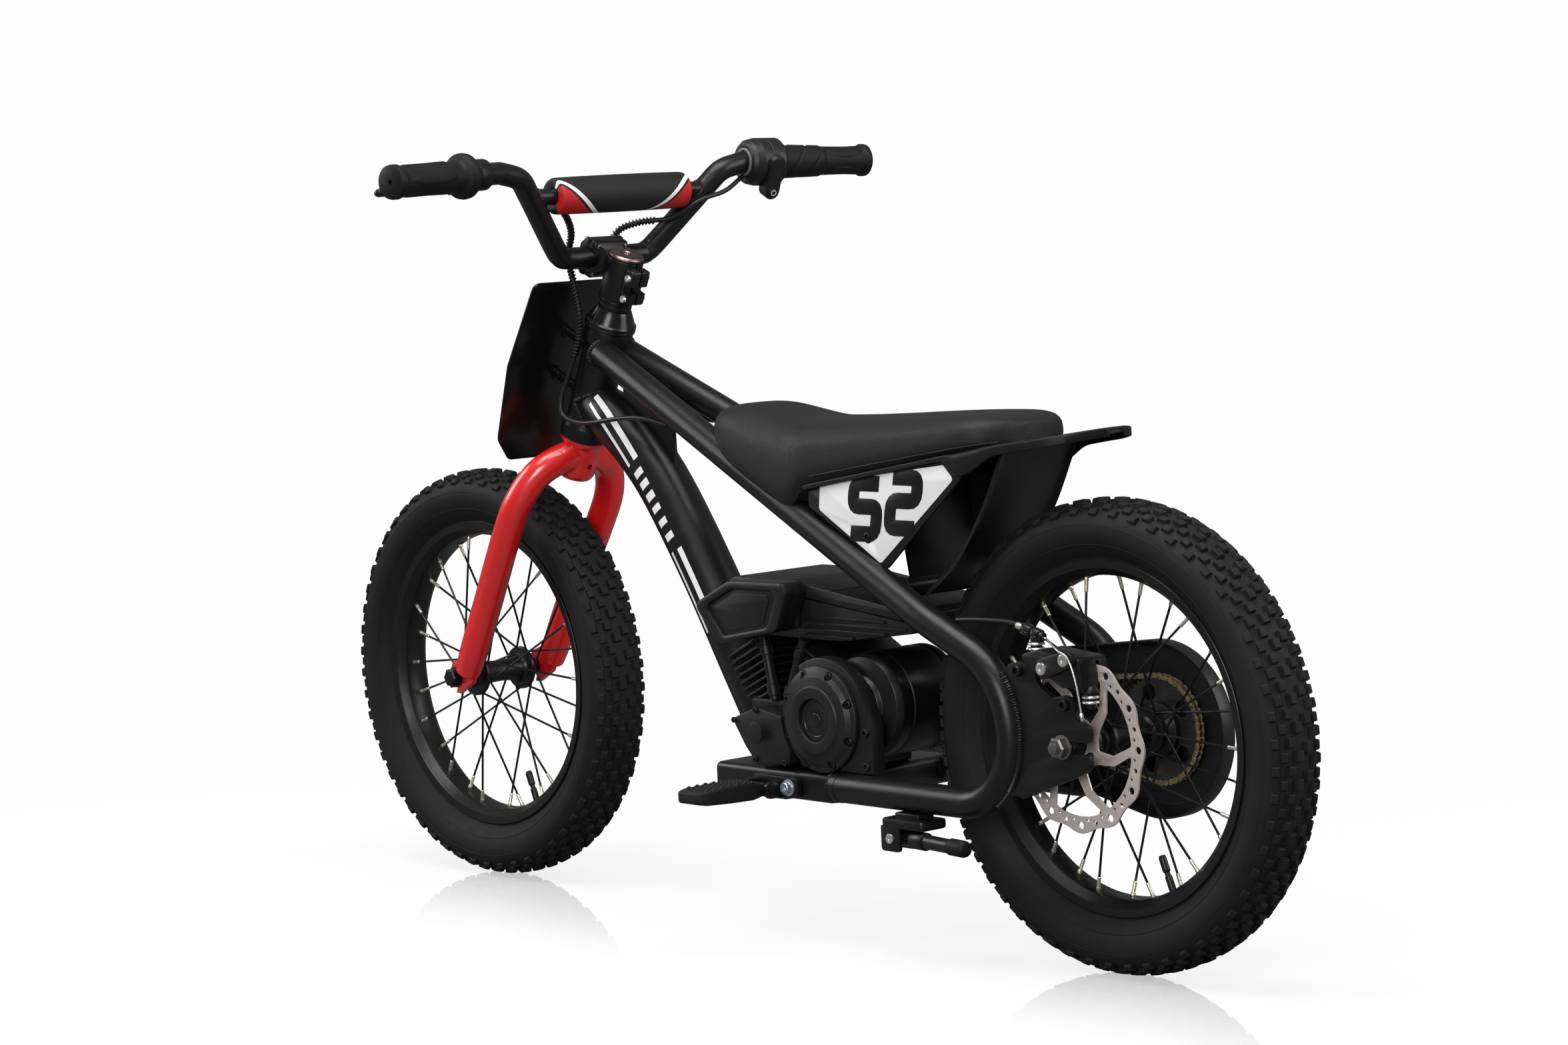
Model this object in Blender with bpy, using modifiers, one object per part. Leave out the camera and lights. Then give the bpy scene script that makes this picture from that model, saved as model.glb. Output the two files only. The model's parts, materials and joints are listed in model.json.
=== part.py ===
"""Child-size electric mini moto with BMX bars, fork and wheels, built as separate pieces.

Metres, +Z up. The origin is on the ground midway between the axles, +X is forwards, +Y is the rider's left.
Pieces of a body are modelled in that body's own frame and parented to an empty on its joint's axis.
"""
import math

import bmesh
import bpy
from mathutils import Matrix, Vector

for old_object in list(bpy.data.objects):
    bpy.data.objects.remove(old_object, do_unlink=True)

# Clearances between pieces
FIT = 0.0003
RUN = 0.0006

# Wheels, 16 inch
WHEELBASE = 0.9014
TYRE_RADIUS = 0.215
TYRE_HALF_WIDTH = 0.0325
KNOB_HEIGHT = 0.005
KNOB_PITCHES = 22
RIM_RADIUS = 0.1606
RIM_HALF_WIDTH = 0.0205
RIM_DEPTH = 0.0151
RIM_INNER_RADIUS = RIM_RADIUS - RIM_DEPTH
RIM_WELL_DEPTH = 0.0066
RIM_WALL = 0.0020
RIM_STEPS = 28
SPOKES = 28
SPOKE_RADIUS = 0.0012
NIPPLE_RADIUS = 0.0021
SPOKE_STAGGER = 0.0016
AXLE_RADIUS = 0.005
HUB_BARREL_RADIUS = 0.0125
HUB_FLANGE_RADIUS = 0.0225
HUB_FLANGE_THICKNESS = 0.005
FRONT_FLANGE_OFFSET = 0.030
REAR_FLANGE_OFFSET = 0.030
NUT_RADIUS = 0.0095
NUT_LENGTH = 0.0100

# Steering: head angle, fork rake and heights along the steering axis from the point nearest the front axle
HEAD_ANGLE = math.radians(66.0)
FORK_OFFSET = 0.045
STEERER_RADIUS = 0.0143
CROWN_RADIUS = 0.0195
CROWN_BOTTOM = 0.252
CROWN_TOP = 0.296
HEAD_TUBE_RADIUS = 0.0220
HEAD_CUP_RADIUS = 0.0250
HEAD_CUP_HEIGHT = 0.014
HEAD_TUBE_LENGTH = 0.122
HEADSET_HEIGHT = 0.0215
STEM_HEIGHT = 0.044
STEM_SPACER_HEIGHT = 0.010
STEM_RADIUS = 0.0185
STEM_CAP_RADIUS = 0.0180
STEM_CAP_HEIGHT = 0.0045
STEM_REACH = 0.0334
STEM_CLAMP_HALF_WIDTH = 0.0215
STEM_CLAMP_HALF_HEIGHT = 0.0195
FACEPLATE_DEPTH = 0.0135

# Fork legs and dropouts
FORK_LEG_RADIUS = 0.0152
FORK_SPACING = 0.100
FORK_LEG_OFFSET = 0.0560
FORK_BULGE = 0.0055
DROPOUT_THICKNESS = 0.006

# Handlebar, crossbar and what is clamped to the bar
BAR_RADIUS = 0.0111
BAR_FLAT = 0.046
BAR_RISE = 0.0985
BAR_HALF_WIDTH = 0.308
BAR_GRIP_RUN = 0.176
BAR_BEND_OUT = BAR_HALF_WIDTH - BAR_GRIP_RUN
BAR_BACKSWEEP = 0.0224
BAR_UPSWEEP = 0.006
CROSSBAR_RADIUS = 0.008
CROSSBAR_RISE = 0.0690
PAD_RADIUS = 0.0185
PAD_INSET = 0.048
PAD_LENGTH = 2 * (BAR_BEND_OUT - PAD_INSET)
GRIP_RADIUS = 0.0150
GRIP_FLANGE_RADIUS = 0.0168
GRIP_DONUT_RADIUS = 0.0225
GRIP_LENGTH = 0.112
PERCH_WIDTH = 0.016
PERCH_RADIUS = 0.0155
LEVER_REACH = 0.052
LEVER_LENGTH = 0.098
THROTTLE_DRUM_RADIUS = 0.0245
THROTTLE_DRUM_WIDTH = 0.040
BUTTON_RADIUS = 0.0050
BUTTON_TRAVEL = 0.0015

# Frame tubes; distances are ahead of the rear axle, and heights are written for an axle at AXLE_Z
AXLE_Z = 0.215
LOOP_RADIUS = 0.0143
LOOP_SLOPE = 0.455
LOOP_HEAD_X = 0.660
LOOP_HEAD_Z = 0.5412
LOOP_HEAD_Y = 0.0172
LOOP_REAR_X = 0.066
LOOP_REAR_Y = 0.0741
LOOP_FLARE_X = 0.170
RAIL_Z = 0.1535
LOOP_LOWER_BEND = 0.063
DOWN_TUBE_RADIUS = 0.0275
BOX_REAR_X = 0.300
BOX_FRONT_X = 0.467
BOX_HALF_WIDTH = 0.080
BOX_TOP_Z = 0.1650
BOX_BOTTOM_Z = 0.1370
BRIDGE_X = TYRE_RADIUS + 0.007
BRIDGE_RADIUS = 0.009
DROPOUT_PLANE_Y = LOOP_REAR_Y
AXLE_END_Y = 0.0911

# Drive: 6.35 mm chain
CHAIN_PITCH = 0.00635
REAR_TEETH = 48
MOTOR_TEETH = 11
CHAIN_Y = -0.0490
SPROCKET_THICKNESS = 0.003
MOTOR_RADIUS = 0.050
MOTOR_TYRE_GAP = 0.019
MOTOR_X = TYRE_RADIUS + MOTOR_TYRE_GAP + MOTOR_RADIUS
MOTOR_Z = 0.228
MOTOR_RIGHT_Y = -0.042
MOTOR_LEFT_Y = 0.058
GUARD_REAR_RADIUS = 0.081
GUARD_FRONT_RADIUS = 0.034
GUARD_WALL = 0.0016
GUARD_OUTER_Y = -0.0592
GUARD_INNER_Y = -0.0430

# Disc brake
ROTOR_Y = 0.057
ROTOR_THICKNESS = 0.002
ROTOR_RADIUS = 0.078
ROTOR_WAVE = 0.0020
ROTOR_LOBES = 12
ROTOR_ARMS = 6
ROTOR_BAND = 0.0135
CALIPER_PIVOT = (0.0136, 0.2846)

FRAME_NAME = "mini_moto_bike"


def collection(name):
    new = bpy.data.collections.new(name)
    bpy.context.scene.collection.children.link(new)
    return new


PARTS = collection(FRAME_NAME)
WORKSHOP = collection("workshop")

# Frames of the bodies: the frame's own is AXLE_Z below the rear axle
AXLE_TURN = Matrix.Rotation(math.radians(-90), 4, "X")
SIDE_TURN = Matrix.Rotation(math.radians(90), 4, "X")
FRAME_AT = Matrix.Translation((-WHEELBASE / 2, 0, TYRE_RADIUS - AXLE_Z))
REAR_HUB_AT = Matrix.Translation((-WHEELBASE / 2, 0, TYRE_RADIUS)) @ AXLE_TURN
FRONT_HUB_AT = Matrix.Translation((WHEELBASE / 2, 0, TYRE_RADIUS)) @ AXLE_TURN
STEER_TURN = Matrix.Rotation(HEAD_ANGLE - math.radians(90), 4, "Y")
STEER_FOOT = Vector((WHEELBASE / 2, 0, TYRE_RADIUS)) - STEER_TURN @ Vector((FORK_OFFSET, 0, 0))
STEER_AT = Matrix.Translation(STEER_FOOT) @ STEER_TURN
STEER_IN_FRAME = FRAME_AT.inverted() @ STEER_AT

HEAD_BOTTOM = CROWN_TOP + FIT
HEAD_TOP = HEAD_BOTTOM + HEAD_TUBE_LENGTH
HEADSET_BOTTOM = HEAD_TOP + FIT
HEADSET_TOP = HEADSET_BOTTOM + HEADSET_HEIGHT
STEM_BOTTOM = HEADSET_TOP + FIT
STEM_TOP = STEM_BOTTOM + STEM_SPACER_HEIGHT + STEM_HEIGHT
BAR_Z = STEM_BOTTOM + STEM_SPACER_HEIGHT + 0.031


def workshop_object(mesh):
    obj = bpy.data.objects.new("work", mesh)
    WORKSHOP.objects.link(obj)
    return obj


def solid_from(obj):
    """Evaluate an object's modifiers or curve into a welded mesh that faces out, and remove the object."""
    bpy.context.view_layer.update()
    graph = bpy.context.evaluated_depsgraph_get()
    mesh = bpy.data.meshes.new_from_object(obj.evaluated_get(graph))
    mesh.transform(obj.matrix_world)
    shape = bmesh.new()
    shape.from_mesh(mesh)
    bmesh.ops.remove_doubles(shape, verts=shape.verts, dist=2e-6)
    bmesh.ops.dissolve_degenerate(shape, edges=shape.edges, dist=2e-6)
    bmesh.ops.recalc_face_normals(shape, faces=shape.faces)
    shape.to_mesh(mesh)
    shape.free()
    bpy.data.objects.remove(obj)
    return mesh


def mesh_from(shape):
    bmesh.ops.recalc_face_normals(shape, faces=shape.faces)
    mesh = bpy.data.meshes.new("solid")
    shape.to_mesh(mesh)
    shape.free()
    return mesh


def turned(profile, steps, place=Matrix(), closed=False):
    """Turn a profile of (radius, height), written top to bottom on its outer side, round local Z."""
    edges = [(i, i + 1) for i in range(len(profile) - 1)]
    if closed:
        edges.append((len(profile) - 1, 0))
    mesh = bpy.data.meshes.new("profile")
    mesh.from_pydata([(radius, 0, height) for radius, height in profile], edges, [])
    obj = workshop_object(mesh)
    obj.matrix_world = place
    screw = obj.modifiers.new("turn", "SCREW")
    screw.steps = steps
    screw.render_steps = steps
    screw.use_merge_vertices = True
    screw.merge_threshold = 0.00001
    return solid_from(obj)


def ring(outer, inner, low, high, steps, place=Matrix()):
    return turned([(outer, high), (outer, low), (inner, low), (inner, high)], steps, place, closed=True)


def tube(points, radius, resolution=2, scale=None):
    """Round bar or tube along a list of points, its radius scaled point by point if wanted."""
    curve = bpy.data.curves.new("tube", "CURVE")
    curve.dimensions = "3D"
    curve.bevel_depth = radius
    curve.bevel_resolution = resolution
    curve.use_fill_caps = True
    spline = curve.splines.new("POLY")
    spline.points.add(len(points) - 1)
    for index, (point, co) in enumerate(zip(spline.points, points)):
        point.co = (*co, 1)
        point.radius = scale[index] if scale else 1
    return solid_from(workshop_object(curve))


def plate(outline, thickness, place=Matrix(), holes=()):
    """Flat plate of a closed outline with holes, centred on the local XY plane."""
    curve = bpy.data.curves.new("plate", "CURVE")
    curve.dimensions = "2D"
    curve.fill_mode = "BOTH"
    curve.extrude = thickness / 2
    for loop in (outline, *holes):
        spline = curve.splines.new("POLY")
        spline.points.add(len(loop) - 1)
        spline.use_cyclic_u = True
        for point, (x, y) in zip(spline.points, loop):
            point.co = (x, y, 0, 1)
    obj = workshop_object(curve)
    obj.matrix_world = place
    return solid_from(obj)


def side_plate(outline, thickness, middle_y, holes=()):
    """Plate whose outline is written as (x, z) and whose middle is at a lateral distance."""
    return plate(outline, thickness, Matrix.Translation((0, middle_y, 0)) @ SIDE_TURN, holes)


def loft(sections, closed=False):
    """Skin over loops with equal counts of points, capped at the ends or joined end to start."""
    shape = bmesh.new()
    rings = [[shape.verts.new(point) for point in section] for section in sections]
    count = len(rings[0])
    pairs = list(zip(rings, rings[1:]))
    if closed:
        pairs.append((rings[-1], rings[0]))
    for first, second in pairs:
        for i in range(count):
            j = (i + 1) % count
            shape.faces.new((first[i], first[j], second[j], second[i]))
    if not closed:
        shape.faces.new(list(reversed(rings[0])))
        shape.faces.new(rings[-1])
    return mesh_from(shape)


def box(low, high, bevel=0.0, segments=1):
    """Block between two corners with its edges rounded."""
    shape = bmesh.new()
    bmesh.ops.create_cube(shape, size=1)
    low, high = Vector(low), Vector(high)
    size = high - low
    bmesh.ops.scale(shape, vec=size, verts=shape.verts)
    bmesh.ops.translate(shape, vec=(low + high) / 2, verts=shape.verts)
    if bevel:
        bmesh.ops.bevel(shape, geom=shape.edges[:], offset=bevel, segments=segments, affect="EDGES",
                        profile=0.5)
    return mesh_from(shape)


def rod(start, end, radius, sides=12, end_radius=None):
    """Cylinder or cone from one point to another."""
    start, end = Vector(start), Vector(end)
    shape = bmesh.new()
    tip = radius if end_radius is None else end_radius
    length = (end - start).length
    bmesh.ops.create_cone(shape, cap_ends=True, segments=sides, radius1=radius, radius2=tip, depth=length)
    turn = (end - start).to_track_quat("Z", "Y").to_matrix().to_4x4()
    bmesh.ops.transform(shape, matrix=Matrix.Translation((start + end) / 2) @ turn, verts=shape.verts)
    return mesh_from(shape)


def placed(mesh, place):
    mesh.transform(place)
    return mesh


def combine(operation, base, tools):
    obj = workshop_object(base)
    helpers = []
    for tool in tools:
        helper = workshop_object(tool)
        helper.hide_render = True
        helper.display_type = "WIRE"
        cut = obj.modifiers.new("combine", "BOOLEAN")
        cut.operation = operation
        cut.solver = "EXACT"
        cut.object = helper
        helpers.append(helper)
    mesh = solid_from(obj)
    for helper in helpers:
        bpy.data.objects.remove(helper)
    return mesh


def union(base, *tools):
    return combine("UNION", base, tools)


def minus(base, *tools):
    return combine("DIFFERENCE", base, tools)


def together(meshes):
    """Put meshes that don't touch into one, to be used as a single tool."""
    shape = bmesh.new()
    for mesh in meshes:
        shape.from_mesh(mesh)
    return mesh_from(shape)


def circle(radius, sides, centre=(0, 0), start=0.0):
    return [(centre[0] + radius * math.cos(start + 2 * math.pi * i / sides),
             centre[1] + radius * math.sin(start + 2 * math.pi * i / sides)) for i in range(sides)]


def arc(centre, radius, start, end, steps):
    """Points on an arc in the plane, angles in degrees."""
    return [(centre[0] + radius * math.cos(math.radians(start + (end - start) * i / steps)),
             centre[1] + radius * math.sin(math.radians(start + (end - start) * i / steps)))
            for i in range(steps + 1)]


def rounded(corners, radii, steps=3):
    """Closed outline with each corner rounded by its radius."""
    points = []
    count = len(corners)
    for i, corner in enumerate(corners):
        here = Vector(corner)
        before = (Vector(corners[i - 1]) - here).normalized()
        after = (Vector(corners[(i + 1) % count]) - here).normalized()
        radius = radii[i] if isinstance(radii, (list, tuple)) else radii
        if radius <= 0:
            points.append(tuple(here))
            continue
        half = before.angle(after) / 2
        run = radius / math.tan(half)
        middle = here + (before + after).normalized() * (radius / math.sin(half))
        first, last = here + before * run - middle, here + after * run - middle
        turn = first.angle_signed(last)
        for step in range(steps + 1):
            angle = -turn * step / steps
            spin = Matrix.Rotation(angle, 2)
            points.append(tuple(middle + spin @ first))
    return points


def smooth_path(points, per_span):
    """Points on a Catmull-Rom curve through hand-placed points."""
    points = [Vector(p) for p in points]
    ends = [2 * points[0] - points[1]] + points + [2 * points[-1] - points[-2]]
    path = []
    for i in range(1, len(ends) - 2):
        a, b, c, d = ends[i - 1], ends[i], ends[i + 1], ends[i + 2]
        for step in range(per_span):
            t = step / per_span
            path.append(0.5 * (2 * b + (c - a) * t + (2 * a - 5 * b + 4 * c - d) * t * t
                               + (3 * b - a - 3 * c + d) * t ** 3))
    path.append(points[-1])
    return path


BODIES = {}
FINISHES = {}


def body(name, place):
    """Empty on a body's joint axis that carries its pieces."""
    empty = bpy.data.objects.new("body_" + name, None)
    empty.empty_display_size = 0.05
    PARTS.objects.link(empty)
    empty.matrix_world = place
    BODIES[name] = empty
    return place


def finish(name, colour, roughness, metallic=0.0):
    material = bpy.data.materials.new(name)
    material.use_nodes = True
    shader = material.node_tree.nodes["Principled BSDF"]
    shader.inputs["Base Color"].default_value = (*colour, 1)
    shader.inputs["Roughness"].default_value = roughness
    shader.inputs["Metallic"].default_value = metallic
    FINISHES[name] = material


def piece(name, mesh, carrier, material):
    """Named piece on its body, shaded smooth between sharp edges."""
    obj = bpy.data.objects.new(name, mesh)
    PARTS.objects.link(obj)
    obj.parent = BODIES[carrier]
    mesh.materials.clear()
    mesh.materials.append(FINISHES[material])
    mesh.shade_smooth()
    mesh.set_sharp_from_angle(angle=math.radians(35))
    return obj


finish("satin_black_paint", (0.018, 0.018, 0.019), 0.42, 0.2)
finish("red_paint", (0.42, 0.006, 0.008), 0.18)
finish("black_plastic", (0.022, 0.022, 0.023), 0.5)
finish("gloss_black_plastic", (0.020, 0.020, 0.021), 0.25)
finish("rubber", (0.016, 0.016, 0.016), 0.75)
finish("seat_cover", (0.045, 0.045, 0.046), 0.7)
finish("bright_steel", (0.62, 0.60, 0.58), 0.3, 1.0)
finish("zinc_steel", (0.50, 0.50, 0.50), 0.4, 1.0)
finish("gold_chain", (0.52, 0.38, 0.20), 0.35, 1.0)
finish("bronze_anodised", (0.20, 0.16, 0.16), 0.25, 1.0)
finish("white_panel", (0.80, 0.80, 0.80), 0.35)

body("frame", FRAME_AT)
body("steering", STEER_AT)
body("front_wheel", FRONT_HUB_AT)
body("rear_wheel", REAR_HUB_AT)


# Wheels: tyre, rim, hub with laced spokes. Local Z runs along the axle to the left
def tyre():
    """Knobbed tyre: shoulder and centre blocks stand up on alternate stations round the wheel."""
    base = TYRE_RADIUS - KNOB_HEIGHT
    bead = RIM_RADIUS - RIM_WELL_DEPTH + 2 * FIT
    seat = RIM_HALF_WIDTH - RIM_WALL - 2 * FIT
    mid = (RIM_RADIUS + base) / 2

    def half(shoulder, centre):
        return [
            (bead, seat - 0.0012),
            (RIM_RADIUS + 0.0016, seat - 0.0002),
            (mid, TYRE_HALF_WIDTH),
            (base - 0.0095 + 0.5 * shoulder, 0.86 * TYRE_HALF_WIDTH + 0.7 * shoulder),
            (base - 0.0020 + shoulder, 0.60 * TYRE_HALF_WIDTH + 0.3 * shoulder),
            (base + centre, 0.24 * TYRE_HALF_WIDTH),
        ]

    sections = []
    for step in range(2 * KNOB_PITCHES):
        raised = step % 2 == 0
        side = half(0.0 if raised else 0.8 * KNOB_HEIGHT, KNOB_HEIGHT if raised else 0.0)
        profile = side + [(radius, -z) for radius, z in reversed(side)]
        angle = math.pi / 2 + math.pi * step / KNOB_PITCHES
        sections.append([(r * math.cos(angle), r * math.sin(angle), z) for r, z in profile])
    return loft(sections, closed=True)


def rim():
    """Double-wall look rim with its well, and the valve standing inside it."""
    well = RIM_RADIUS - RIM_WELL_DEPTH
    wall = RIM_HALF_WIDTH - RIM_WALL
    half = [
        (well, wall),
        (RIM_RADIUS, wall),
        (RIM_RADIUS, RIM_HALF_WIDTH),
        (well - 0.0015, RIM_HALF_WIDTH - 0.0010),
        (RIM_INNER_RADIUS, 0.55 * RIM_HALF_WIDTH),
    ]
    profile = half + [(r, -z) for r, z in reversed(half)]
    hoop = turned(profile, RIM_STEPS, closed=True)
    angle = math.radians(112)
    out = Vector((math.cos(angle), math.sin(angle), 0))
    valve = rod(out * (RIM_INNER_RADIUS + 0.003), out * (RIM_INNER_RADIUS - 0.034), 0.0036, 6)
    return union(hoop, valve)


def spokes(flange_offset):
    """Two-cross lacing: leading and trailing spokes keep apart along their whole length."""
    per_side = SPOKES // 2
    step = 2 * math.pi / per_side
    lean = 2 * step
    rim_end = RIM_INNER_RADIUS - 3 * FIT
    bars = []
    for side in (1, -1):
        for k in range(per_side):
            trailing = k % 2
            rim_angle = k * step + (0 if side > 0 else step / 2)
            hub_angle = rim_angle + (lean if trailing else -lean)
            stagger = SPOKE_STAGGER if trailing else -SPOKE_STAGGER
            root = Vector((math.cos(hub_angle), math.sin(hub_angle), 0)) * (HUB_FLANGE_RADIUS - 0.003)
            root.z = side * (flange_offset + stagger)
            tip = Vector((math.cos(rim_angle), math.sin(rim_angle), 0)) * rim_end
            tip.z = side * (3.1 * SPOKE_RADIUS + stagger)
            bars.append(tube([root, tip], SPOKE_RADIUS, 0, [1, NIPPLE_RADIUS / SPOKE_RADIUS]))
    return together(bars)


def hub(half_profile_left, half_profile_right, flange_offset):
    """Bored hub shell from its left and right outer profiles, with the spokes laced to its flanges."""
    bore = AXLE_RADIUS + RUN
    profile = half_profile_left + [(r, -z) for r, z in reversed(half_profile_right)]
    left_end, right_end = profile[0][1], profile[-1][1]
    shell = turned(profile + [(bore, right_end), (bore, left_end)], 12, closed=True)
    return union(shell, spokes(flange_offset))


def flange_profile(end, end_radius, offset):
    """Outer half profile from the hub's end to its middle: end boss, spoke flange and barrel."""
    half = HUB_FLANGE_THICKNESS / 2
    return [
        (end_radius, end),
        (HUB_BARREL_RADIUS, offset + half + 0.003),
        (HUB_FLANGE_RADIUS, offset + half),
        (HUB_FLANGE_RADIUS, offset - half),
        (HUB_BARREL_RADIUS, offset - half - 0.003),
        (0.9 * HUB_BARREL_RADIUS, 0.004),
    ]


def axle(seat_y, plate_thickness, end_y):
    """Fixed axle with its cone nuts inside the dropouts and hexagon nuts outside them."""
    inner = seat_y - FIT
    outer = seat_y + plate_thickness + FIT
    cone, washer = NUT_RADIUS - 0.001, NUT_RADIUS + 0.0015
    half = [(AXLE_RADIUS, end_y), (AXLE_RADIUS, outer + NUT_LENGTH), (NUT_RADIUS, outer + NUT_LENGTH),
            (washer, outer), (AXLE_RADIUS, outer), (AXLE_RADIUS, inner), (cone, inner), (cone,
                                                                inner - 0.0022),
            (AXLE_RADIUS, inner - 0.0022)]
    profile = [(0, end_y)] + half + [(radius, -z) for radius, z in reversed(half)] + [(0, -end_y)]
    return turned(profile, 10)


piece("front_tyre", tyre(), "front_wheel", "rubber")
piece("front_rim", rim(), "front_wheel", "satin_black_paint")
front_seat = FORK_SPACING / 2
front_half = flange_profile(front_seat - 0.0030, 0.0095, FRONT_FLANGE_OFFSET)
piece("front_hub", hub(front_half, front_half, FRONT_FLANGE_OFFSET), "front_wheel", "satin_black_paint")
front_axle = placed(axle(front_seat, DROPOUT_THICKNESS, front_seat + DROPOUT_THICKNESS + 0.0105),
                    STEER_AT.inverted() @ FRONT_HUB_AT)
piece("front_axle", front_axle, "steering", "zinc_steel")

piece("rear_tyre", tyre(), "rear_wheel", "rubber")
piece("rear_rim", rim(), "rear_wheel", "satin_black_paint")
rear_seat = DROPOUT_PLANE_Y - DROPOUT_THICKNESS / 2
rotor_face = ROTOR_Y - ROTOR_THICKNESS / 2 - FIT
sprocket_face = -CHAIN_Y - SPROCKET_THICKNESS / 2 - FIT
rear_left = [(0.0095, rear_seat - 0.0030), (0.0100, rotor_face), (0.0240, rotor_face),
             (0.0240, rotor_face - 0.0050)] + flange_profile(0, 0, REAR_FLANGE_OFFSET)[1:]
rear_right = [(0.0095, rear_seat - 0.0030), (0.0100, sprocket_face), (0.0260, sprocket_face),
              (0.0260, sprocket_face - 0.0050)] + flange_profile(0, 0, REAR_FLANGE_OFFSET)[1:]
piece("rear_hub", hub(rear_left, rear_right, REAR_FLANGE_OFFSET), "rear_wheel", "satin_black_paint")
rear_axle = placed(axle(rear_seat, DROPOUT_THICKNESS, AXLE_END_Y), FRAME_AT.inverted() @ REAR_HUB_AT)
piece("rear_axle", rear_axle, "frame", "zinc_steel")


# Brake rotor: wavy band with lightening holes on curved arms
def rotor():
    points = ROTOR_LOBES * 4
    outline = []
    for i in range(points):
        angle = 2 * math.pi * i / points
        radius = ROTOR_RADIUS + ROTOR_WAVE * math.cos(ROTOR_LOBES * angle)
        outline.append((radius * math.cos(angle), radius * math.sin(angle)))
    holes = [circle(0.0108, 12)]
    band = ROTOR_RADIUS - ROTOR_BAND
    core = 0.0245
    gap = 2 * math.pi / ROTOR_ARMS
    for k in range(ROTOR_ARMS):
        window = []
        for share, radius in ((0.10, band), (0.35, band), (0.62, band), (0.86, band)):
            angle = k * gap + share * gap
            window.append((radius * math.cos(angle), radius * math.sin(angle)))
        for share, radius in ((0.66, 0.72 * band), (0.52, 1.25 * core), (0.24, core), (-0.06, core),
                              (-0.02, 0.66 * band)):
            angle = k * gap + share * gap - 0.10 * gap
            window.append((radius * math.cos(angle), radius * math.sin(angle)))
        holes.append(window)
    for k in range(ROTOR_LOBES):
        angle = 2 * math.pi * k / ROTOR_LOBES
        middle = ((ROTOR_RADIUS - 0.0055) * math.cos(angle), (ROTOR_RADIUS - 0.0055) * math.sin(angle))
        holes.append(circle(0.0038, 4, middle))
    return plate(outline, ROTOR_THICKNESS, Matrix.Translation((0, 0, ROTOR_Y)), holes)


piece("brake_rotor", rotor(), "rear_wheel", "bright_steel")


# Chain drive
def pitch_radius(teeth):
    return CHAIN_PITCH / (2 * math.sin(math.pi / teeth))


TOOTH_TIP = 0.0007
TOOTH_ROOT = 0.0024
LINK_HALF_HEIGHT = 0.0027
LINK_HALF_WIDTH = 0.0038
LINK_SLOT = SPROCKET_THICKNESS / 2 + RUN
LINK_ROOF = TOOTH_TIP + 0.0009


def toothed(teeth, holes):
    tip, root = pitch_radius(teeth) + TOOTH_TIP, pitch_radius(teeth) - TOOTH_ROOT
    outline = []
    for k in range(teeth):
        for share, radius in ((0.0, tip), (0.5, root)):
            angle = 2 * math.pi * (k + share) / teeth
            outline.append((radius * math.cos(angle), radius * math.sin(angle)))
    return plate(outline, SPROCKET_THICKNESS, Matrix.Translation((0, 0, CHAIN_Y)), holes)


sprocket_holes = [circle(0.0108, 12)]
for window in range(5):
    mid_angle = 2 * math.pi * window / 5
    sprocket_holes.append(circle(0.0075, 5, (0.0345 * math.cos(mid_angle), 0.0345 * math.sin(mid_angle))))
piece("rear_sprocket", toothed(REAR_TEETH, sprocket_holes), "rear_wheel", "bright_steel")

MOTOR_SHAFT_RADIUS = 0.0050
motor_place = FRAME_AT @ Matrix.Translation((MOTOR_X, 0, MOTOR_Z)) @ AXLE_TURN
body("motor_drive", motor_place)
motor_sprocket = toothed(MOTOR_TEETH, [circle(MOTOR_SHAFT_RADIUS + FIT, 12)])
piece("motor_sprocket", motor_sprocket, "motor_drive", "bright_steel")


def chain():
    """Closed loop round both sprockets; its two rows of side plates straddle the teeth."""
    rear_r, motor_r = pitch_radius(REAR_TEETH), pitch_radius(MOTOR_TEETH)
    rear_c, motor_c = Vector((0, AXLE_Z)), Vector((MOTOR_X, MOTOR_Z))
    span = motor_c - rear_c
    tilt = math.atan2(span.y, span.x)
    lean = math.asin((rear_r - motor_r) / span.length)
    top, low = tilt + math.pi / 2 - lean, tilt - math.pi / 2 + lean
    rear_wrap = 2 * math.pi - (top - low)
    motor_wrap = top - low
    turns = []
    for centre, radius, start, wrap, steps in ((motor_c, motor_r, top, motor_wrap, MOTOR_TEETH // 2),
                                               (rear_c, rear_r, low, rear_wrap, REAR_TEETH // 2)):
        for i in range(steps + 1):
            turns.append((centre, radius, start - wrap * i / steps))
    sections = []
    for centre, radius, angle in turns:
        out = Vector((math.cos(angle), math.sin(angle)))
        base = centre + out * radius
        profile = [(-LINK_HALF_HEIGHT, LINK_HALF_WIDTH), (LINK_HALF_HEIGHT, LINK_HALF_WIDTH),
                   (LINK_HALF_HEIGHT, -LINK_HALF_WIDTH), (-LINK_HALF_HEIGHT, -LINK_HALF_WIDTH),
                   (-LINK_HALF_HEIGHT, -LINK_SLOT), (LINK_ROOF, -LINK_SLOT), (LINK_ROOF, LINK_SLOT),
                   (-LINK_HALF_HEIGHT, LINK_SLOT)]
        sections.append([((base + out * n).x, CHAIN_Y + w, (base + out * n).y) for n, w in profile])
    return loft(sections, closed=True)


piece("chain", chain(), "frame", "gold_chain")


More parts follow.
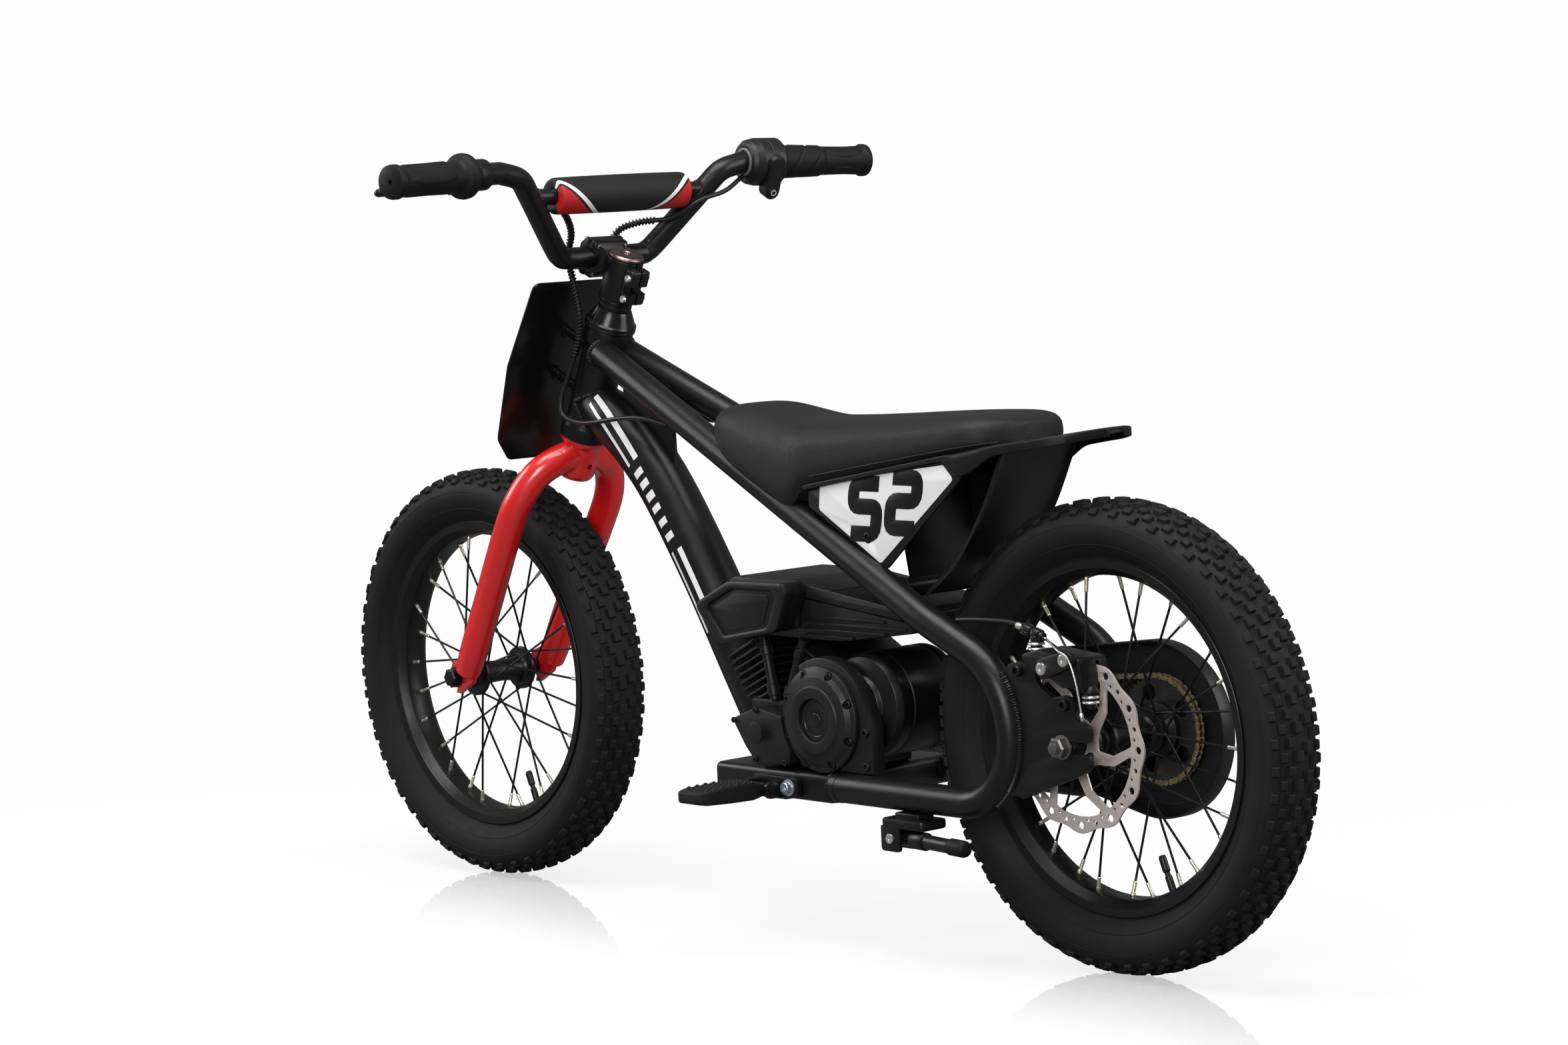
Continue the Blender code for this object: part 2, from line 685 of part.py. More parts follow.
def guard_outline(inset):
    """Stadium round both sprockets, tangent lines between its two ends."""
    rear_r, front_r = GUARD_REAR_RADIUS - inset, GUARD_FRONT_RADIUS - inset
    span = Vector((MOTOR_X, MOTOR_Z - AXLE_Z))
    tilt = math.degrees(math.atan2(span.y, span.x))
    lean = math.degrees(math.asin((rear_r - front_r) / span.length))
    top, low = tilt + 90 - lean, tilt - 90 + lean
    front = arc((MOTOR_X, MOTOR_Z), front_r, low, top, 7)
    rear = arc((0, AXLE_Z), rear_r, top, low + 360, 16)
    return front + rear


def chain_guard():
    depth = GUARD_INNER_Y - GUARD_OUTER_Y
    middle = (GUARD_INNER_Y + GUARD_OUTER_Y) / 2
    shell = side_plate(guard_outline(0), depth, middle)
    pocket = side_plate(guard_outline(GUARD_WALL), depth, middle + GUARD_WALL)
    hole = rod((0, GUARD_OUTER_Y - 0.01, AXLE_Z), (0, GUARD_INNER_Y + 0.01, AXLE_Z), 0.0125, 16)
    return minus(shell, pocket, hole)


piece("chain_guard", chain_guard(), "frame", "black_plastic")


def motor():
    """Motor can with end bells, shaft to the right and a foot down to the box beam."""
    half = MOTOR_RADIUS
    profile = [
        (0, MOTOR_LEFT_Y), (0.55 * half, MOTOR_LEFT_Y), (0.60 * half, MOTOR_LEFT_Y - 0.004),
        (0.92 * half, MOTOR_LEFT_Y - 0.007), (half, MOTOR_LEFT_Y - 0.013), (half, MOTOR_RIGHT_Y + 0.010),
        (0.93 * half, MOTOR_RIGHT_Y + 0.005), (0.34 * half, MOTOR_RIGHT_Y + 0.003), (0.30 * half,
                                                                MOTOR_RIGHT_Y),
        (MOTOR_SHAFT_RADIUS, MOTOR_RIGHT_Y), (MOTOR_SHAFT_RADIUS, CHAIN_Y - 0.004), (0, CHAIN_Y - 0.004),
    ]
    can = turned(profile, 18, Matrix.Translation((MOTOR_X, 0, MOTOR_Z)) @ AXLE_TURN)
    foot = box((MOTOR_X + 0.020, -0.030, BOX_TOP_Z + FIT), (MOTOR_X + 0.040, 0.044, MOTOR_Z - 0.010),
               0.003)
    return union(can, foot)


piece("motor", motor(), "frame", "satin_black_paint")


# Frame: loops with dropouts, head tube, down tube, box beam, bridge
def loop_height(x):
    return LOOP_HEAD_Z - LOOP_SLOPE * (LOOP_HEAD_X - x)


def loop_width(x):
    if x <= LOOP_FLARE_X:
        return LOOP_REAR_Y
    share = (x - LOOP_FLARE_X) / (LOOP_HEAD_X - LOOP_FLARE_X)
    return LOOP_REAR_Y + (LOOP_HEAD_Y - LOOP_REAR_Y) * share


def loop_path(side):
    """Top tube down from the head, round the rear bend and forwards along the bottom rail."""
    slope = math.atan(LOOP_SLOPE)
    half_turn = (math.radians(90) - slope) / 2
    corner = loop_height(LOOP_REAR_X)
    run = corner - (RAIL_Z + LOOP_LOWER_BEND)
    bend = run / math.tan(half_turn)
    head_x = LOOP_HEAD_X + 0.035
    path = [(x, loop_height(x)) for x in (head_x, LOOP_FLARE_X + 0.01, LOOP_FLARE_X - 0.01)]
    upper = arc((LOOP_REAR_X + bend, RAIL_Z + LOOP_LOWER_BEND), bend, 90 + math.degrees(slope), 180, 5)
    lower = arc((LOOP_REAR_X + LOOP_LOWER_BEND, RAIL_Z + LOOP_LOWER_BEND), LOOP_LOWER_BEND, 180, 270, 6)
    path += upper + lower[1:] + [(BOX_REAR_X - FIT, RAIL_Z)]
    return [(x, side * max(loop_width(x), LOOP_RADIUS + FIT) if z > 0.25 else side * LOOP_REAR_Y, z)
            for x, z in path]


def head_blank(grow):
    """Head tube outer form with its flared cups, grown for use as a cutter."""
    return [
        (HEAD_CUP_RADIUS + grow, HEAD_TOP + grow),
        (HEAD_CUP_RADIUS + grow, HEAD_TOP - HEAD_CUP_HEIGHT),
        (HEAD_TUBE_RADIUS + grow, HEAD_TOP - 1.5 * HEAD_CUP_HEIGHT),
        (HEAD_TUBE_RADIUS + grow, HEAD_BOTTOM + 1.6 * HEAD_CUP_HEIGHT),
        (HEAD_CUP_RADIUS + grow, HEAD_BOTTOM + HEAD_CUP_HEIGHT),
        (HEAD_CUP_RADIUS + grow, HEAD_BOTTOM - grow),
    ]


def head_cutter():
    outer = head_blank(FIT)
    return turned([(0, outer[0][1])] + outer + [(0, outer[-1][1])], 20, STEER_IN_FRAME)


def head_tube():
    bore = STEERER_RADIUS + RUN
    return turned(head_blank(0) + [(bore, HEAD_BOTTOM), (bore, HEAD_TOP)], 20, STEER_IN_FRAME, closed=True)


SLOT_HALF = AXLE_RADIUS + FIT
DROPOUT_REAR_X = -0.032


def dropout_outline(top):
    """Plate welded to the loop, with its axle slot open to the rear; the top edge differs by side."""
    slot = arc((0, AXLE_Z), SLOT_HALF, 90, -90, 6)
    rear = [(DROPOUT_REAR_X, AXLE_Z + 0.020), (DROPOUT_REAR_X, AXLE_Z + SLOT_HALF)]
    under = [(DROPOUT_REAR_X, AXLE_Z - SLOT_HALF), (DROPOUT_REAR_X, AXLE_Z - 0.016),
             (DROPOUT_REAR_X + 0.007, AXLE_Z - 0.022), (0.052, 0.164), (0.084, 0.176), (0.070, 0.215)]
    return top + rear + slot + under


LEFT_TOP = [(0.074, 0.268), (0.064, 0.285), (0.050, 0.288), (0.037, 0.286), (0.031, 0.279), (0.029, 0.270),
            (0.010, 0.2575), (-0.002, 0.2610), (-0.013, 0.2590), (-0.0165, 0.2480), (-0.0180, 0.2400)]
RIGHT_TOP = [(0.074, 0.268), (0.060, 0.276), (0.030, 0.254), (-0.016, 0.243)]


def frame_loop(side, top):
    pipe = tube(loop_path(side), LOOP_RADIUS, 3)
    lug = side_plate(dropout_outline(top), DROPOUT_THICKNESS, side * DROPOUT_PLANE_Y)
    return minus(union(pipe, lug), head_cutter())


piece("left_frame_loop", frame_loop(1, LEFT_TOP), "frame", "satin_black_paint")
piece("right_frame_loop", frame_loop(-1, RIGHT_TOP), "frame", "satin_black_paint")
piece("head_tube", head_tube(), "frame", "satin_black_paint")


def down_tube():
    """Curved large tube from the head to the box beam, with the gusset plate under the top tubes."""
    route = smooth_path([(0.728, 0, 0.507), (0.676, 0, 0.478), (0.620, 0, 0.427), (0.5585, 0, 0.3414),
                         (0.500, 0, 0.246), (0.446, 0, 0.158)], 2)
    pipe = tube(route, DOWN_TUBE_RADIUS, 4)
    top = [(0.676, loop_height(0.676) - 0.019), (0.600, loop_height(0.600) - 0.019)]
    gusset = side_plate(top + [(0.600, 0.440), (0.660, 0.470)], 0.005, 0)
    below = box((BOX_REAR_X, -0.1, 0.05), (BOX_FRONT_X + 0.05, 0.1, BOX_TOP_Z + FIT))
    return minus(union(pipe, gusset), head_cutter(), below)


piece("down_tube", down_tube(), "frame", "satin_black_paint")
piece("bottom_box", box((BOX_REAR_X, -BOX_HALF_WIDTH, BOX_BOTTOM_Z),
                        (BOX_FRONT_X, BOX_HALF_WIDTH, BOX_TOP_Z),
                        0.006, 2), "frame", "satin_black_paint")

BRACKET_THICKNESS = 0.004
BRACKET_HALF_WIDTH = 0.040


# Seat base and tail in one moulding; the seat and the side panels fit to it
SEAT_BASE_FRONT = 0.338
TAIL_END = -0.0065
BASE_WALL = 0.003
BASE_HALF_WIDTH = 0.0665
TAIL_ROUND_X = 0.045
SKIRT_FRONT = 0.005
SKIRT_DEEP = 0.0225
SKIRT_TAIL = 0.0100
SEAT_EDGE_SLOPE = 0.174
SEAT_EDGE_X = 0.336
SEAT_EDGE_Z = 0.4354


def seat_edge(x):
    """Height of the line where the seat cover meets the base, seen from the side."""
    return SEAT_EDGE_Z + SEAT_EDGE_SLOPE * (SEAT_EDGE_X - x)


def base_half_width(x):
    """Half width in plan: parallel sides, then a rounded tail."""
    if x > 0.13:
        return BASE_HALF_WIDTH
    waist = BASE_HALF_WIDTH - 0.0105 * (0.13 - x) / 0.09
    if x > TAIL_ROUND_X:
        return waist
    share = (TAIL_ROUND_X - x) / (TAIL_ROUND_X - TAIL_END)
    return max(0.012, waist * math.sqrt(max(0.0, 1 - share ** 1.7)))


def base_skirt(x):
    """How far the side wall hangs below the seat line, deepest behind the side panels."""
    if x > 0.15:
        return SKIRT_FRONT
    if x > 0.13:
        return SKIRT_FRONT + (SKIRT_DEEP - SKIRT_FRONT) * (0.15 - x) / 0.02
    return max(SKIRT_TAIL, SKIRT_DEEP - (SKIRT_DEEP - SKIRT_TAIL) * (0.13 - x) / 0.042)


def base_section(x, lift):
    half, top = base_half_width(x), seat_edge(x) + lift
    low = top - base_skirt(x) - lift * 0.5
    edge = min(0.006, 0.3 * (top - low))
    t = BASE_WALL
    outer = [(-half, low), (-half, top - edge), (-half + edge, top), (half - edge, top), (half, top - edge),
             (half, low)]
    inner = [(half - t, low), (half - t, top - edge - 0.3 * t), (half - edge - 0.5 * t, top - t),
             (-half + edge + 0.5 * t, top - t), (-half + t, top - edge - 0.3 * t), (-half + t, low)]
    return [(x, y, z) for y, z in outer + inner]


def tail_fender():
    stations = [SEAT_BASE_FRONT, 0.240, 0.150, 0.130, 0.105, 0.088, 0.045, 0.032, 0.018, 0.004, TAIL_END]
    sections = []
    for x in stations:
        flat = min(1.0, max(0.0, (0.10 - x) / 0.06))
        sections.append(base_section(x, -0.0025 * flat * flat))
    return loft(sections)


piece("tail_fender", tail_fender(), "frame", "gloss_black_plastic")


def base_underside(x):
    return seat_edge(x) - BASE_WALL


def rear_bridge():
    """Cross tube between the loops with a bent bracket up to the seat base."""
    z = loop_height(BRIDGE_X)
    reach = loop_width(BRIDGE_X) - LOOP_RADIUS - 4 * FIT
    bar = rod((BRIDGE_X, -reach, z), (BRIDGE_X, reach, z), BRIDGE_RADIUS, 14)
    top = base_underside(BRIDGE_X - 0.010) - FIT
    strap = [(BRIDGE_X - 0.002, z), (BRIDGE_X + 0.002, z), (BRIDGE_X + 0.002, top - BRACKET_THICKNESS),
             (BRIDGE_X + 0.022, base_underside(BRIDGE_X + 0.022) - FIT - BRACKET_THICKNESS),
             (BRIDGE_X + 0.022, base_underside(BRIDGE_X + 0.022) - FIT), (BRIDGE_X - 0.002, top - 0.0025)]
    return union(bar, side_plate(strap, 2 * BRACKET_HALF_WIDTH, 0))


piece("rear_bridge", rear_bridge(), "frame", "satin_black_paint")

MUDGUARD_HALF_WIDTH = 0.048
MUDGUARD_WALL = 0.0025


def mudguard():
    """Curved splash sheet in front of the rear tyre, from the tail's underside down to the bridge."""
    route = [(0.094, base_underside(0.094) - FIT), (0.124, 0.417), (0.160, 0.370), (0.198, 0.3395)]
    middle = Vector((0, 0, AXLE_Z))
    clear = TYRE_RADIUS - AXLE_Z
    line = [Vector((x, 0, z)) for x, z in route]
    line[1:] = [point + (point - middle).normalized() * clear for point in line[1:]]
    path = smooth_path(line, 3)
    sections = []
    for i, point in enumerate(path):
        ahead = path[min(i + 1, len(path) - 1)] - path[max(i - 1, 0)]
        out = Vector((ahead.z, 0, -ahead.x)).normalized() * -MUDGUARD_WALL
        if i == 0:
            out = Vector((MUDGUARD_WALL, 0, MUDGUARD_WALL * SEAT_EDGE_SLOPE * -1))
        width, lip = MUDGUARD_HALF_WIDTH, 0.006
        back = Vector((-0.7, 0, -0.7)) * lip
        if i == 0:
            back = Vector((-lip, 0, -lip))
        across = [(-width, back), (-width + lip, Vector()), (width - lip, Vector()), (width, back)]
        front = [point + out + shift + Vector((0, y, 0)) for y, shift in across]
        rear = [point + shift + Vector((0, y, 0)) for y, shift in reversed(across)]
        sections.append([tuple(p) for p in front + rear])
    return loft(sections)


piece("mudguard", mudguard(), "frame", "black_plastic")

# Seat: crowned saddle with a raised nose, drawn in along its lower edge
SEAT_REAR_X = 0.0950
SEAT_NOSE_X = 0.4990


def seat_top(x):
    """Ridge line: raised nose, dip behind it and a slight rise to the rear."""
    if x > 0.36:
        return 0.4950 + 0.0138 * math.sin(min(1.0, (x - 0.36) / 0.125) * math.pi / 2) ** 2
    return 0.4950 + 0.0085 * min(1.0, (0.36 - x) / 0.225)


def seat_half_width(x):
    if x > 0.36:
        return 0.0670 - 0.018 * ((x - 0.36) / 0.142) ** 1.6
    return 0.0670 - 0.004 * max(0.0, (0.20 - x) / 0.09) ** 2


def seat_bottom(x):
    if x > SEAT_BASE_FRONT:
        return loop_height(x) + 0.002 if x > SEAT_BASE_FRONT + 0.012 else seat_edge(x) - 0.004
    return seat_edge(x) + FIT


def seat():
    stations = [(SEAT_REAR_X, 0.20, 0.30), (0.0990, 0.48, 0.55), (0.1085, 0.76, 0.85), (0.1215, 0.96, 1.0),
                (0.1500, 1.0, 1.0), (0.2400, 1.0, 1.0), (SEAT_BASE_FRONT - FIT, 1.0, 1.0), (0.3750, 1.0,
                                                                1.0),
                (0.4100, 1.0, 1.0), (0.4450, 1.0, 1.0), (0.4720, 0.95, 0.97), (0.4880, 0.82, 0.82),
                (SEAT_NOSE_X, 0.55, 0.45)]
    sections = []
    for x, wide, full in stations:
        low, half = seat_bottom(min(x, 0.480)), seat_half_width(x) * wide
        middle = low + 0.45 * (seat_top(x) - low)
        top = middle + (seat_top(x) - middle) * full
        low = middle - (middle - low) * min(1.0, 0.30 + full) if x > 0.48 else low
        shape = [(0.93, 0.0), (1.0, 0.16), (1.0, 0.45), (0.95, 0.70), (0.78, 0.90), (0.45, 0.985),
                 (0.0, 1.0)]
        right = [(half * w, low + (top - low) * h) for w, h in shape]
        left = [(-y, z) for y, z in reversed(right[:-1])]
        sections.append([(x, y, z) for y, z in right + left])
    body_mesh = loft(sections)
    tubes = [tube(loop_path(side), LOOP_RADIUS + 2 * FIT, 3) for side in (1, -1)]
    return minus(body_mesh, *tubes)


piece("seat", seat(), "frame", "seat_cover")

PANEL_THICKNESS = 0.003
PANEL_Y = 0.0614


def side_panel(side):
    """Number panel under the seat, between the seat line and the frame loop."""
    drop = BASE_WALL + 2 * FIT
    corners = [(0.334, seat_edge(0.334) - drop), (0.147, seat_edge(0.147) - drop), (0.1275, 0.4490),
               (0.2310, 0.3600), (0.3340, loop_height(0.3340) + 0.0215)]
    outline = rounded(corners, [0.004, 0.010, 0.005, 0.005, 0.004], 3)
    sheet = side_plate(outline, PANEL_THICKNESS, side * PANEL_Y)
    boss_x, boss_z = 0.2545, 0.3893
    screw = rod((boss_x, side * (PANEL_Y - 0.004), boss_z), (boss_x, side * (PANEL_Y + 0.0035), boss_z),
                0.0055, 10)
    keep = tube(loop_path(side), LOOP_RADIUS + FIT, 3)
    return minus(union(sheet, screw), keep)


piece("left_side_panel", side_panel(1), "frame", "white_panel")
piece("right_side_panel", side_panel(-1), "frame", "white_panel")


# Battery case and dummy V-twin engine
CASE_FRONT_X = 0.462
CASE_REAR_X = TYRE_RADIUS - 0.010
CASE_HALF_WIDTH = 0.058
CASE_FLOOR_Z = 0.2880
CASE_WALL = 0.003
CASE_KINK_X = 0.360
LID_TOP_Z = 0.3430


def case_rim(x):
    """Height of the joint between case and lid, falling towards the rear."""
    return 0.3275 - 0.110 * max(0.0, CASE_KINK_X - x)


def battery_box():
    outer = [(CASE_REAR_X, 0.3010), (CASE_REAR_X, case_rim(CASE_REAR_X)),
             (CASE_KINK_X, case_rim(CASE_KINK_X)),
             (CASE_FRONT_X, case_rim(CASE_FRONT_X)), (CASE_FRONT_X, CASE_FLOOR_Z), (0.300, CASE_FLOOR_Z)]
    w = CASE_WALL
    inner = [(CASE_REAR_X + w, 0.3040), (CASE_REAR_X + w, 0.36), (CASE_FRONT_X - w, 0.36),
             (CASE_FRONT_X - w, CASE_FLOOR_Z + w), (0.300, CASE_FLOOR_Z + w)]
    shell = side_plate(outer, 2 * CASE_HALF_WIDTH, 0)
    return minus(shell, side_plate(inner, 2 * (CASE_HALF_WIDTH - w), 0))


def battery_lid():
    """Cover with a flat front part and a top that slopes down to the rear; its rim stands on the case."""
    rear, front = CASE_REAR_X - 0.001, CASE_FRONT_X + 0.001
    outer = [(rear, case_rim(rear) + FIT), (CASE_KINK_X, case_rim(CASE_KINK_X) + FIT),
             (front, case_rim(front) + FIT),
             (front, 0.3345), (front - 0.012, LID_TOP_Z), (CASE_KINK_X + 0.010, LID_TOP_Z), (rear + 0.010,
                                                                0.3225),
             (rear, 0.3180)]
    w = CASE_WALL
    inner = [(rear + w, 0.30), (front - w, 0.30), (front - w, 0.3330), (front - 0.013, LID_TOP_Z - w),
             (CASE_KINK_X + 0.010, LID_TOP_Z - w), (rear + 0.011, 0.3195), (rear + w, 0.3165)]
    half = CASE_HALF_WIDTH + 0.001
    shell = side_plate(outer, 2 * half, 0)
    return minus(shell, side_plate(inner, 2 * (half - w), 0))


piece("battery_box", battery_box(), "frame", "black_plastic")
pack_low = CASE_FLOOR_Z + CASE_WALL + FIT
battery_pack = box((0.303, -CASE_HALF_WIDTH + 0.007, pack_low),
                   (CASE_FRONT_X - 0.006, CASE_HALF_WIDTH - 0.007, pack_low + 0.035), 0.003)
piece("battery_pack", battery_pack, "frame", "black_plastic")
piece("battery_lid", battery_lid(), "frame", "black_plastic")


def down_tube_cutter():
    start, end = Vector((0.620, 0, 0.427)), Vector((0.446, 0, 0.158))
    return rod(start, end + (end - start) * 0.1, DOWN_TUBE_RADIUS + 0.002, 20)


CRANKCASE_Y = 0.056
CYLINDER_FOOT_Z = 0.2260
PUSHROD_Y = CRANKCASE_Y - 0.0010
COVER_Y = 0.0750


def crankcase():
    """Core casting under the cylinders with its right-hand cover face."""
    rear = MOTOR_X + MOTOR_RADIUS + 0.012
    outline = rounded([(rear, BOX_TOP_Z + FIT), (0.414, BOX_TOP_Z + FIT), (0.438, CYLINDER_FOOT_Z),
                       (rear, CYLINDER_FOOT_Z)], [0.004, 0.004, 0.005, 0.005], 2)
    core = side_plate(outline, 2 * CRANKCASE_Y, 0)
    right = rounded([(rear + 0.006, 0.1720), (0.410, 0.1720), (0.428, 0.2200), (0.398, 0.2255),
                     (rear + 0.006, 0.2255)],
                    0.006, 2)
    cover = side_plate(right, 0.012, -CRANKCASE_Y - 0.005)
    return minus(union(core, cover), down_tube_cutter())


piece("crankcase", crankcase(), "frame", "black_plastic")


def finned(foot, head, half_along, half_across, fins, taper):
    """Finned barrel between two points in the side view: wide fins on a narrower core."""
    foot, head = Vector((foot[0], 0, foot[1])), Vector((head[0], 0, head[1]))
    up = (head - foot).normalized()
    along = Vector((up.z, 0, -up.x))
    across = Vector((0, 1, 0))
    length = (head - foot).length
    sections = []

    def section(share, grow):
        scale = taper + (1 - taper) * share
        a, b = (half_along - grow) * scale, half_across - grow
        c = 0.35 * a
        centre = foot + up * (length * share)
        ring_points = [(a, b - c), (a - c, b), (c - a, b), (-a, b - c), (-a, c - b), (c - a, -b),
                       (a - c, -b), (a, c - b)]
        return [tuple(centre + along * u + across * v) for u, v in ring_points]

    for k in range(fins):
        base = k / fins
        for offset, grow in ((0.02, 0.006), (0.46, 0.006), (0.54, 0.0), (0.92, 0.0)):
            sections.append(section(base + offset / fins, grow))
    return loft(sections)


FIN_COUNT = 5
FRONT_FOOT, FRONT_HEAD = (0.4200, 0.2240), (0.4540, 0.2960)
REAR_FOOT, REAR_HEAD = (0.3640, 0.2240), (0.3240, 0.2960)


def cylinder(foot, head, rod_from, rod_to):
    """Finned cylinder of the dummy engine, with its pushrod tube moulded on the left side."""
    barrel = finned(foot, head, 0.0360, CRANKCASE_Y, FIN_COUNT, 0.62)
    flat_top = box((0.2, -0.1, CASE_FLOOR_Z - FIT), (0.6, 0.1, CASE_FLOOR_Z + 0.1))
    flat_foot = box((0.2, -0.1, 0.1), (0.6, 0.1, CYLINDER_FOOT_Z + FIT))
    pushrod = rod((rod_from[0], PUSHROD_Y, rod_from[1]), (rod_to[0], PUSHROD_Y, rod_to[1]), 0.0065, 10)
    joined = union(barrel, pushrod)
    return minus(joined, flat_top, flat_foot, down_tube_cutter(), motor_cutter())


def motor_cutter():
    return rod((MOTOR_X, -0.1, MOTOR_Z), (MOTOR_X, 0.1, MOTOR_Z), MOTOR_RADIUS + 0.001, 24)


front_cylinder = cylinder(FRONT_FOOT, FRONT_HEAD, (0.4020, 0.2220), (0.4150, 0.2900))
rear_cylinder = cylinder(REAR_FOOT, REAR_HEAD, (0.3850, 0.2220), (0.3560, 0.2900))
middle_cut = box((0.3925, -0.1, 0.2), (0.6, 0.1, 0.32))
front_cut = box((0.2, -0.1, 0.2), (0.3925 + FIT, 0.1, 0.32))
piece("front_cylinder", minus(front_cylinder, front_cut), "frame", "black_plastic")
piece("rear_cylinder", minus(rear_cylinder, middle_cut), "frame", "black_plastic")


AIR_DEPTH = 0.0280


def air_cleaner():
    """Rounded wedge cover with a raised lip and a sunk panel."""
    corners = [(0.479, 0.3180), (0.427, 0.3430), (0.350, 0.3440), (0.345, 0.3350), (0.361, 0.2970),
               (0.447, 0.2810)]
    radii = [0.008, 0.030, 0.006, 0.006, 0.014, 0.012]
    inner_y = max(CASE_HALF_WIDTH + 0.0015, CRANKCASE_Y) + FIT
    shell = side_plate(rounded(corners, radii, 4), AIR_DEPTH, inner_y + AIR_DEPTH / 2)
    centre = Vector((0.412, 0.312))
    small = [tuple(centre + (Vector(c) - centre) * 0.72) for c in corners]
    sunk = side_plate(rounded(small, [0.6 * r for r in radii], 3), 0.006, inner_y + AIR_DEPTH)
    pushrods = [rod((0.402, PUSHROD_Y, 0.222), (0.415, PUSHROD_Y, 0.290), 0.0065 + FIT, 10),
                rod((0.385, PUSHROD_Y, 0.222), (0.356, PUSHROD_Y, 0.290), 0.0065 + FIT, 10)]
    return minus(shell, sunk, *pushrods)


piece("air_cleaner_cover", air_cleaner(), "frame", "black_plastic")

CLUTCH_X, CLUTCH_Z, CLUTCH_RADIUS = 0.3135, 0.2165, 0.0503
PRIMARY_INNER_Y = MOTOR_LEFT_Y + FIT
PRIMARY_OUTER_Y = COVER_Y


def primary_cover():
    """Backing cover on the motor's left end: round shoulder over a square rear foot."""
    crown = arc((CLUTCH_X, CLUTCH_Z), CLUTCH_RADIUS + 0.0075, 150, 20, 12)
    foot = RAIL_Z + LOOP_RADIUS + 2 * FIT
    outline = [(0.2480, foot), (0.2480, 0.2150)] + [point for point in crown if point[0] < 0.3455]
    outline += [(0.3455, outline[-1][1]), (0.3455, foot)]
    return side_plate(outline, PRIMARY_OUTER_Y - PRIMARY_INNER_Y, (PRIMARY_INNER_Y + PRIMARY_OUTER_Y) / 2)


piece("primary_cover", primary_cover(), "frame", "black_plastic")


def clutch_cover():
    """Round domed cover with a stepped rim and a sunk centre disc."""
    y = PRIMARY_OUTER_Y + FIT
    r = CLUTCH_RADIUS
    profile = [(0, y + 0.0100), (0.40 * r, y + 0.0100), (0.41 * r, y + 0.0130), (0.62 * r, y + 0.0130),
               (0.64 * r, y + 0.0120), (0.82 * r, y + 0.0105), (0.90 * r, y + 0.0065), (r, y + 0.0050), (r,
                                                                y), (0, y)]
    return turned(profile, 22, Matrix.Translation((CLUTCH_X, 0, CLUTCH_Z)) @ AXLE_TURN)


piece("clutch_cover", clutch_cover(), "frame", "black_plastic")


def timing_cover():
    """Lower front cover: arched top, tapering to a rounded toe over the box beam."""
    inner = CRANKCASE_Y + FIT
    corners = [(0.4355, 0.2095), (0.4000, 0.2225), (0.3620, 0.2160), (0.3520, 0.1950), (0.3560, 0.1690),
               (0.4035, 0.1690), (0.4172, 0.1835)]
    back = side_plate(rounded(corners, 0.005, 2), 0.027, inner + 0.0135)
    centre = Vector((0.393, 0.198))
    small = [tuple(centre + (Vector(c) - centre) * 0.80) for c in corners]
    face = side_plate(rounded(small, 0.004, 2), 0.008, inner + 0.0280)
    pushrods = [rod((0.402, PUSHROD_Y, 0.222), (0.415, PUSHROD_Y, 0.290), 0.0065 + FIT, 10),
                rod((0.385, PUSHROD_Y, 0.222), (0.356, PUSHROD_Y, 0.290), 0.0065 + FIT, 10)]
    joined = union(back, face)
    clear = turned([(0, 0.2), (CLUTCH_RADIUS + FIT, 0.2), (CLUTCH_RADIUS + FIT, 0), (0, 0)], 28,
                   Matrix.Translation((CLUTCH_X, 0, CLUTCH_Z)) @ AXLE_TURN)
    return minus(joined, clear, *pushrods)


piece("timing_cover", timing_cover(), "frame", "black_plastic")


# Foot pegs and kickstand
PEG_X = 0.380
PEG_PIVOT_Z = 0.1480
PEG_PIVOT_Y = 0.1000
PEG_LENGTH = 0.090
PEG_PIN_RADIUS = 0.0040
PEG_EAR_GAP = 0.0135


def peg_bracket(side):
    """Plate bolted to the box beam's side with two ears for the peg's pin."""
    inner, outer = BOX_HALF_WIDTH + FIT, BOX_HALF_WIDTH + 0.008
    outline = rounded([(0.340, 0.1410), (0.340, 0.1600), (0.402, 0.1600), (0.402, 0.1380),
                       (0.358, 0.1380)], 0.005, 2)
    base = side_plate(outline, outer - inner, side * (inner + outer) / 2)
    ears = []
    for end in (-1, 1):
        near = PEG_X + end * PEG_EAR_GAP
        low = (min(near, near + end * 0.005), 0, 0.1400)
        high = (max(near, near + end * 0.005), 0, 0.1560)
        ys = sorted((side * (outer - 0.002), side * (PEG_PIVOT_Y + 0.007)))
        ears.append(box((low[0], ys[0], low[2]), (high[0], ys[1], high[2])))
    pin = rod((PEG_X - PEG_EAR_GAP - 0.004, side * PEG_PIVOT_Y, PEG_PIVOT_Z),
              (PEG_X + PEG_EAR_GAP + 0.004, side * PEG_PIVOT_Y, PEG_PIVOT_Z), PEG_PIN_RADIUS, 12)
    bolt = rod((0.3515, side * (outer - 0.001), 0.1500), (0.3515, side * (outer + 0.007), 0.1500), 0.0072,
               12)
    return union(base, *ears, pin, bolt)


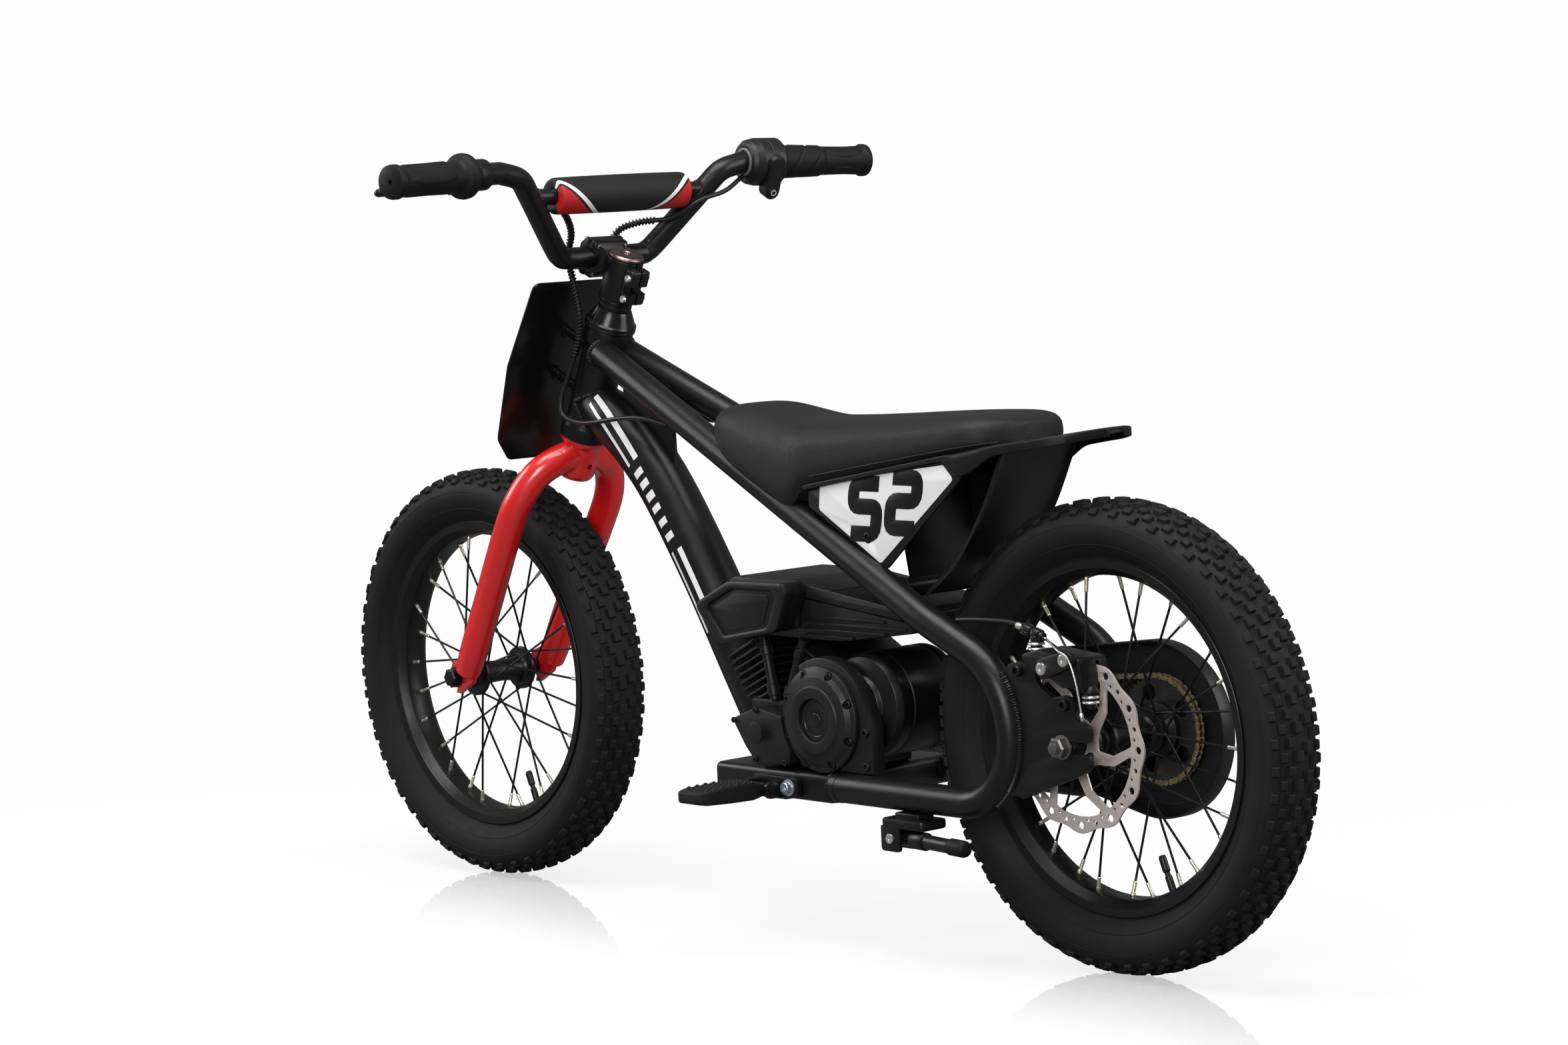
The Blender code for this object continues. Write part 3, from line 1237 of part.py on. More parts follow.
def footpeg(side):
    """Tapered tread on a hinged knuckle, modelled from the pivot outwards."""
    half_in, half_out = 0.0105, 0.0185
    reach = PEG_LENGTH
    sections = []
    for share, half, low, high in ((0.02, half_in, -0.0055, 0.0055), (0.20, 0.0140, -0.0075, 0.0100),
                                   (0.55, 0.0170, -0.0060, 0.0110), (0.88, half_out, -0.0040, 0.0100),
                                   (0.97, 0.0160, -0.0025, 0.0090), (1.0, 0.0100, -0.0005, 0.0075)):
        y = side * reach * share
        c = 0.003
        sections.append([(half, y, low + c), (half - c, y, low), (-half + c, y, low), (-half, y, low + c),
                         (-half, y, high - c), (-half + c, y, high), (half - c, y, high), (half, y,
                                                                high - c)])
    tread = loft(sections)
    knuckle = rod((-PEG_EAR_GAP + FIT, 0, 0), (PEG_EAR_GAP - FIT, 0, 0), 0.0065, 14)
    bore = rod((-0.05, 0, 0), (0.05, 0, 0), PEG_PIN_RADIUS + FIT, 12)
    return minus(union(tread, knuckle), bore)


for peg_name, peg_side in (("left", 1), ("right", -1)):
    body(peg_name + "_peg", FRAME_AT @ Matrix.Translation((PEG_X, peg_side * PEG_PIVOT_Y, PEG_PIVOT_Z)))
    piece(peg_name + "_peg_bracket", peg_bracket(peg_side), "frame", "satin_black_paint")
    piece(peg_name + "_footpeg", footpeg(peg_side), peg_name + "_peg", "rubber")

STAND_X = 0.2100
STAND_Z = 0.1155
STAND_Y = 0.0800
STAND_LENGTH = 0.095
STAND_SPLAY = math.radians(8)
STAND_PIN_RADIUS = 0.004
STAND_HALF_SLOT = 0.0085


def kickstand_bracket():
    """Clamp under the left rail: bridge plate, cheek ears and the pivot pin."""
    top = RAIL_Z - LOOP_RADIUS - FIT
    clamp = box((0.168, LOOP_REAR_Y - 0.016, top - 0.014), (0.2235, LOOP_REAR_Y + 0.018, top), 0.003)
    ears = []
    for end in (-1, 1):
        near = STAND_Y + end * STAND_HALF_SLOT
        ys = sorted((near, near + end * 0.004))
        ears.append(box((STAND_X - 0.012, ys[0], STAND_Z - 0.012), (STAND_X + 0.0125, ys[1], top - 0.012)))
    pin = rod((STAND_X, STAND_Y - STAND_HALF_SLOT - 0.006, STAND_Z),
              (STAND_X, STAND_Y + STAND_HALF_SLOT + 0.006, STAND_Z),
              STAND_PIN_RADIUS, 12)
    return union(clamp, *ears, pin)


def kickstand():
    """Folding leg: knuckle on the pin, sleeve, slim tube and rubber foot, lying back along the rail."""
    out = Vector((-math.cos(STAND_SPLAY), math.sin(STAND_SPLAY), 0))
    knuckle = rod((0, -STAND_HALF_SLOT + FIT, 0), (0, STAND_HALF_SLOT - FIT, 0), 0.0090, 14)
    leg = tube([(-0.002, 0, 0), (-0.0185, 0, 0), out * 0.0225, out * 0.042, out * 0.044,
                out * (STAND_LENGTH - 0.016),
                out * (STAND_LENGTH - 0.014), out * (STAND_LENGTH + 0.004), out * (STAND_LENGTH
                                                                + 0.008)], 0.0070, 2,
               [1.05, 1.05, 1.2, 1.2, 0.95, 0.95, 1.12, 1.12, 0.7])
    bore = rod((0, -0.05, 0), (0, 0.05, 0), STAND_PIN_RADIUS + FIT, 12)
    return minus(union(knuckle, leg), bore)


piece("kickstand_bracket", kickstand_bracket(), "frame", "satin_black_paint")
body("kickstand", FRAME_AT @ Matrix.Translation((STAND_X, STAND_Y, STAND_Z)))
piece("kickstand", kickstand(), "kickstand", "satin_black_paint")

# Front number plate on two posts from the head tube
PLATE_X = 0.0602
PLATE_THICKNESS = 0.003
POST_RADIUS = 0.006


def number_plate():
    corners = [(-0.040, 0.244), (0.040, 0.244), (0.060, 0.268), (0.0690, 0.352), (0.0590, 0.4430),
               (-0.0590, 0.4430),
               (-0.0690, 0.352), (-0.060, 0.268)]
    outline = rounded(corners, [0.010, 0.010, 0.016, 0.020, 0.010, 0.010, 0.020, 0.016], 3)
    upright = Matrix(((0, 0, 1, PLATE_X), (1, 0, 0, 0), (0, 1, 0, 0), (0, 0, 0, 1)))
    sheet = plate(outline, PLATE_THICKNESS, upright)
    posts = [rod((HEAD_TUBE_RADIUS + FIT, 0, z), (PLATE_X, 0, z), POST_RADIUS, 10) for z in (0.340, 0.388)]
    return placed(union(sheet, *posts), STEER_IN_FRAME)


piece("front_number_plate", number_plate(), "frame", "black_plastic")

headset_profile = [(STEERER_RADIUS + 0.0030, HEADSET_TOP), (0.0195, HEADSET_TOP - 0.004),
                   (0.0245, HEADSET_BOTTOM + 0.0075),
                   (0.0262, HEADSET_BOTTOM + 0.0060), (0.0262, HEADSET_BOTTOM), (STEERER_RADIUS + FIT,
                                                                HEADSET_BOTTOM),
                   (STEERER_RADIUS + FIT, HEADSET_TOP)]
piece("upper_headset", turned(headset_profile, 20, STEER_IN_FRAME, closed=True), "frame",
      "gloss_black_plastic")


# Fork: crown and steerer, two bent legs and their dropouts
def fork():
    crown = turned([(0, STEM_TOP - 0.002), (STEERER_RADIUS, STEM_TOP - 0.002), (STEERER_RADIUS, CROWN_TOP),
                    (HEAD_CUP_RADIUS - 0.001, CROWN_TOP), (HEAD_CUP_RADIUS - 0.0015, CROWN_TOP - 0.004),
                    (CROWN_RADIUS, CROWN_TOP - 0.008), (CROWN_RADIUS, CROWN_BOTTOM + 0.003),
                    (CROWN_RADIUS - 0.003, CROWN_BOTTOM), (0, CROWN_BOTTOM)], 16)
    solids = []
    for side in (1, -1):
        y = FORK_LEG_OFFSET
        bulge = y + FORK_BULGE
        route = smooth_path([(-0.002, 0.006 * side, 0.2790), (0.000, 0.028 * side, 0.2705),
                             (0.004, 0.047 * side, 0.2540),
                             (0.0075, 0.97 * bulge * side, 0.2240), (0.0120, bulge * side, 0.1850),
                             (0.0220, (y + 0.2 * FORK_BULGE) * side, 0.0950), (0.0290, y * side,
                                                                0.0130)], 2)
        ends = [1.0] * (len(route) - 1) + [0.85]
        solids.append(tube(route, FORK_LEG_RADIUS, 3, ends))
        outline = [(0.0180, 0.030), (0.0420, 0.026), (0.0560, 0.012), (0.0580, -0.004), (0.0540, -0.014),
                   (FORK_OFFSET + SLOT_HALF, -0.016), (FORK_OFFSET + SLOT_HALF, 0)]
        outline += arc((FORK_OFFSET, 0), SLOT_HALF, 0, 180, 6)[1:]
        outline += [(FORK_OFFSET - SLOT_HALF, -0.016), (0.0340, -0.014), (0.0190, 0.006)]
        solids.append(side_plate(outline, DROPOUT_THICKNESS, side * (front_seat + DROPOUT_THICKNESS / 2)))
    return union(crown, *solids)


def wheel_clear():
    return rod((FORK_OFFSET, -front_seat + FIT, 0), (FORK_OFFSET, front_seat - FIT, 0), 0.0250, 20)


def nut_clear():
    side = front_seat + DROPOUT_THICKNESS
    return together([rod((FORK_OFFSET, s * side, 0), (FORK_OFFSET, s * (side + 0.02), 0), 0.0125, 16)
                     for s in (1, -1)])


piece("fork", minus(fork(), wheel_clear(), nut_clear()), "steering", "red_paint")


# Stem: spacer and steerer clamp, bar clamp block and face plate
def bar_bore(grow):
    return rod((STEM_REACH, -0.1, BAR_Z), (STEM_REACH, 0.1, BAR_Z), BAR_RADIUS + grow, 20)


def stem():
    low = STEM_BOTTOM + STEM_SPACER_HEIGHT
    collar = turned([(STEM_RADIUS, STEM_TOP), (STEM_RADIUS, low), (STEM_RADIUS - 0.0015, low - FIT),
                     (STEM_RADIUS - 0.0015, STEM_BOTTOM), (STEERER_RADIUS + FIT, STEM_BOTTOM),
                     (STEERER_RADIUS + FIT, STEM_TOP)], 18, closed=True)
    half_w, half_h = STEM_CLAMP_HALF_WIDTH, STEM_CLAMP_HALF_HEIGHT
    front = STEM_REACH - 0.0005
    neck = loft([[(x, y, z) for y, z in ((-w, BAR_Z - h), (w, BAR_Z - h), (w, BAR_Z + h), (-w, BAR_Z + h))]
                 for x, w, h in ((STEERER_RADIUS + 0.0012, 0.0110, 0.0110), (0.020, 0.0115, 0.0125),
                                 (0.0250, half_w, half_h), (front, half_w, half_h))])
    lugs = box((-STEM_RADIUS - 0.010, -0.0120, low + 0.003), (-STERN_DEPTH, 0.0120, STEM_TOP - 0.004),
               0.003)
    split = box((-STEM_RADIUS - 0.02, -0.0012, low - 0.002),
                (-STEERER_RADIUS - 0.0006, 0.0012, STEM_TOP + 0.002))
    notch = box((-STEM_RADIUS - 0.02, -0.03, low + 0.0155), (-STEM_RADIUS - 0.0005, 0.03, low + 0.0235))
    return minus(union(collar, neck, lugs), split, notch, bar_bore(FIT))


STERN_DEPTH = STEERER_RADIUS + 0.0015


def faceplate():
    back = STEM_REACH + 0.0005
    half_w, half_h = STEM_CLAMP_HALF_WIDTH, STEM_CLAMP_HALF_HEIGHT
    profile = [(back, -half_h), (back + 0.006, -half_h), (back + FACEPLATE_DEPTH, -0.55 * half_h),
               (back + FACEPLATE_DEPTH, 0.55 * half_h), (back + 0.006, half_h), (back, half_h)]
    block = side_plate([(x, BAR_Z + z) for x, z in profile], 2 * half_w, 0)
    window = box((back - 0.01, -0.0085, BAR_Z - 0.1), (back + 0.05, 0.0085, BAR_Z - half_h + 0.005))
    return minus(block, bar_bore(FIT), window)


piece("stem", stem(), "steering", "satin_black_paint")
piece("stem_faceplate", faceplate(), "steering", "satin_black_paint")
cap_low = STEM_TOP + FIT
cap = turned([(0, cap_low + STEM_CAP_HEIGHT - 0.0012), (0.0050, cap_low + STEM_CAP_HEIGHT - 0.0012),
              (0.0060, cap_low + STEM_CAP_HEIGHT), (STEM_CAP_RADIUS - 0.002, cap_low + STEM_CAP_HEIGHT),
              (STEM_CAP_RADIUS, cap_low + 0.002), (STEM_CAP_RADIUS - 0.001, cap_low), (0, cap_low)], 18)
piece("stem_cap", cap, "steering", "bronze_anodised")


# Handlebar with crossbar; the grips' axis leaves the outer bend swept back and up
GRIP_START = Vector((STEM_REACH, BAR_BEND_OUT + 0.026, BAR_Z + BAR_RISE - 0.002))
BAR_END = Vector((STEM_REACH - BAR_BACKSWEEP, BAR_HALF_WIDTH - 0.004,
                  BAR_Z + BAR_RISE + BAR_UPSWEEP - 0.002))
GRIP_AXIS = (BAR_END - GRIP_START).normalized()


def mirrored(vector, side):
    return Vector((vector.x, side * vector.y, vector.z))


def grip_place(side, distance):
    """Frame on the bar: local Z runs outwards along the grip, local X backwards and level."""
    axis = mirrored(GRIP_AXIS, side)
    origin = mirrored(GRIP_START, side) + axis * distance
    across = Vector((-1, 0, 0))
    across = (across - axis * across.dot(axis)).normalized()
    other = axis.cross(across)
    place = Matrix((across, other, axis)).transposed().to_4x4()
    place.translation = origin
    return place


def bar_half(side):
    riser_foot = Vector((STEM_REACH, BAR_FLAT + 0.020, BAR_Z + 0.012))
    riser_head = Vector((STEM_REACH, BAR_BEND_OUT - 0.016, BAR_Z + BAR_RISE - 0.026))
    points = [Vector((STEM_REACH, BAR_FLAT, BAR_Z)), Vector((STEM_REACH, BAR_FLAT + 0.011,
                                                             BAR_Z + 0.0035)), riser_foot,
              riser_foot.lerp(riser_head, 0.5), riser_head, Vector((STEM_REACH, BAR_BEND_OUT,
                                                                BAR_Z + BAR_RISE - 0.0095)),
              GRIP_START]
    return [mirrored(p, side) for p in points]


def handlebar():
    left = smooth_path([mirrored(Vector((STEM_REACH, 0, BAR_Z)), 1)] + bar_half(1), 2) + [BAR_END]
    right = smooth_path([mirrored(Vector((STEM_REACH, 0, BAR_Z)), 1)] + bar_half(-1),
                        2) + [mirrored(BAR_END, -1)]
    bar = tube(list(reversed(right))[:-1] + left, BAR_RADIUS, 3)
    crossbar = rod((STEM_REACH, -CROSSBAR_REACH, BAR_Z + CROSSBAR_RISE),
                   (STEM_REACH, CROSSBAR_REACH, BAR_Z + CROSSBAR_RISE),
                   CROSSBAR_RADIUS, 10)
    return union(bar, crossbar)


CROSSBAR_REACH = BAR_BEND_OUT - 0.018
piece("handlebar", handlebar(), "steering", "satin_black_paint")

pad_place = Matrix.Translation((STEM_REACH, 0, BAR_Z + CROSSBAR_RISE)) @ AXLE_TURN
half_pad = PAD_LENGTH / 2
pad_bore = CROSSBAR_RADIUS + 2 * FIT
bar_pad = turned([(0.80 * PAD_RADIUS, half_pad), (0.95 * PAD_RADIUS, half_pad - 0.0015),
                  (PAD_RADIUS, half_pad - 0.006),
                  (1.02 * PAD_RADIUS, 0), (PAD_RADIUS, 0.006 - half_pad), (0.95 * PAD_RADIUS,
                                                                0.0015 - half_pad),
                  (0.80 * PAD_RADIUS, -half_pad), (pad_bore, -half_pad), (pad_bore,
                                                                half_pad)], 16, pad_place, closed=True)
piece("bar_pad", bar_pad, "steering", "seat_cover")

BAR_RUN = (BAR_END - GRIP_START).length
GRIP_END = BAR_RUN + 0.004
GRIP_INNER = GRIP_END - GRIP_LENGTH
grip_bore = 1.035 * BAR_RADIUS + FIT


def left_grip():
    """Rubber grip closed at its end, with an end flange and a thick guard ring inboard."""
    r, end, start = GRIP_RADIUS, GRIP_END, GRIP_INNER
    profile = [(0, end), (GRIP_FLANGE_RADIUS - 0.002, end), (GRIP_FLANGE_RADIUS, end - 0.003),
               (GRIP_FLANGE_RADIUS, end - 0.008), (r, end - 0.012), (r * 1.04, start + 0.050), (r,
                                                                start + 0.024),
               (r * 1.12, start + 0.021), (GRIP_DONUT_RADIUS, start + 0.016), (GRIP_DONUT_RADIUS,
                                                                start + 0.009),
               (r * 1.15, start + 0.003), (r * 1.08, start), (grip_bore, start), (grip_bore, BAR_RUN + FIT),
               (0, BAR_RUN + FIT)]
    return turned(profile, 16, grip_place(1, 0))


piece("left_grip", left_grip(), "steering", "rubber")

PERCH_AT = GRIP_INNER - FIT - PERCH_WIDTH


def lever_frame():
    """Lever frame at its pivot: X from the lever to the grip, Y outwards along the grip, Z the pin."""
    place = grip_place(1, PERCH_AT + PERCH_WIDTH / 2)
    down = STEER_TURN.inverted() @ Vector((0.970, 0, -0.243))
    out = mirrored(GRIP_AXIS, 1)
    away = (down - out * down.dot(out)).normalized()
    origin = place.translation + away * (LEVER_REACH - 0.013) - out * 0.004
    toward = -away
    pin = toward.cross(out)
    frame = Matrix((toward, out, pin)).transposed().to_4x4()
    frame.translation = origin
    return frame


LEVER_AT = lever_frame()
LEVER_PIN_RADIUS = 0.0025
LEVER_THICKNESS = 0.0085


def lever_perch():
    """Clamp on the bar with a forked arm that holds the lever's pin, and the cable adjuster."""
    clamp = ring(PERCH_RADIUS, grip_bore, PERCH_AT, PERCH_AT + PERCH_WIDTH, 12, grip_place(1, 0))
    reach = LEVER_REACH - 0.013 - PERCH_RADIUS + 0.004
    arms = []
    for end in (-1, 1):
        near = end * (LEVER_THICKNESS / 2 + FIT)
        zs = sorted((near, near + end * 0.003))
        arms.append(placed(box((-0.0060, -0.0070, zs[0]), (reach, 0.0060, zs[1])), LEVER_AT))
    pin = placed(rod((0, 0, -LEVER_THICKNESS / 2 - 0.004), (0, 0, LEVER_THICKNESS / 2 + 0.004),
                     LEVER_PIN_RADIUS, 10), LEVER_AT)
    adjuster = placed(rod((0.0120, -0.0050, 0), (0.0120, -0.0240, 0), 0.0045, 10), LEVER_AT)
    bridge = placed(box((0.0070, -0.0070, -LEVER_THICKNESS / 2 - 0.001),
                        (reach, -0.0030, LEVER_THICKNESS / 2 + 0.001)), LEVER_AT)
    keep = rod(grip_place(1, -0.05).translation, grip_place(1, 0.2).translation, grip_bore, 12)
    return minus(union(clamp, *arms, bridge, adjuster, pin), keep)


def brake_lever():
    """Curved two-finger blade with a ball end, from its eye on the pin."""
    eye = rod((0, 0, -LEVER_THICKNESS / 2), (0, 0, LEVER_THICKNESS / 2), 0.0070, 14)
    length = LEVER_LENGTH
    inner = [(0.0050, 0.006), (0.0010, 0.030), (-0.0020, 0.060), (0.0005, 0.085), (0.0030, length)]
    outer = [(-0.0065, length + 0.001), (-0.0085, 0.085), (-0.0110, 0.060), (-0.0095, 0.030),
             (-0.0060, 0.004)]
    blade = plate(inner + outer, LEVER_THICKNESS - 0.001)
    ball = rod((-0.0020, length, -LEVER_THICKNESS / 2), (-0.0020, length, LEVER_THICKNESS / 2), 0.0062, 10)
    bore = rod((0, 0, -0.02), (0, 0, 0.02), LEVER_PIN_RADIUS + FIT, 10)
    return minus(union(eye, blade, ball), bore)


piece("lever_perch", lever_perch(), "steering", "satin_black_paint")
body("brake_lever", STEER_AT @ LEVER_AT)
piece("brake_lever", brake_lever(), "brake_lever", "satin_black_paint")

# Twist throttle: housing drum with a switch pod behind it, the turning grip and the power button
DRUM_END = GRIP_INNER + 0.002
DRUM_START = DRUM_END - THROTTLE_DRUM_WIDTH
POD_HALF_WIDTH = 0.0085
POD_X = 0.0200
POD_BUTTON = 0.0225


def throttle_housing():
    r = THROTTLE_DRUM_RADIUS
    profile = [(0.90 * r, DRUM_END), (r, DRUM_END - 0.003), (r, DRUM_START + 0.012),
               (0.93 * r, DRUM_START + 0.004),
               (0.80 * r, DRUM_START), (grip_bore, DRUM_START), (grip_bore, DRUM_END)]
    drum = turned(profile, 16, grip_place(-1, 0), closed=True)
    place = grip_place(-1, (DRUM_START + DRUM_END) / 2 + 0.004)
    outline = arc((0, POD_BUTTON), POD_HALF_WIDTH, 0, 180, 6) + arc((0, -0.008), POD_HALF_WIDTH, 180, 360,
                                                                6)
    upright = Matrix(((0, 0, 1, POD_X), (0, 1, 0, 0), (-1, 0, 0, 0), (0, 0, 0, 1)))
    pod = placed(plate(outline, 0.016), place @ upright)
    keep = rod(grip_place(-1, -0.05).translation, grip_place(-1, 0.2).translation, grip_bore, 16)
    well = placed(rod((POD_X + 0.0030, POD_BUTTON, 0), (POD_X + 0.03, POD_BUTTON, 0), BUTTON_RADIUS + FIT,
                      14), place)
    return minus(union(drum, pod), keep, well)


def throttle_grip():
    """Turning grip closed at its end: spiral-ribbed inner part, plain outer part and end flange."""
    r, end, start = GRIP_RADIUS, GRIP_END, DRUM_END + FIT
    profile = [(0, end), (GRIP_FLANGE_RADIUS - 0.001, end), (GRIP_FLANGE_RADIUS, end - 0.003),
               (GRIP_FLANGE_RADIUS, end - 0.007), (r, end - 0.010), (r * 0.95, end - 0.030), (r,
                                                                start + 0.052),
               (r * 1.08, start + 0.049), (r * 1.10, start + 0.040), (r * 1.05, start + 0.036), (r * 1.12,
                                                                start + 0.026),
               (r * 1.07, start + 0.022), (r * 1.16, start + 0.010), (r * 1.16, start), (BAR_RADIUS + RUN,
                                                                start),
               (BAR_RADIUS + RUN, BAR_RUN + RUN), (0, BAR_RUN + RUN)]
    return turned(profile, 16)


piece("throttle_housing", throttle_housing(), "steering", "black_plastic")
body("throttle", STEER_AT @ grip_place(-1, 0))
piece("throttle_grip", throttle_grip(), "throttle", "rubber")
button_place = grip_place(-1, (DRUM_START + DRUM_END) / 2 + 0.004)
body("power_button", STEER_AT @ button_place)
button = rod((POD_X + 0.0030 + FIT + BUTTON_TRAVEL, POD_BUTTON, 0), (POD_X + 0.0095, POD_BUTTON, 0),
             BUTTON_RADIUS, 14, BUTTON_RADIUS - 0.0005)
piece("power_button", button, "power_button", "black_plastic")


# Disc brake caliper astride the rotor, its arm and the cables
ARM_LENGTH = 0.0305
ARM_ANGLE = math.atan2(0.2941 - CALIPER_PIVOT[1], -0.0154 - CALIPER_PIVOT[0])
CALIPER_OUTER_Y = 0.0800
ARM_THICKNESS = 0.0055
WIRE_RADIUS = 0.0009
ADJUSTER_NOSE = Vector((0.0500, 0.0700, 0.3170))
ADJUSTER_TAIL = Vector((0.0250, 0.0706, 0.3100))
ADJUSTER_LINE = (ADJUSTER_NOSE - ADJUSTER_TAIL).normalized()


def caliper():
    """Body with a slot for the rotor, bolted to the dropout's two lugs, with arm post and adjuster boss."""
    outline = rounded([(-0.030, 0.2640), (-0.026, 0.2950), (0.026, 0.3000), (0.050, 0.2940),
                       (0.030, 0.2800)], 0.006, 2)
    core = side_plate(outline, CALIPER_OUTER_Y - 0.0440, (CALIPER_OUTER_Y + 0.0440) / 2)
    slot = side_plate(circle(ROTOR_RADIUS + ROTOR_WAVE + 0.0012, 40, (0, AXLE_Z)),
                      ROTOR_THICKNESS + 0.0020, ROTOR_Y)
    lug = side_plate(dropout_outline(LEFT_TOP), DROPOUT_THICKNESS + 2 * FIT, DROPOUT_PLANE_Y)
    lug_grow = side_plate([(x, z + 0.0006) for x, z in dropout_outline(LEFT_TOP)],
                          DROPOUT_THICKNESS + 2 * FIT, DROPOUT_PLANE_Y)
    post = rod((CALIPER_PIVOT[0], CALIPER_OUTER_Y - 0.002, CALIPER_PIVOT[1]),
               (CALIPER_PIVOT[0], CALIPER_OUTER_Y + FIT + ARM_THICKNESS + 0.002,
                CALIPER_PIVOT[1]), 0.0035, 10)
    boss = rod(ADJUSTER_TAIL, ADJUSTER_NOSE, 0.0060, 12)
    pedestal = box((0.0280, 0.0645, 0.2940), (0.0410, 0.0755, 0.3110))
    bore = rod(ADJUSTER_TAIL - ADJUSTER_LINE * 0.01, ADJUSTER_NOSE + ADJUSTER_LINE * 0.01,
               WIRE_RADIUS + RUN, 8)
    hoop = tube(loop_path(1), LOOP_RADIUS + FIT, 3)
    return minus(union(core, post, pedestal, boss), slot, lug, lug_grow, hoop, bore)


def caliper_arm():
    """Pill-shaped lever arm from its pivot to the wire clamp."""
    out = Vector((math.cos(ARM_ANGLE), math.sin(ARM_ANGLE)))
    turn = math.degrees(ARM_ANGLE)
    tip = out * ARM_LENGTH
    outline = arc((0, 0), 0.0090, turn + 90, turn + 270, 8) + arc((tip.x, tip.y), 0.0080, turn - 90,
                                                                turn + 90, 8)
    middle = CALIPER_OUTER_Y + FIT + ARM_THICKNESS / 2
    bar = side_plate(outline, ARM_THICKNESS, middle, [circle(0.0035 + FIT, 12)])
    clamp = rod((tip.x, middle, tip.y), (tip.x, middle + 0.0060, tip.y), 0.0055, 10)
    return union(bar, clamp)


piece("brake_caliper", caliper(), "frame", "satin_black_paint")
body("caliper_arm", FRAME_AT @ Matrix.Translation((CALIPER_PIVOT[0], 0, CALIPER_PIVOT[1])))
piece("caliper_arm", caliper_arm(), "caliper_arm", "black_plastic")

HOUSING_RADIUS = 0.0024
WRAP_SCALE = 1.65


def rear_brake_cable():
    """Housing from the frame loop to the adjuster, and the bare wire on to the arm with its free tail."""
    end = ADJUSTER_NOSE + ADJUSTER_LINE * 0.0011
    housing = smooth_path([(0.1335, 0.0700, 0.3194), (0.1150, 0.0702, 0.3208), (0.0900, 0.0702, 0.3216),
                           (0.0660, 0.0701, 0.3210), end], 2)
    wire = [end + ADJUSTER_LINE * 0.003, ADJUSTER_TAIL - ADJUSTER_LINE * 0.004,
            Vector((-0.0090, 0.0880, 0.3022)),
            Vector((-0.0215, 0.0882, 0.2998)), Vector((-0.0300, 0.0884, 0.2800)), Vector((-0.0360, 0.0880,
                                                                0.2420))]
    return union(tube(housing, HOUSING_RADIUS, 2), tube(wire, WIRE_RADIUS, 1))


piece("rear_brake_cable", rear_brake_cable(), "frame", "rubber")


def control_cable(route, wrap_from, wrap_to):
    """Housing along a smooth route, thicker where it is spiral wrapped."""
    path = smooth_path(route, 2)
    scale = [WRAP_SCALE if wrap_from <= i <= wrap_to else 1.0 for i in range(len(path))]
    return tube(path, HOUSING_RADIUS, 1, scale)


FRAME_STOP = Vector((-0.1459, 0.0300, 0.3792))
HEAD_RUN = [(0.0090, 0.0290, 0.4040), (0.0092, 0.0310, 0.3650), (0.0074, 0.0350, 0.3370),
            (-0.0040, 0.0370, 0.3240),
            (-0.0366, 0.0370, 0.3310), (-0.0823, 0.0350, 0.3572), (-0.1130, 0.0330, 0.3713)]
lever_end = LEVER_AT @ Vector((0.0120, -0.0246, 0))
lever_lead = LEVER_AT @ Vector((0.0120, -0.0330, 0))
left_run = [lever_end, lever_lead, (0.0490, 1.0606 * BAR_BEND_OUT, BAR_Z + 0.0800),
            (0.0560, 0.7955 * BAR_BEND_OUT, BAR_Z + 0.0690), (0.0600, 0.5303 * BAR_BEND_OUT,
                                                              BAR_Z + 0.0570),
            (0.0585, 0.3333 * BAR_BEND_OUT, BAR_Z + 0.0400), (0.0565, 0.0290, BAR_Z + 0.0180), (0.0550,
                                                                0.0270, BAR_Z - 0.0080),
            (0.0340, 0.0290, BAR_Z - 0.0300), (0.0160, 0.0310, 0.4300)]
piece("brake_cable", control_cable(left_run + HEAD_RUN + [FRAME_STOP], 9, 19), "steering", "rubber")
drum_end = grip_place(-1, DRUM_START - 3 * RUN) @ Vector((0.0060, 0.0130, 0))
right_run = [drum_end, (0.0190, -0.9848 * BAR_BEND_OUT, BAR_Z + 0.0720),
             (0.0180, -0.7576 * BAR_BEND_OUT, BAR_Z + 0.0640),
             (0.0240, -0.5303 * BAR_BEND_OUT, BAR_Z + 0.0430), (0.0430, -0.3561 * BAR_BEND_OUT,
                                                                BAR_Z + 0.0310), (0.0560, -0.0320,
                                                                BAR_Z + 0.0160), (0.0550, -0.0270,
                                                                BAR_Z - 0.0080),
             (0.0340, -0.0290, BAR_Z - 0.0300), (0.0160, -0.0310, 0.4300)]
mirror_run = [(x, -y, z) for x, y, z in HEAD_RUN + [tuple(FRAME_STOP)]]
piece("throttle_cable", control_cable(right_run + mirror_run, 7, 17), "steering", "rubber")
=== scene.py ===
"""Looks for the child-size electric bike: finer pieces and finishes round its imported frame.

Metres, in the row frame: +X is forwards, +Y is the rider's left, the origin is on the ground between the axles.
"""
import json
import math

import bmesh
import bpy
from mathutils import Matrix, Vector

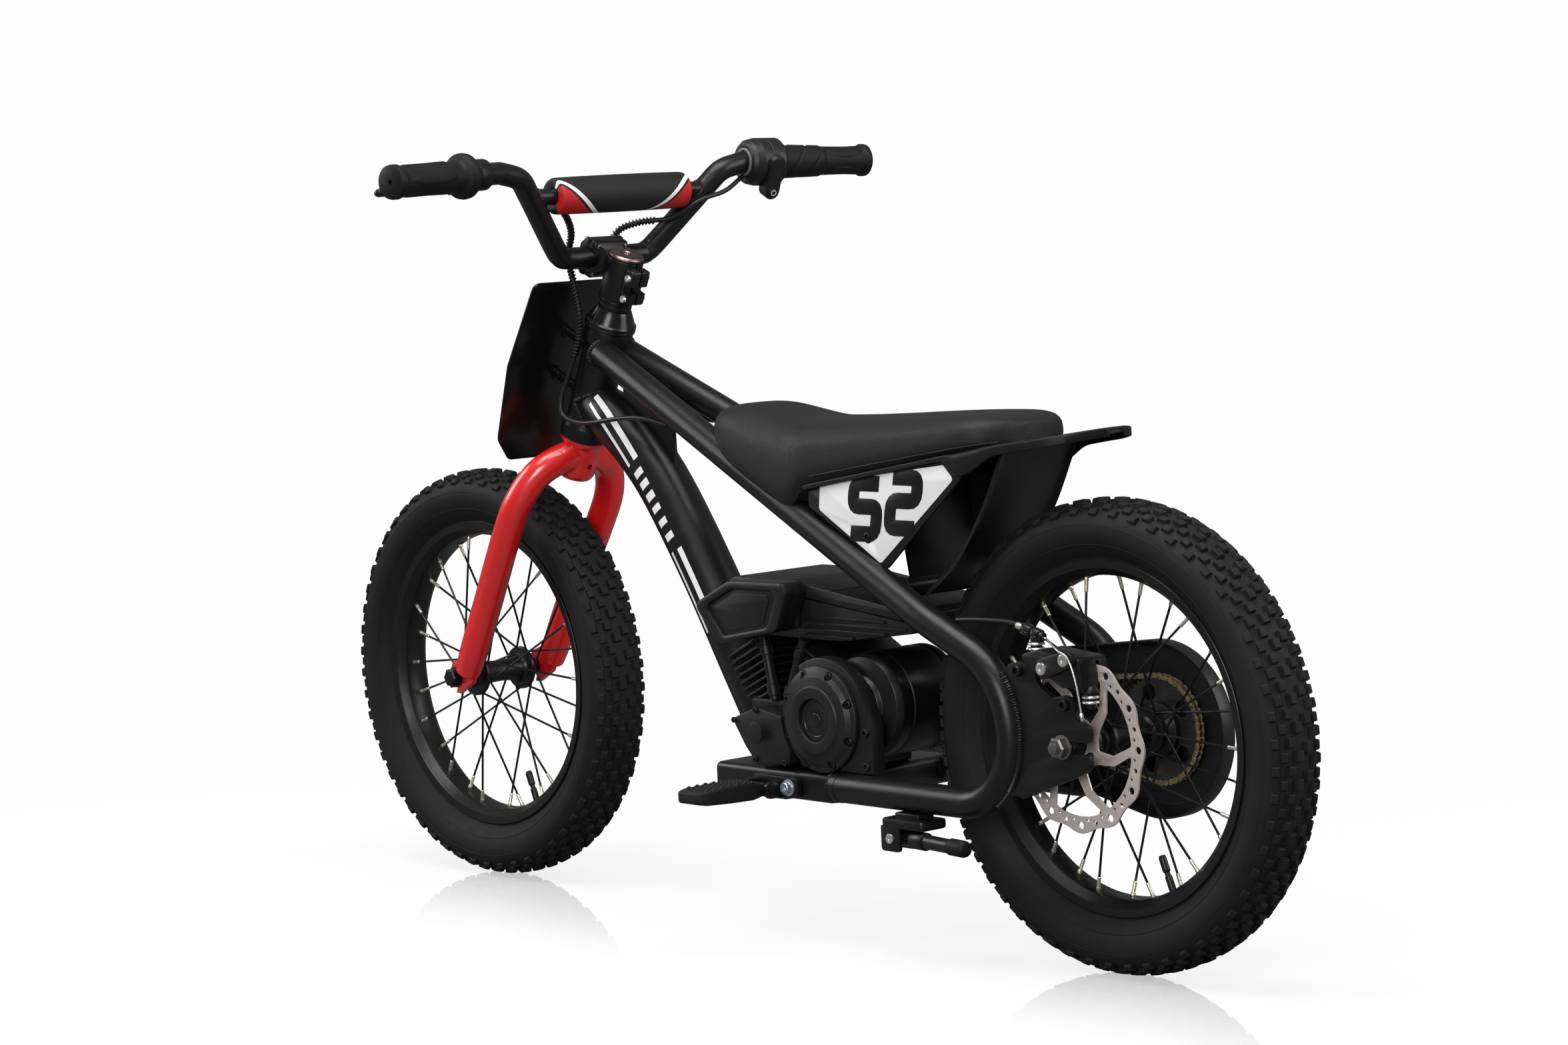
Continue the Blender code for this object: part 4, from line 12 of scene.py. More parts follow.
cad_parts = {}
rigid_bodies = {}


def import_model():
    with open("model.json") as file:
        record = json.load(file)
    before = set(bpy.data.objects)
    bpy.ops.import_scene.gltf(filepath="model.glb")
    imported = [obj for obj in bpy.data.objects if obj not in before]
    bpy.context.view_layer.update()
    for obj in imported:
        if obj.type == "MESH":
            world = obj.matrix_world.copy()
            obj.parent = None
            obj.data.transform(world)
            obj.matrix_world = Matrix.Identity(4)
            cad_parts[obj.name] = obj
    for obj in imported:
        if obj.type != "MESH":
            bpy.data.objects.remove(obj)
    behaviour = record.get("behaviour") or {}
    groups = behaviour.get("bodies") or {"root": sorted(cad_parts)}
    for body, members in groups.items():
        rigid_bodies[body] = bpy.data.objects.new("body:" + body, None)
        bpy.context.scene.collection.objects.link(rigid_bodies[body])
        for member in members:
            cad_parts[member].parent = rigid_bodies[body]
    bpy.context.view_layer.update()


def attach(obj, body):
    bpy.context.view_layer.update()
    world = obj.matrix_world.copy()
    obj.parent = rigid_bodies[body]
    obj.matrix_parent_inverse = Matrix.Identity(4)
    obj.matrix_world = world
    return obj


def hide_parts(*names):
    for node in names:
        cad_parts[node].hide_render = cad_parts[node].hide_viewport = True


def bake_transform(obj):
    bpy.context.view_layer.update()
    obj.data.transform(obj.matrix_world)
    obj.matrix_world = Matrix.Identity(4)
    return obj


for spare in list(bpy.data.objects):
    bpy.data.objects.remove(spare)
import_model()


# Studio: the long lens stands low behind the rider's left, about four metres away.
# Soft boxes hang above and to both sides, and the white polished floor runs out into a white surround.
CAMERA_AT = Vector((-2.94236, 2.62542, 0.74763))
CAMERA_YAW, CAMERA_PITCH, CAMERA_ROLL = -0.73036, -0.09069, -0.04431
camera_data = bpy.data.cameras.new("camera")
camera_data.lens = 93.73
camera_data.sensor_width = 36
camera_data.sensor_fit = "HORIZONTAL"
camera = bpy.data.objects.new("camera", camera_data)
bpy.context.scene.collection.objects.link(camera)
look = Vector((math.cos(CAMERA_PITCH) * math.cos(CAMERA_YAW), math.cos(CAMERA_PITCH) * math.sin(CAMERA_YAW),
               math.sin(CAMERA_PITCH)))
level = look.cross(Vector((0, 0, 1))).normalized()
upright = level.cross(look)
turned_right = level * math.cos(CAMERA_ROLL) + upright * math.sin(CAMERA_ROLL)
turned_up = upright * math.cos(CAMERA_ROLL) - level * math.sin(CAMERA_ROLL)
camera.matrix_world = Matrix.Translation(CAMERA_AT) @ Matrix((turned_right, turned_up, -look)).transposed().to_4x4()
bpy.context.scene.camera = camera
bpy.context.scene.view_settings.view_transform = "Standard"


class Value:
    """A shader socket that takes part in ordinary arithmetic."""

    def __init__(self, shading, socket):
        self.shading = shading
        self.socket = socket

    def math(self, operation, first, second=0.5):
        return self.shading.node("Math", {"operation": operation}, {0: first, 1: second})

    def __add__(self, other):
        return self.math("ADD", self, other)

    def __radd__(self, other):
        return self.math("ADD", other, self)

    def __sub__(self, other):
        return self.math("SUBTRACT", self, other)

    def __rsub__(self, other):
        return self.math("SUBTRACT", other, self)

    def __mul__(self, other):
        return self.math("MULTIPLY", self, other)

    def __rmul__(self, other):
        return self.math("MULTIPLY", other, self)

    def __truediv__(self, other):
        return self.math("DIVIDE", self, other)

    def __pow__(self, other):
        return self.math("POWER", self, other)

    def __gt__(self, other):
        return self.math("GREATER_THAN", self, other)

    def __lt__(self, other):
        return self.math("LESS_THAN", self, other)

    def __mod__(self, other):
        return self.math("FLOORED_MODULO", self, other)

    def __abs__(self):
        return self.math("ABSOLUTE", self)

    def sine(self):
        return self.math("SINE", self)


class Shading:
    """The nodes of one finish, the floor or the surround."""

    def __init__(self, tree):
        self.tree = tree

    def node(self, kind, settings=None, sockets=None, out=0):
        made = self.tree.nodes.new("ShaderNode" + kind)
        for name, value in (settings or {}).items():
            if name == "stops":
                for element, (place, colour) in zip(made.color_ramp.elements, value):
                    element.position = place
                    element.color = colour
            else:
                setattr(made, name, value)
        for name, value in (sockets or {}).items():
            self.feed(made.inputs[name], value)
        return Value(self, made.outputs[out]) if len(made.outputs) else None

    def feed(self, target, value):
        if isinstance(value, Value):
            self.tree.links.new(value.socket, target)
        else:
            target.default_value = value

    def place(self):
        return self.node("TexCoord", out="Object")

    def split(self, vector):
        parts = self.node("SeparateXYZ", sockets={0: vector})
        outputs = parts.socket.node.outputs
        return [Value(self, outputs[i]) for i in range(3)]

    def noise(self, scale, detail=2.0, vector=None):
        return self.node("TexNoise", sockets={"Vector": vector or self.place(), "Scale": scale, "Detail": detail})

    def cells(self, scale, feature="F1"):
        return self.node("TexVoronoi", {"feature": feature}, {"Vector": self.place(), "Scale": scale})

    def mix(self, share, first, second):
        return self.node("Mix", {"data_type": "RGBA"}, {0: share, 6: first, 7: second}, out=2)

    def between(self, value, low, high):
        """Value from 0..1 carried on to low..high."""
        return value * (high - low) + low


def ray(shading, kind):
    """1 for rays of one kind: straight from the lens, through glass, or mirrored by a glossy surface."""
    return shading.node("LightPath", out="Is " + kind + " Ray")


world = bpy.data.worlds.new("surround")
bpy.context.scene.world = world
world.use_nodes = True
surround = Shading(world.node_tree)
world.node_tree.nodes.clear()
PAPER_WHITE, FILL_LIGHT, DIM_LIGHT = 0.985, 0.32, 0.18
white, fill, dim = [surround.node("Background", sockets={"Color": (1, 1, 1, 1), "Strength": strength})
                    for strength in (PAPER_WHITE, FILL_LIGHT, DIM_LIGHT)]
unseen = surround.node("MixShader", sockets={0: ray(surround, "Glossy"), 1: fill, 2: dim})
straight = ray(surround, "Camera") + ray(surround, "Transmission")
both = surround.node("MixShader", sockets={0: straight, 1: unseen, 2: white})
surround.node("OutputWorld", sockets={0: both})


def soft_box(name, at, towards, width, height, power):
    data = bpy.data.lights.new(name, "AREA")
    data.shape = "RECTANGLE"
    data.size = width
    data.size_y = height
    data.energy = power
    lamp = bpy.data.objects.new(name, data)
    bpy.context.scene.collection.objects.link(lamp)
    lamp.location = at
    lamp.rotation_euler = (Vector(towards) - Vector(at)).to_track_quat("-Z", "Y").to_euler()


soft_box("top_box", (-0.3, 0.5, 2.6), (0, 0, 0.3), 2.4, 1.5, 70)
soft_box("left_box", (-1.9, 2.9, 1.5), (0, 0, 0.35), 1.2, 1.6, 60)
soft_box("right_box", (-2.6, -1.6, 1.7), (0, 0, 0.35), 1.6, 2.0, 46)
soft_box("front_box", (2.4, 1.3, 1.6), (0, 0, 0.35), 1.2, 1.4, 32)

FLOOR_RADIUS = 9.0
MIRROR_SHARE, MIRROR_REACH = 0.38, 0.27
SHADE_SHARE, SHADE_NEAR, SHADE_FAR = 0.16, 1.0, 1.6
ground = bmesh.new()
bmesh.ops.create_circle(ground, cap_ends=True, segments=96, radius=FLOOR_RADIUS)
ground_mesh = bpy.data.meshes.new("floor")
ground.to_mesh(ground_mesh)
ground.free()
floor = bpy.data.objects.new("floor", ground_mesh)
floor.location.z = -0.0004
bpy.context.scene.collection.objects.link(floor)
floor_finish = bpy.data.materials.new("pale_floor")
floor_finish.use_nodes = True
paving = Shading(floor_finish.node_tree)
pale = floor_finish.node_tree.nodes["Principled BSDF"]
pale.inputs["Base Color"].default_value = (0.13, 0.13, 0.13, 1)
pale.inputs["Roughness"].default_value = 0.60
along, across, _ = paving.split(paving.place())
share = paving.node("MapRange", {"interpolation_type": "SMOOTHSTEP"},
                    {0: abs(across), 1: 0.0, 2: MIRROR_REACH, 3: MIRROR_SHARE, 4: 0.0})
glow = paving.node("Emission", sockets={"Color": (1, 1, 1, 1), "Strength": PAPER_WHITE})
polish = (PAPER_WHITE / DIM_LIGHT,) * 3
mirror = paving.node("BsdfAnisotropic", sockets={"Color": (*polish, 1), "Roughness": 0.04})
sheen = paving.node("MixShader", sockets={0: share, 1: glow, 2: mirror})
distance = paving.node("VectorMath", {"operation": "LENGTH"}, {0: paving.place()}, out="Value")
shade = paving.node("MapRange", {"interpolation_type": "SMOOTHSTEP"},
                    {0: distance, 1: SHADE_NEAR, 2: SHADE_FAR, 3: SHADE_SHARE, 4: 0.0})
matt = paving.node("BsdfDiffuse", sockets={"Color": (0.80, 0.80, 0.80, 1)})
white_sheet = paving.node("MixShader", sockets={0: shade, 1: sheen, 2: matt})
direct = ray(paving, "Camera") + ray(paving, "Transmission")
run_out = paving.node("MixShader", sockets={0: direct, 1: Value(paving, pale.outputs[0]), 2: white_sheet})
paving.feed(floor_finish.node_tree.nodes["Material Output"].inputs["Surface"], run_out)
ground_mesh.materials.append(floor_finish)


# Top tubes and rear loops: each is one bent steel tube from the head round the rear wheel to the bottom box.
# A laser-cut dropout is welded inside the rear bend, and all of it is powder coated satin black.
REAR_AXLE_X = -0.4507
AXLE_Z = 0.215
AHEAD = Matrix.Translation((REAR_AXLE_X, 0, 0))
LOOP_RADIUS = 0.0143
LOOP_SLOPE = 0.455
LOOP_HEAD = Vector((0.660, 0.0172, 0.5412))
LOOP_REAR_X, LOOP_REAR_Y = 0.066, 0.0741
LOOP_FLARE_X = 0.170
RAIL_Z = 0.1535
LOOP_LOWER_BEND = 0.063
BOX_REAR_X, BOX_FRONT_X = 0.300, 0.467
STEEL_PLATE = 0.006


def mesh_of(shape, place=Matrix()):
    """Welded mesh that faces out, carried to its place."""
    bmesh.ops.remove_doubles(shape, verts=shape.verts, dist=2e-6)
    bmesh.ops.dissolve_degenerate(shape, edges=shape.edges, dist=1e-7)
    bmesh.ops.recalc_face_normals(shape, faces=shape.faces)
    mesh = bpy.data.meshes.new("shape")
    shape.to_mesh(mesh)
    shape.free()
    mesh.transform(place)
    return mesh


def skin(rings, place=Matrix(), end_to_start=False, caps=True):
    """Skin over rings with equal counts of points."""
    shape = bmesh.new()
    rows = [[shape.verts.new(point) for point in ring] for ring in rings]
    pairs = list(zip(rows, rows[1:]))
    if end_to_start:
        pairs.append((rows[-1], rows[0]))
    for first, second in pairs:
        for i in range(len(first)):
            j = (i + 1) % len(first)
            shape.faces.new((first[i], first[j], second[j], second[i]))
    if caps and not end_to_start:
        shape.faces.new(list(reversed(rows[0])))
        shape.faces.new(rows[-1])
    return mesh_of(shape, place)


def frames(points, side=None, loop=False):
    """Point, sideways and other direction at each point of a path, without twist."""
    points = [Vector(p) for p in points]
    last = len(points) - 1
    side = Vector(side) if side else (points[1] - points[0]).orthogonal()
    result = []
    for i, point in enumerate(points):
        before = points[i - 1] if i or loop else point
        after = points[(i + 1) % len(points)] if i < last or loop else point
        ahead = (after - before).normalized()
        side = (side - ahead * side.dot(ahead)).normalized()
        result.append((point, side, ahead.cross(side)))
    return result


def pipe(points, radius, sides=28, scale=None, place=Matrix(), loop=False):
    rings = []
    for i, (point, side, other) in enumerate(frames(points, loop=loop)):
        r = radius * (scale[i] if scale else 1)
        turns = [2 * math.pi * k / sides for k in range(sides)]
        rings.append([point + (side * math.cos(t) + other * math.sin(t)) * r for t in turns])
    return skin(rings, place, loop)


def curve_through(points, per_span, loop=False):
    """Points on a smooth curve through a few chosen ones."""
    points = [Vector(p) for p in points]
    ends = [points[-1]] + points + points[:2] if loop else [2 * points[0] - points[1]] + points + [2 * points[-1] - points[-2]]
    path = []
    for i in range(1, len(ends) - 2):
        a, b, c, d = ends[i - 1:i + 3]
        for step in range(per_span):
            t = step / per_span
            path.append(0.5 * (2 * b + (c - a) * t + (2 * a - 5 * b + 4 * c - d) * t * t
                               + (3 * b - a - 3 * c + d) * t ** 3))
    return path if loop else path + [points[-1]]


def arc(centre, radius, start, end, steps):
    angles = [math.radians(start + (end - start) * i / steps) for i in range(steps + 1)]
    return [(centre[0] + radius * math.cos(a), centre[1] + radius * math.sin(a)) for a in angles]


def eased(corners, radius, steps=3, closed=True):
    """Outline or profile with its corners rounded as far as their edges allow."""
    points = []
    for i, corner in enumerate(corners):
        here = Vector(corner)
        if not closed and i in (0, len(corners) - 1):
            points.append(tuple(here))
            continue
        before = Vector(corners[i - 1]) - here
        after = Vector(corners[(i + 1) % len(corners)]) - here
        want = radius[i] if isinstance(radius, (list, tuple)) else radius
        angle = before.angle(after, math.pi)
        if want <= 0 or angle > 3.05 or angle < 0.05:
            points.append(tuple(here))
            continue
        run = min(want / math.tan(angle / 2), 0.48 * before.length, 0.48 * after.length)
        first, last = here + before.normalized() * run, here + after.normalized() * run
        for step in range(steps + 1):
            t = step / steps
            points.append(tuple(first * (1 - t) ** 2 + here * 2 * t * (1 - t) + last * t * t))
    return points


def facing(outline, turn):
    """The outline run anticlockwise for turn 1, clockwise for turn -1."""
    area = sum(a[0] * b[1] - b[0] * a[1] for a, b in zip(outline, outline[1:] + outline[:1]))
    return list(outline) if area * turn > 0 else list(reversed(outline))


def evaluated(obj):
    bpy.context.scene.collection.objects.link(obj)
    bpy.context.view_layer.update()
    graph = bpy.context.evaluated_depsgraph_get()
    mesh = bpy.data.meshes.new_from_object(obj.evaluated_get(graph))
    bpy.data.objects.remove(obj)
    return mesh


def slab(outline, thickness, edge=0.0006, holes=(), place=Matrix()):
    """Plate on the local XY plane with its edges rounded over."""
    curve = bpy.data.curves.new("outline", "CURVE")
    curve.dimensions = "2D"
    curve.fill_mode = "BOTH"
    curve.extrude = max(1e-5, thickness / 2 - edge)
    curve.bevel_depth = edge
    curve.bevel_resolution = 1
    curve.offset = -edge
    for turn, loop in [(1, outline)] + [(-1, hole) for hole in holes]:
        spline = curve.splines.new("POLY")
        loop = facing(loop, turn)
        spline.points.add(len(loop) - 1)
        spline.use_cyclic_u = True
        for point, (x, y) in zip(spline.points, loop):
            point.co = (x, y, 0, 1)
    mesh = evaluated(bpy.data.objects.new("work", curve))
    shape = bmesh.new()
    shape.from_mesh(mesh)
    return mesh_of(shape, place)


SIDE_ON = Matrix.Rotation(math.radians(90), 4, "X")


def side_slab(outline, thickness, middle_y, edge=0.0006, holes=(), place=AHEAD):
    """Plate whose outline is written as (x, z), standing at a lateral distance."""
    return slab(outline, thickness, edge, holes, place @ Matrix.Translation((0, middle_y, 0)) @ SIDE_ON)


def joined(*meshes):
    shape = bmesh.new()
    for mesh in meshes:
        shape.from_mesh(mesh)
    mesh = bpy.data.meshes.new("joined")
    shape.to_mesh(mesh)
    shape.free()
    return mesh


def piece(name, mesh, body, finish, nodes=(), crease=35):
    """Named piece that rides on its body and may stand for CAD nodes."""
    obj = bpy.data.objects.new(name, mesh)
    bpy.context.scene.collection.objects.link(obj)
    mesh.materials.clear()
    mesh.materials.append(finish)
    mesh.shade_smooth()
    mesh.set_sharp_from_angle(angle=math.radians(crease))
    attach(obj, body)
    if nodes:
        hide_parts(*nodes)
    return obj


def finish(name, colour, roughness, metallic=0.0, specular=0.5, coat=0.0, coat_roughness=0.1):
    """New material with its plain values, and the shading that refines it."""
    material = bpy.data.materials.new(name)
    material.use_nodes = True
    shading = Shading(material.node_tree)
    shader = material.node_tree.nodes["Principled BSDF"]
    shading.sockets = shader.inputs
    shader.inputs["Base Color"].default_value = (*colour, 1)
    shader.inputs["Roughness"].default_value = roughness
    shader.inputs["Metallic"].default_value = metallic
    shader.inputs["Specular IOR Level"].default_value = specular
    shader.inputs["Coat Weight"].default_value = coat
    shader.inputs["Coat Roughness"].default_value = coat_roughness
    return material, shading


def raise_by(shading, height, distance, strength=1.0):
    """Bump of a height map, in metres."""
    bump = shading.node("Bump", sockets={"Height": height, "Distance": distance, "Strength": strength})
    shading.feed(shading.sockets["Normal"], bump)


def powder_coat(name, colour, sheen):
    """Satin powder coat: fine orange peel with slightly uneven gloss."""
    material, shading = finish(name, colour, sheen, 0.0, 0.32)
    dark = tuple(0.78 * c for c in colour)
    cloud = shading.noise(14, 3)
    shading.feed(shading.sockets["Base Color"], shading.mix(cloud, (*dark, 1), (*colour, 1)))
    shading.feed(shading.sockets["Roughness"], shading.between(shading.noise(60, 4), sheen - 0.07, sheen + 0.09))
    raise_by(shading, shading.noise(1500, 2), 0.00006, 0.5)
    return material


satin_black = powder_coat("satin_black_coat", (0.0062, 0.0062, 0.0066), 0.33)


def loop_height(x):
    return LOOP_HEAD.z - LOOP_SLOPE * (LOOP_HEAD.x - x)


def loop_width(x):
    share = max(0.0, (x - LOOP_FLARE_X) / (LOOP_HEAD.x - LOOP_FLARE_X))
    return LOOP_REAR_Y + (LOOP_HEAD.y - LOOP_REAR_Y) * share


def loop_path(side):
    slope = math.atan(LOOP_SLOPE)
    run = loop_height(LOOP_REAR_X) - (RAIL_Z + LOOP_LOWER_BEND)
    bend = run / math.tan((math.radians(90) - slope) / 2)
    straight = [0.689, 0.62, 0.54, 0.45, 0.36, 0.28, 0.21, 0.185, 0.172, 0.165, 0.155]
    path = [(x, loop_height(x)) for x in straight]
    path += arc((LOOP_REAR_X + bend, RAIL_Z + LOOP_LOWER_BEND), bend, 90 + math.degrees(slope), 180, 14)
    path += arc((LOOP_REAR_X + LOOP_LOWER_BEND, RAIL_Z + LOOP_LOWER_BEND), LOOP_LOWER_BEND, 180, 270, 16)[1:]
    path += [(0.2, RAIL_Z), (BOX_REAR_X + 0.001, RAIL_Z)]
    return [Vector((x, side * (max(loop_width(x), LOOP_RADIUS) if z > 0.25 else LOOP_REAR_Y), z)) for x, z in path]


def dropout_outline(top):
    slot = arc((0, AXLE_Z), 0.0053, 90, -90, 8)
    rear = [(-0.032, AXLE_Z + 0.020), (-0.032, AXLE_Z + 0.0053)]
    under = [(-0.032, AXLE_Z - 0.0053), (-0.032, AXLE_Z - 0.016), (-0.025, AXLE_Z - 0.022), (0.052, 0.164),
             (0.084, 0.176), (0.070, 0.215)]
    return top + rear + slot + under


LEFT_TOP = [(0.074, 0.268), (0.064, 0.285), (0.050, 0.288), (0.037, 0.286), (0.031, 0.279), (0.029, 0.270),
            (0.010, 0.2575), (-0.002, 0.2610), (-0.013, 0.2590), (-0.0165, 0.2480), (-0.0180, 0.2400)]
RIGHT_TOP = [(0.074, 0.268), (0.060, 0.276), (0.030, 0.254), (-0.016, 0.243)]


def bead(path, radius, loop=False, place=AHEAD):
    """Weld bead: a thin round run with a ripple every couple of millimetres."""
    path = [Vector(p) for p in path]
    fine, ripple, travelled = [], [], 0.0
    pairs = list(zip(path, path[1:] + path[:1])) if loop else list(zip(path, path[1:]))
    for first, second in pairs:
        steps = max(1, round((second - first).length / 0.0006))
        for k in range(steps):
            fine.append(first.lerp(second, k / steps))
            ripple.append(0.80 + 0.28 * abs(math.sin(math.pi * travelled / 0.0024)))
            travelled += (second - first).length / steps
    return pipe(fine, radius, 8, ripple, place, loop)


def rear_weld(side):
    """Bead where the dropout meets the tube, on the outside of the plate."""
    path = [p for p in loop_path(side) if p.z < 0.272 and p.x < 0.13 and p.z > 0.163]
    inward = Vector((0.150, 0, 0.2165))
    run = []
    for p in path:
        back = Vector((p.x - inward.x, 0, p.z - inward.z)).normalized()
        run.append(p + back * (LOOP_RADIUS - 0.0002) + Vector((0, side * 0.0032, 0)))
    return bead(curve_through(run, 3), 0.0032)


for side_name, side, top in (("left", 1, LEFT_TOP), ("right", -1, RIGHT_TOP)):
    tube = pipe(loop_path(side), LOOP_RADIUS, 36, place=AHEAD)
    plate = side_slab(eased(dropout_outline(top), 0.004, 2), STEEL_PLATE, side * LOOP_REAR_Y, 0.0005)
    collar = pipe([(BOX_REAR_X - 0.010, side * LOOP_REAR_Y, RAIL_Z), (BOX_REAR_X + 0.0005, side * LOOP_REAR_Y, RAIL_Z)],
                  LOOP_RADIUS + 0.0004, 30, place=AHEAD)
    seam = bead([(BOX_REAR_X - 0.0005, side * LOOP_REAR_Y + 0.0140 * math.cos(t), RAIL_Z + 0.0140 * math.sin(t))
                 for t in [2 * math.pi * k / 24 for k in range(24)]], 0.0016, True)
    end = loop_path(side)[0]
    ahead = (loop_path(side)[0] - loop_path(side)[1]).normalized()
    out = Vector((0, side, 0))
    up = ahead.cross(out)
    rim_run = [end + ahead * 0.0012 * math.cos(2 * t) + (out * math.cos(t) + up * math.sin(t)) * (LOOP_RADIUS - 0.0006)
               for t in [2 * math.pi * k / 28 for k in range(28)]]
    mesh = joined(tube, plate, collar, seam, rear_weld(side), bead(rim_run, 0.0030, True))
    piece(side_name + "_loop_tube", mesh, "frame", satin_black, [side_name + "_frame_loop"])


# Head tube and down tube: the large tube bends up to the head and carries white film strips and dashes on each side.
# A gusset ties it to the top tubes, and every joint shows its rippled weld bead.
HEAD_ANGLE = math.radians(66.0)
STEER_TURN = Matrix.Rotation(HEAD_ANGLE - math.radians(90), 4, "Y")
STEER_FOOT = Vector((-REAR_AXLE_X, 0, AXLE_Z)) - STEER_TURN @ Vector((0.045, 0, 0))
STEER = Matrix.Translation(STEER_FOOT) @ STEER_TURN
HEAD_LOW, HEAD_HIGH = 0.2963, 0.4183
HEAD_RADIUS, CUP_RADIUS, CUP_HEIGHT = 0.0220, 0.0250, 0.014
DOWN_RADIUS = 0.0275
DOWN_ROUTE = [(0.724, 0, 0.505), (0.676, 0, 0.478), (0.620, 0, 0.427), (0.5585, 0, 0.3414), (0.500, 0, 0.246),
              (0.446, 0, 0.158)]


def lathe(profile, steps=48, place=Matrix(), closed=False):
    """Turn a profile of (radius, height) round local Z."""
    turns = [2 * math.pi * k / steps for k in range(steps)]
    rings = [[(max(r, 1e-7) * math.cos(t), max(r, 1e-7) * math.sin(t), z) for t in turns] for r, z in profile]
    return skin(rings, place, closed, caps=False)


head_profile = [(CUP_RADIUS, HEAD_HIGH), (CUP_RADIUS, HEAD_HIGH - CUP_HEIGHT), (HEAD_RADIUS, HEAD_HIGH - 1.5 * CUP_HEIGHT),
                (HEAD_RADIUS, HEAD_LOW + 1.6 * CUP_HEIGHT), (CUP_RADIUS, HEAD_LOW + CUP_HEIGHT), (CUP_RADIUS, HEAD_LOW),
                (0.0150, HEAD_LOW), (0.0150, HEAD_HIGH)]
piece("head_tube_shell", lathe(eased(head_profile, 0.0010), 64, STEER, True), "frame", satin_black, ["head_tube"])

down_path = curve_through(DOWN_ROUTE, 8)
neck = [min(1.0, 0.78 + 0.22 * i / 6) for i in range(len(down_path))]
down_shell = pipe(down_path, DOWN_RADIUS, 56, neck, AHEAD)
gusset_outline = [(0.676, loop_height(0.676) - 0.010), (0.598, loop_height(0.598) - 0.010), (0.596, 0.436), (0.664, 0.478)]
gusset = side_slab(gusset_outline, 0.005, 0)
foot_weld = bead([down_path[-1] + Vector((0.031 * math.cos(t) * 1.16 + 0.004, 0.0275 * math.sin(t), 0.0078))
                  for t in [2 * math.pi * k / 40 for k in range(40)]], 0.0022, True)


def saddle(start, ahead, radius, steps=48):
    """Line on the head tube where a tube that runs towards it meets its wall, in the frame's measures."""
    axis = STEER_TURN @ Vector((0, 0, 1))
    base = AHEAD.inverted() @ STEER_FOOT
    ahead = Vector(ahead).normalized()
    side = Vector((0, 1, 0))
    other = ahead.cross(side)
    line = []
    for k in range(steps):
        t = 2 * math.pi * k / steps
        from_point = Vector(start) + (side * math.cos(t) + other * math.sin(t)) * radius
        gap = from_point - base
        flat_gap = gap - axis * gap.dot(axis)
        flat_run = ahead - axis * ahead.dot(axis)
        a, b, c = flat_run.dot(flat_run), 2 * flat_gap.dot(flat_run), flat_gap.dot(flat_gap) - (HEAD_RADIUS + 0.0004) ** 2
        inside = max(0.0, b * b - 4 * a * c)
        line.append(from_point + ahead * ((-b - math.sqrt(inside)) / (2 * a)))
    return line


down_weld = bead(saddle((0.676, 0, 0.478), (0.050, 0, 0.028), 0.0225), 0.0030, True)
piece("down_tube_shell", joined(down_shell, gusset, foot_weld, down_weld), "frame", satin_black, ["down_tube"])

STRIPE_PROUD = 0.00018


def vinyl(name, colour, roughness):
    """Printed film: even colour with a faint unevenness in its gloss."""
    material, shading = finish(name, colour, roughness, 0.0, 0.4)
    shading.feed(shading.sockets["Roughness"], shading.between(shading.noise(40, 3), roughness - 0.05, roughness + 0.08))
    shade = tuple(0.93 * c for c in colour)
    shading.feed(shading.sockets["Base Color"], shading.mix(shading.noise(25, 2), (*shade, 1), (*colour, 1)))
    raise_by(shading, shading.noise(900, 1), 0.00002, 0.4)
    return material


white_film = vinyl("white_film", (0.82, 0.82, 0.815), 0.32)


def tube_stripe(path, radii, first, last, angle_of):
    """Thin strip on a tube between two shares of its length; angle_of gives its edges at each share."""
    rails = []
    stations = frames(path, side=(0, 1, 0))
    for i, (point, side, other) in enumerate(stations):
        share = i / (len(stations) - 1)
        if first <= share <= last:
            low, high = angle_of(share)
            row = []
            for k in range(5):
                t = low + (high - low) * k / 4
                row.append(point + (side * math.cos(t) + other * math.sin(t)) * (radii[i] + STRIPE_PROUD))
            rails.append(row)
    shape = bmesh.new()
    rows = [[shape.verts.new(p) for p in row] for row in rails]
    for a, b in zip(rows, rows[1:]):
        for k in range(4):
            shape.faces.new((a[k], a[k + 1], b[k + 1], b[k]))
    return mesh_of(shape, AHEAD)


fine_path = curve_through(DOWN_ROUTE, 60)
fine_radii = [DOWN_RADIUS * min(1.0, 0.78 + 0.22 * i / 45) for i in range(len(fine_path))]
stripes = []
STRIPS = [(0.085, 0.350, -10, 34, 6.5), (0.085, 0.350, 17, 39, 3.9), (0.560, 0.720, -10, 34, 6.5), (0.555, 0.720, 17, 39, 3.9)]
STRIPS += [(0.373 + 0.0295 * k, 0.391 + 0.0295 * k, 2.5, 36, 13.0) for k in range(6)]
for mirror in (0, 1):
    for first, last, rest, swing, half in STRIPS:

        def edges(share, rest=rest, swing=swing, half=half, mirror=mirror):
            middle = rest - swing * ((0.66 - share) / 0.575) ** 2
            low, high = math.radians(middle - half), math.radians(middle + half)
            return (math.pi - high, math.pi - low) if mirror else (low, high)

        stripes.append(tube_stripe(fine_path, fine_radii, first, last, edges))
piece("down_tube_stripes", joined(*stripes), "frame", white_film, crease=60)


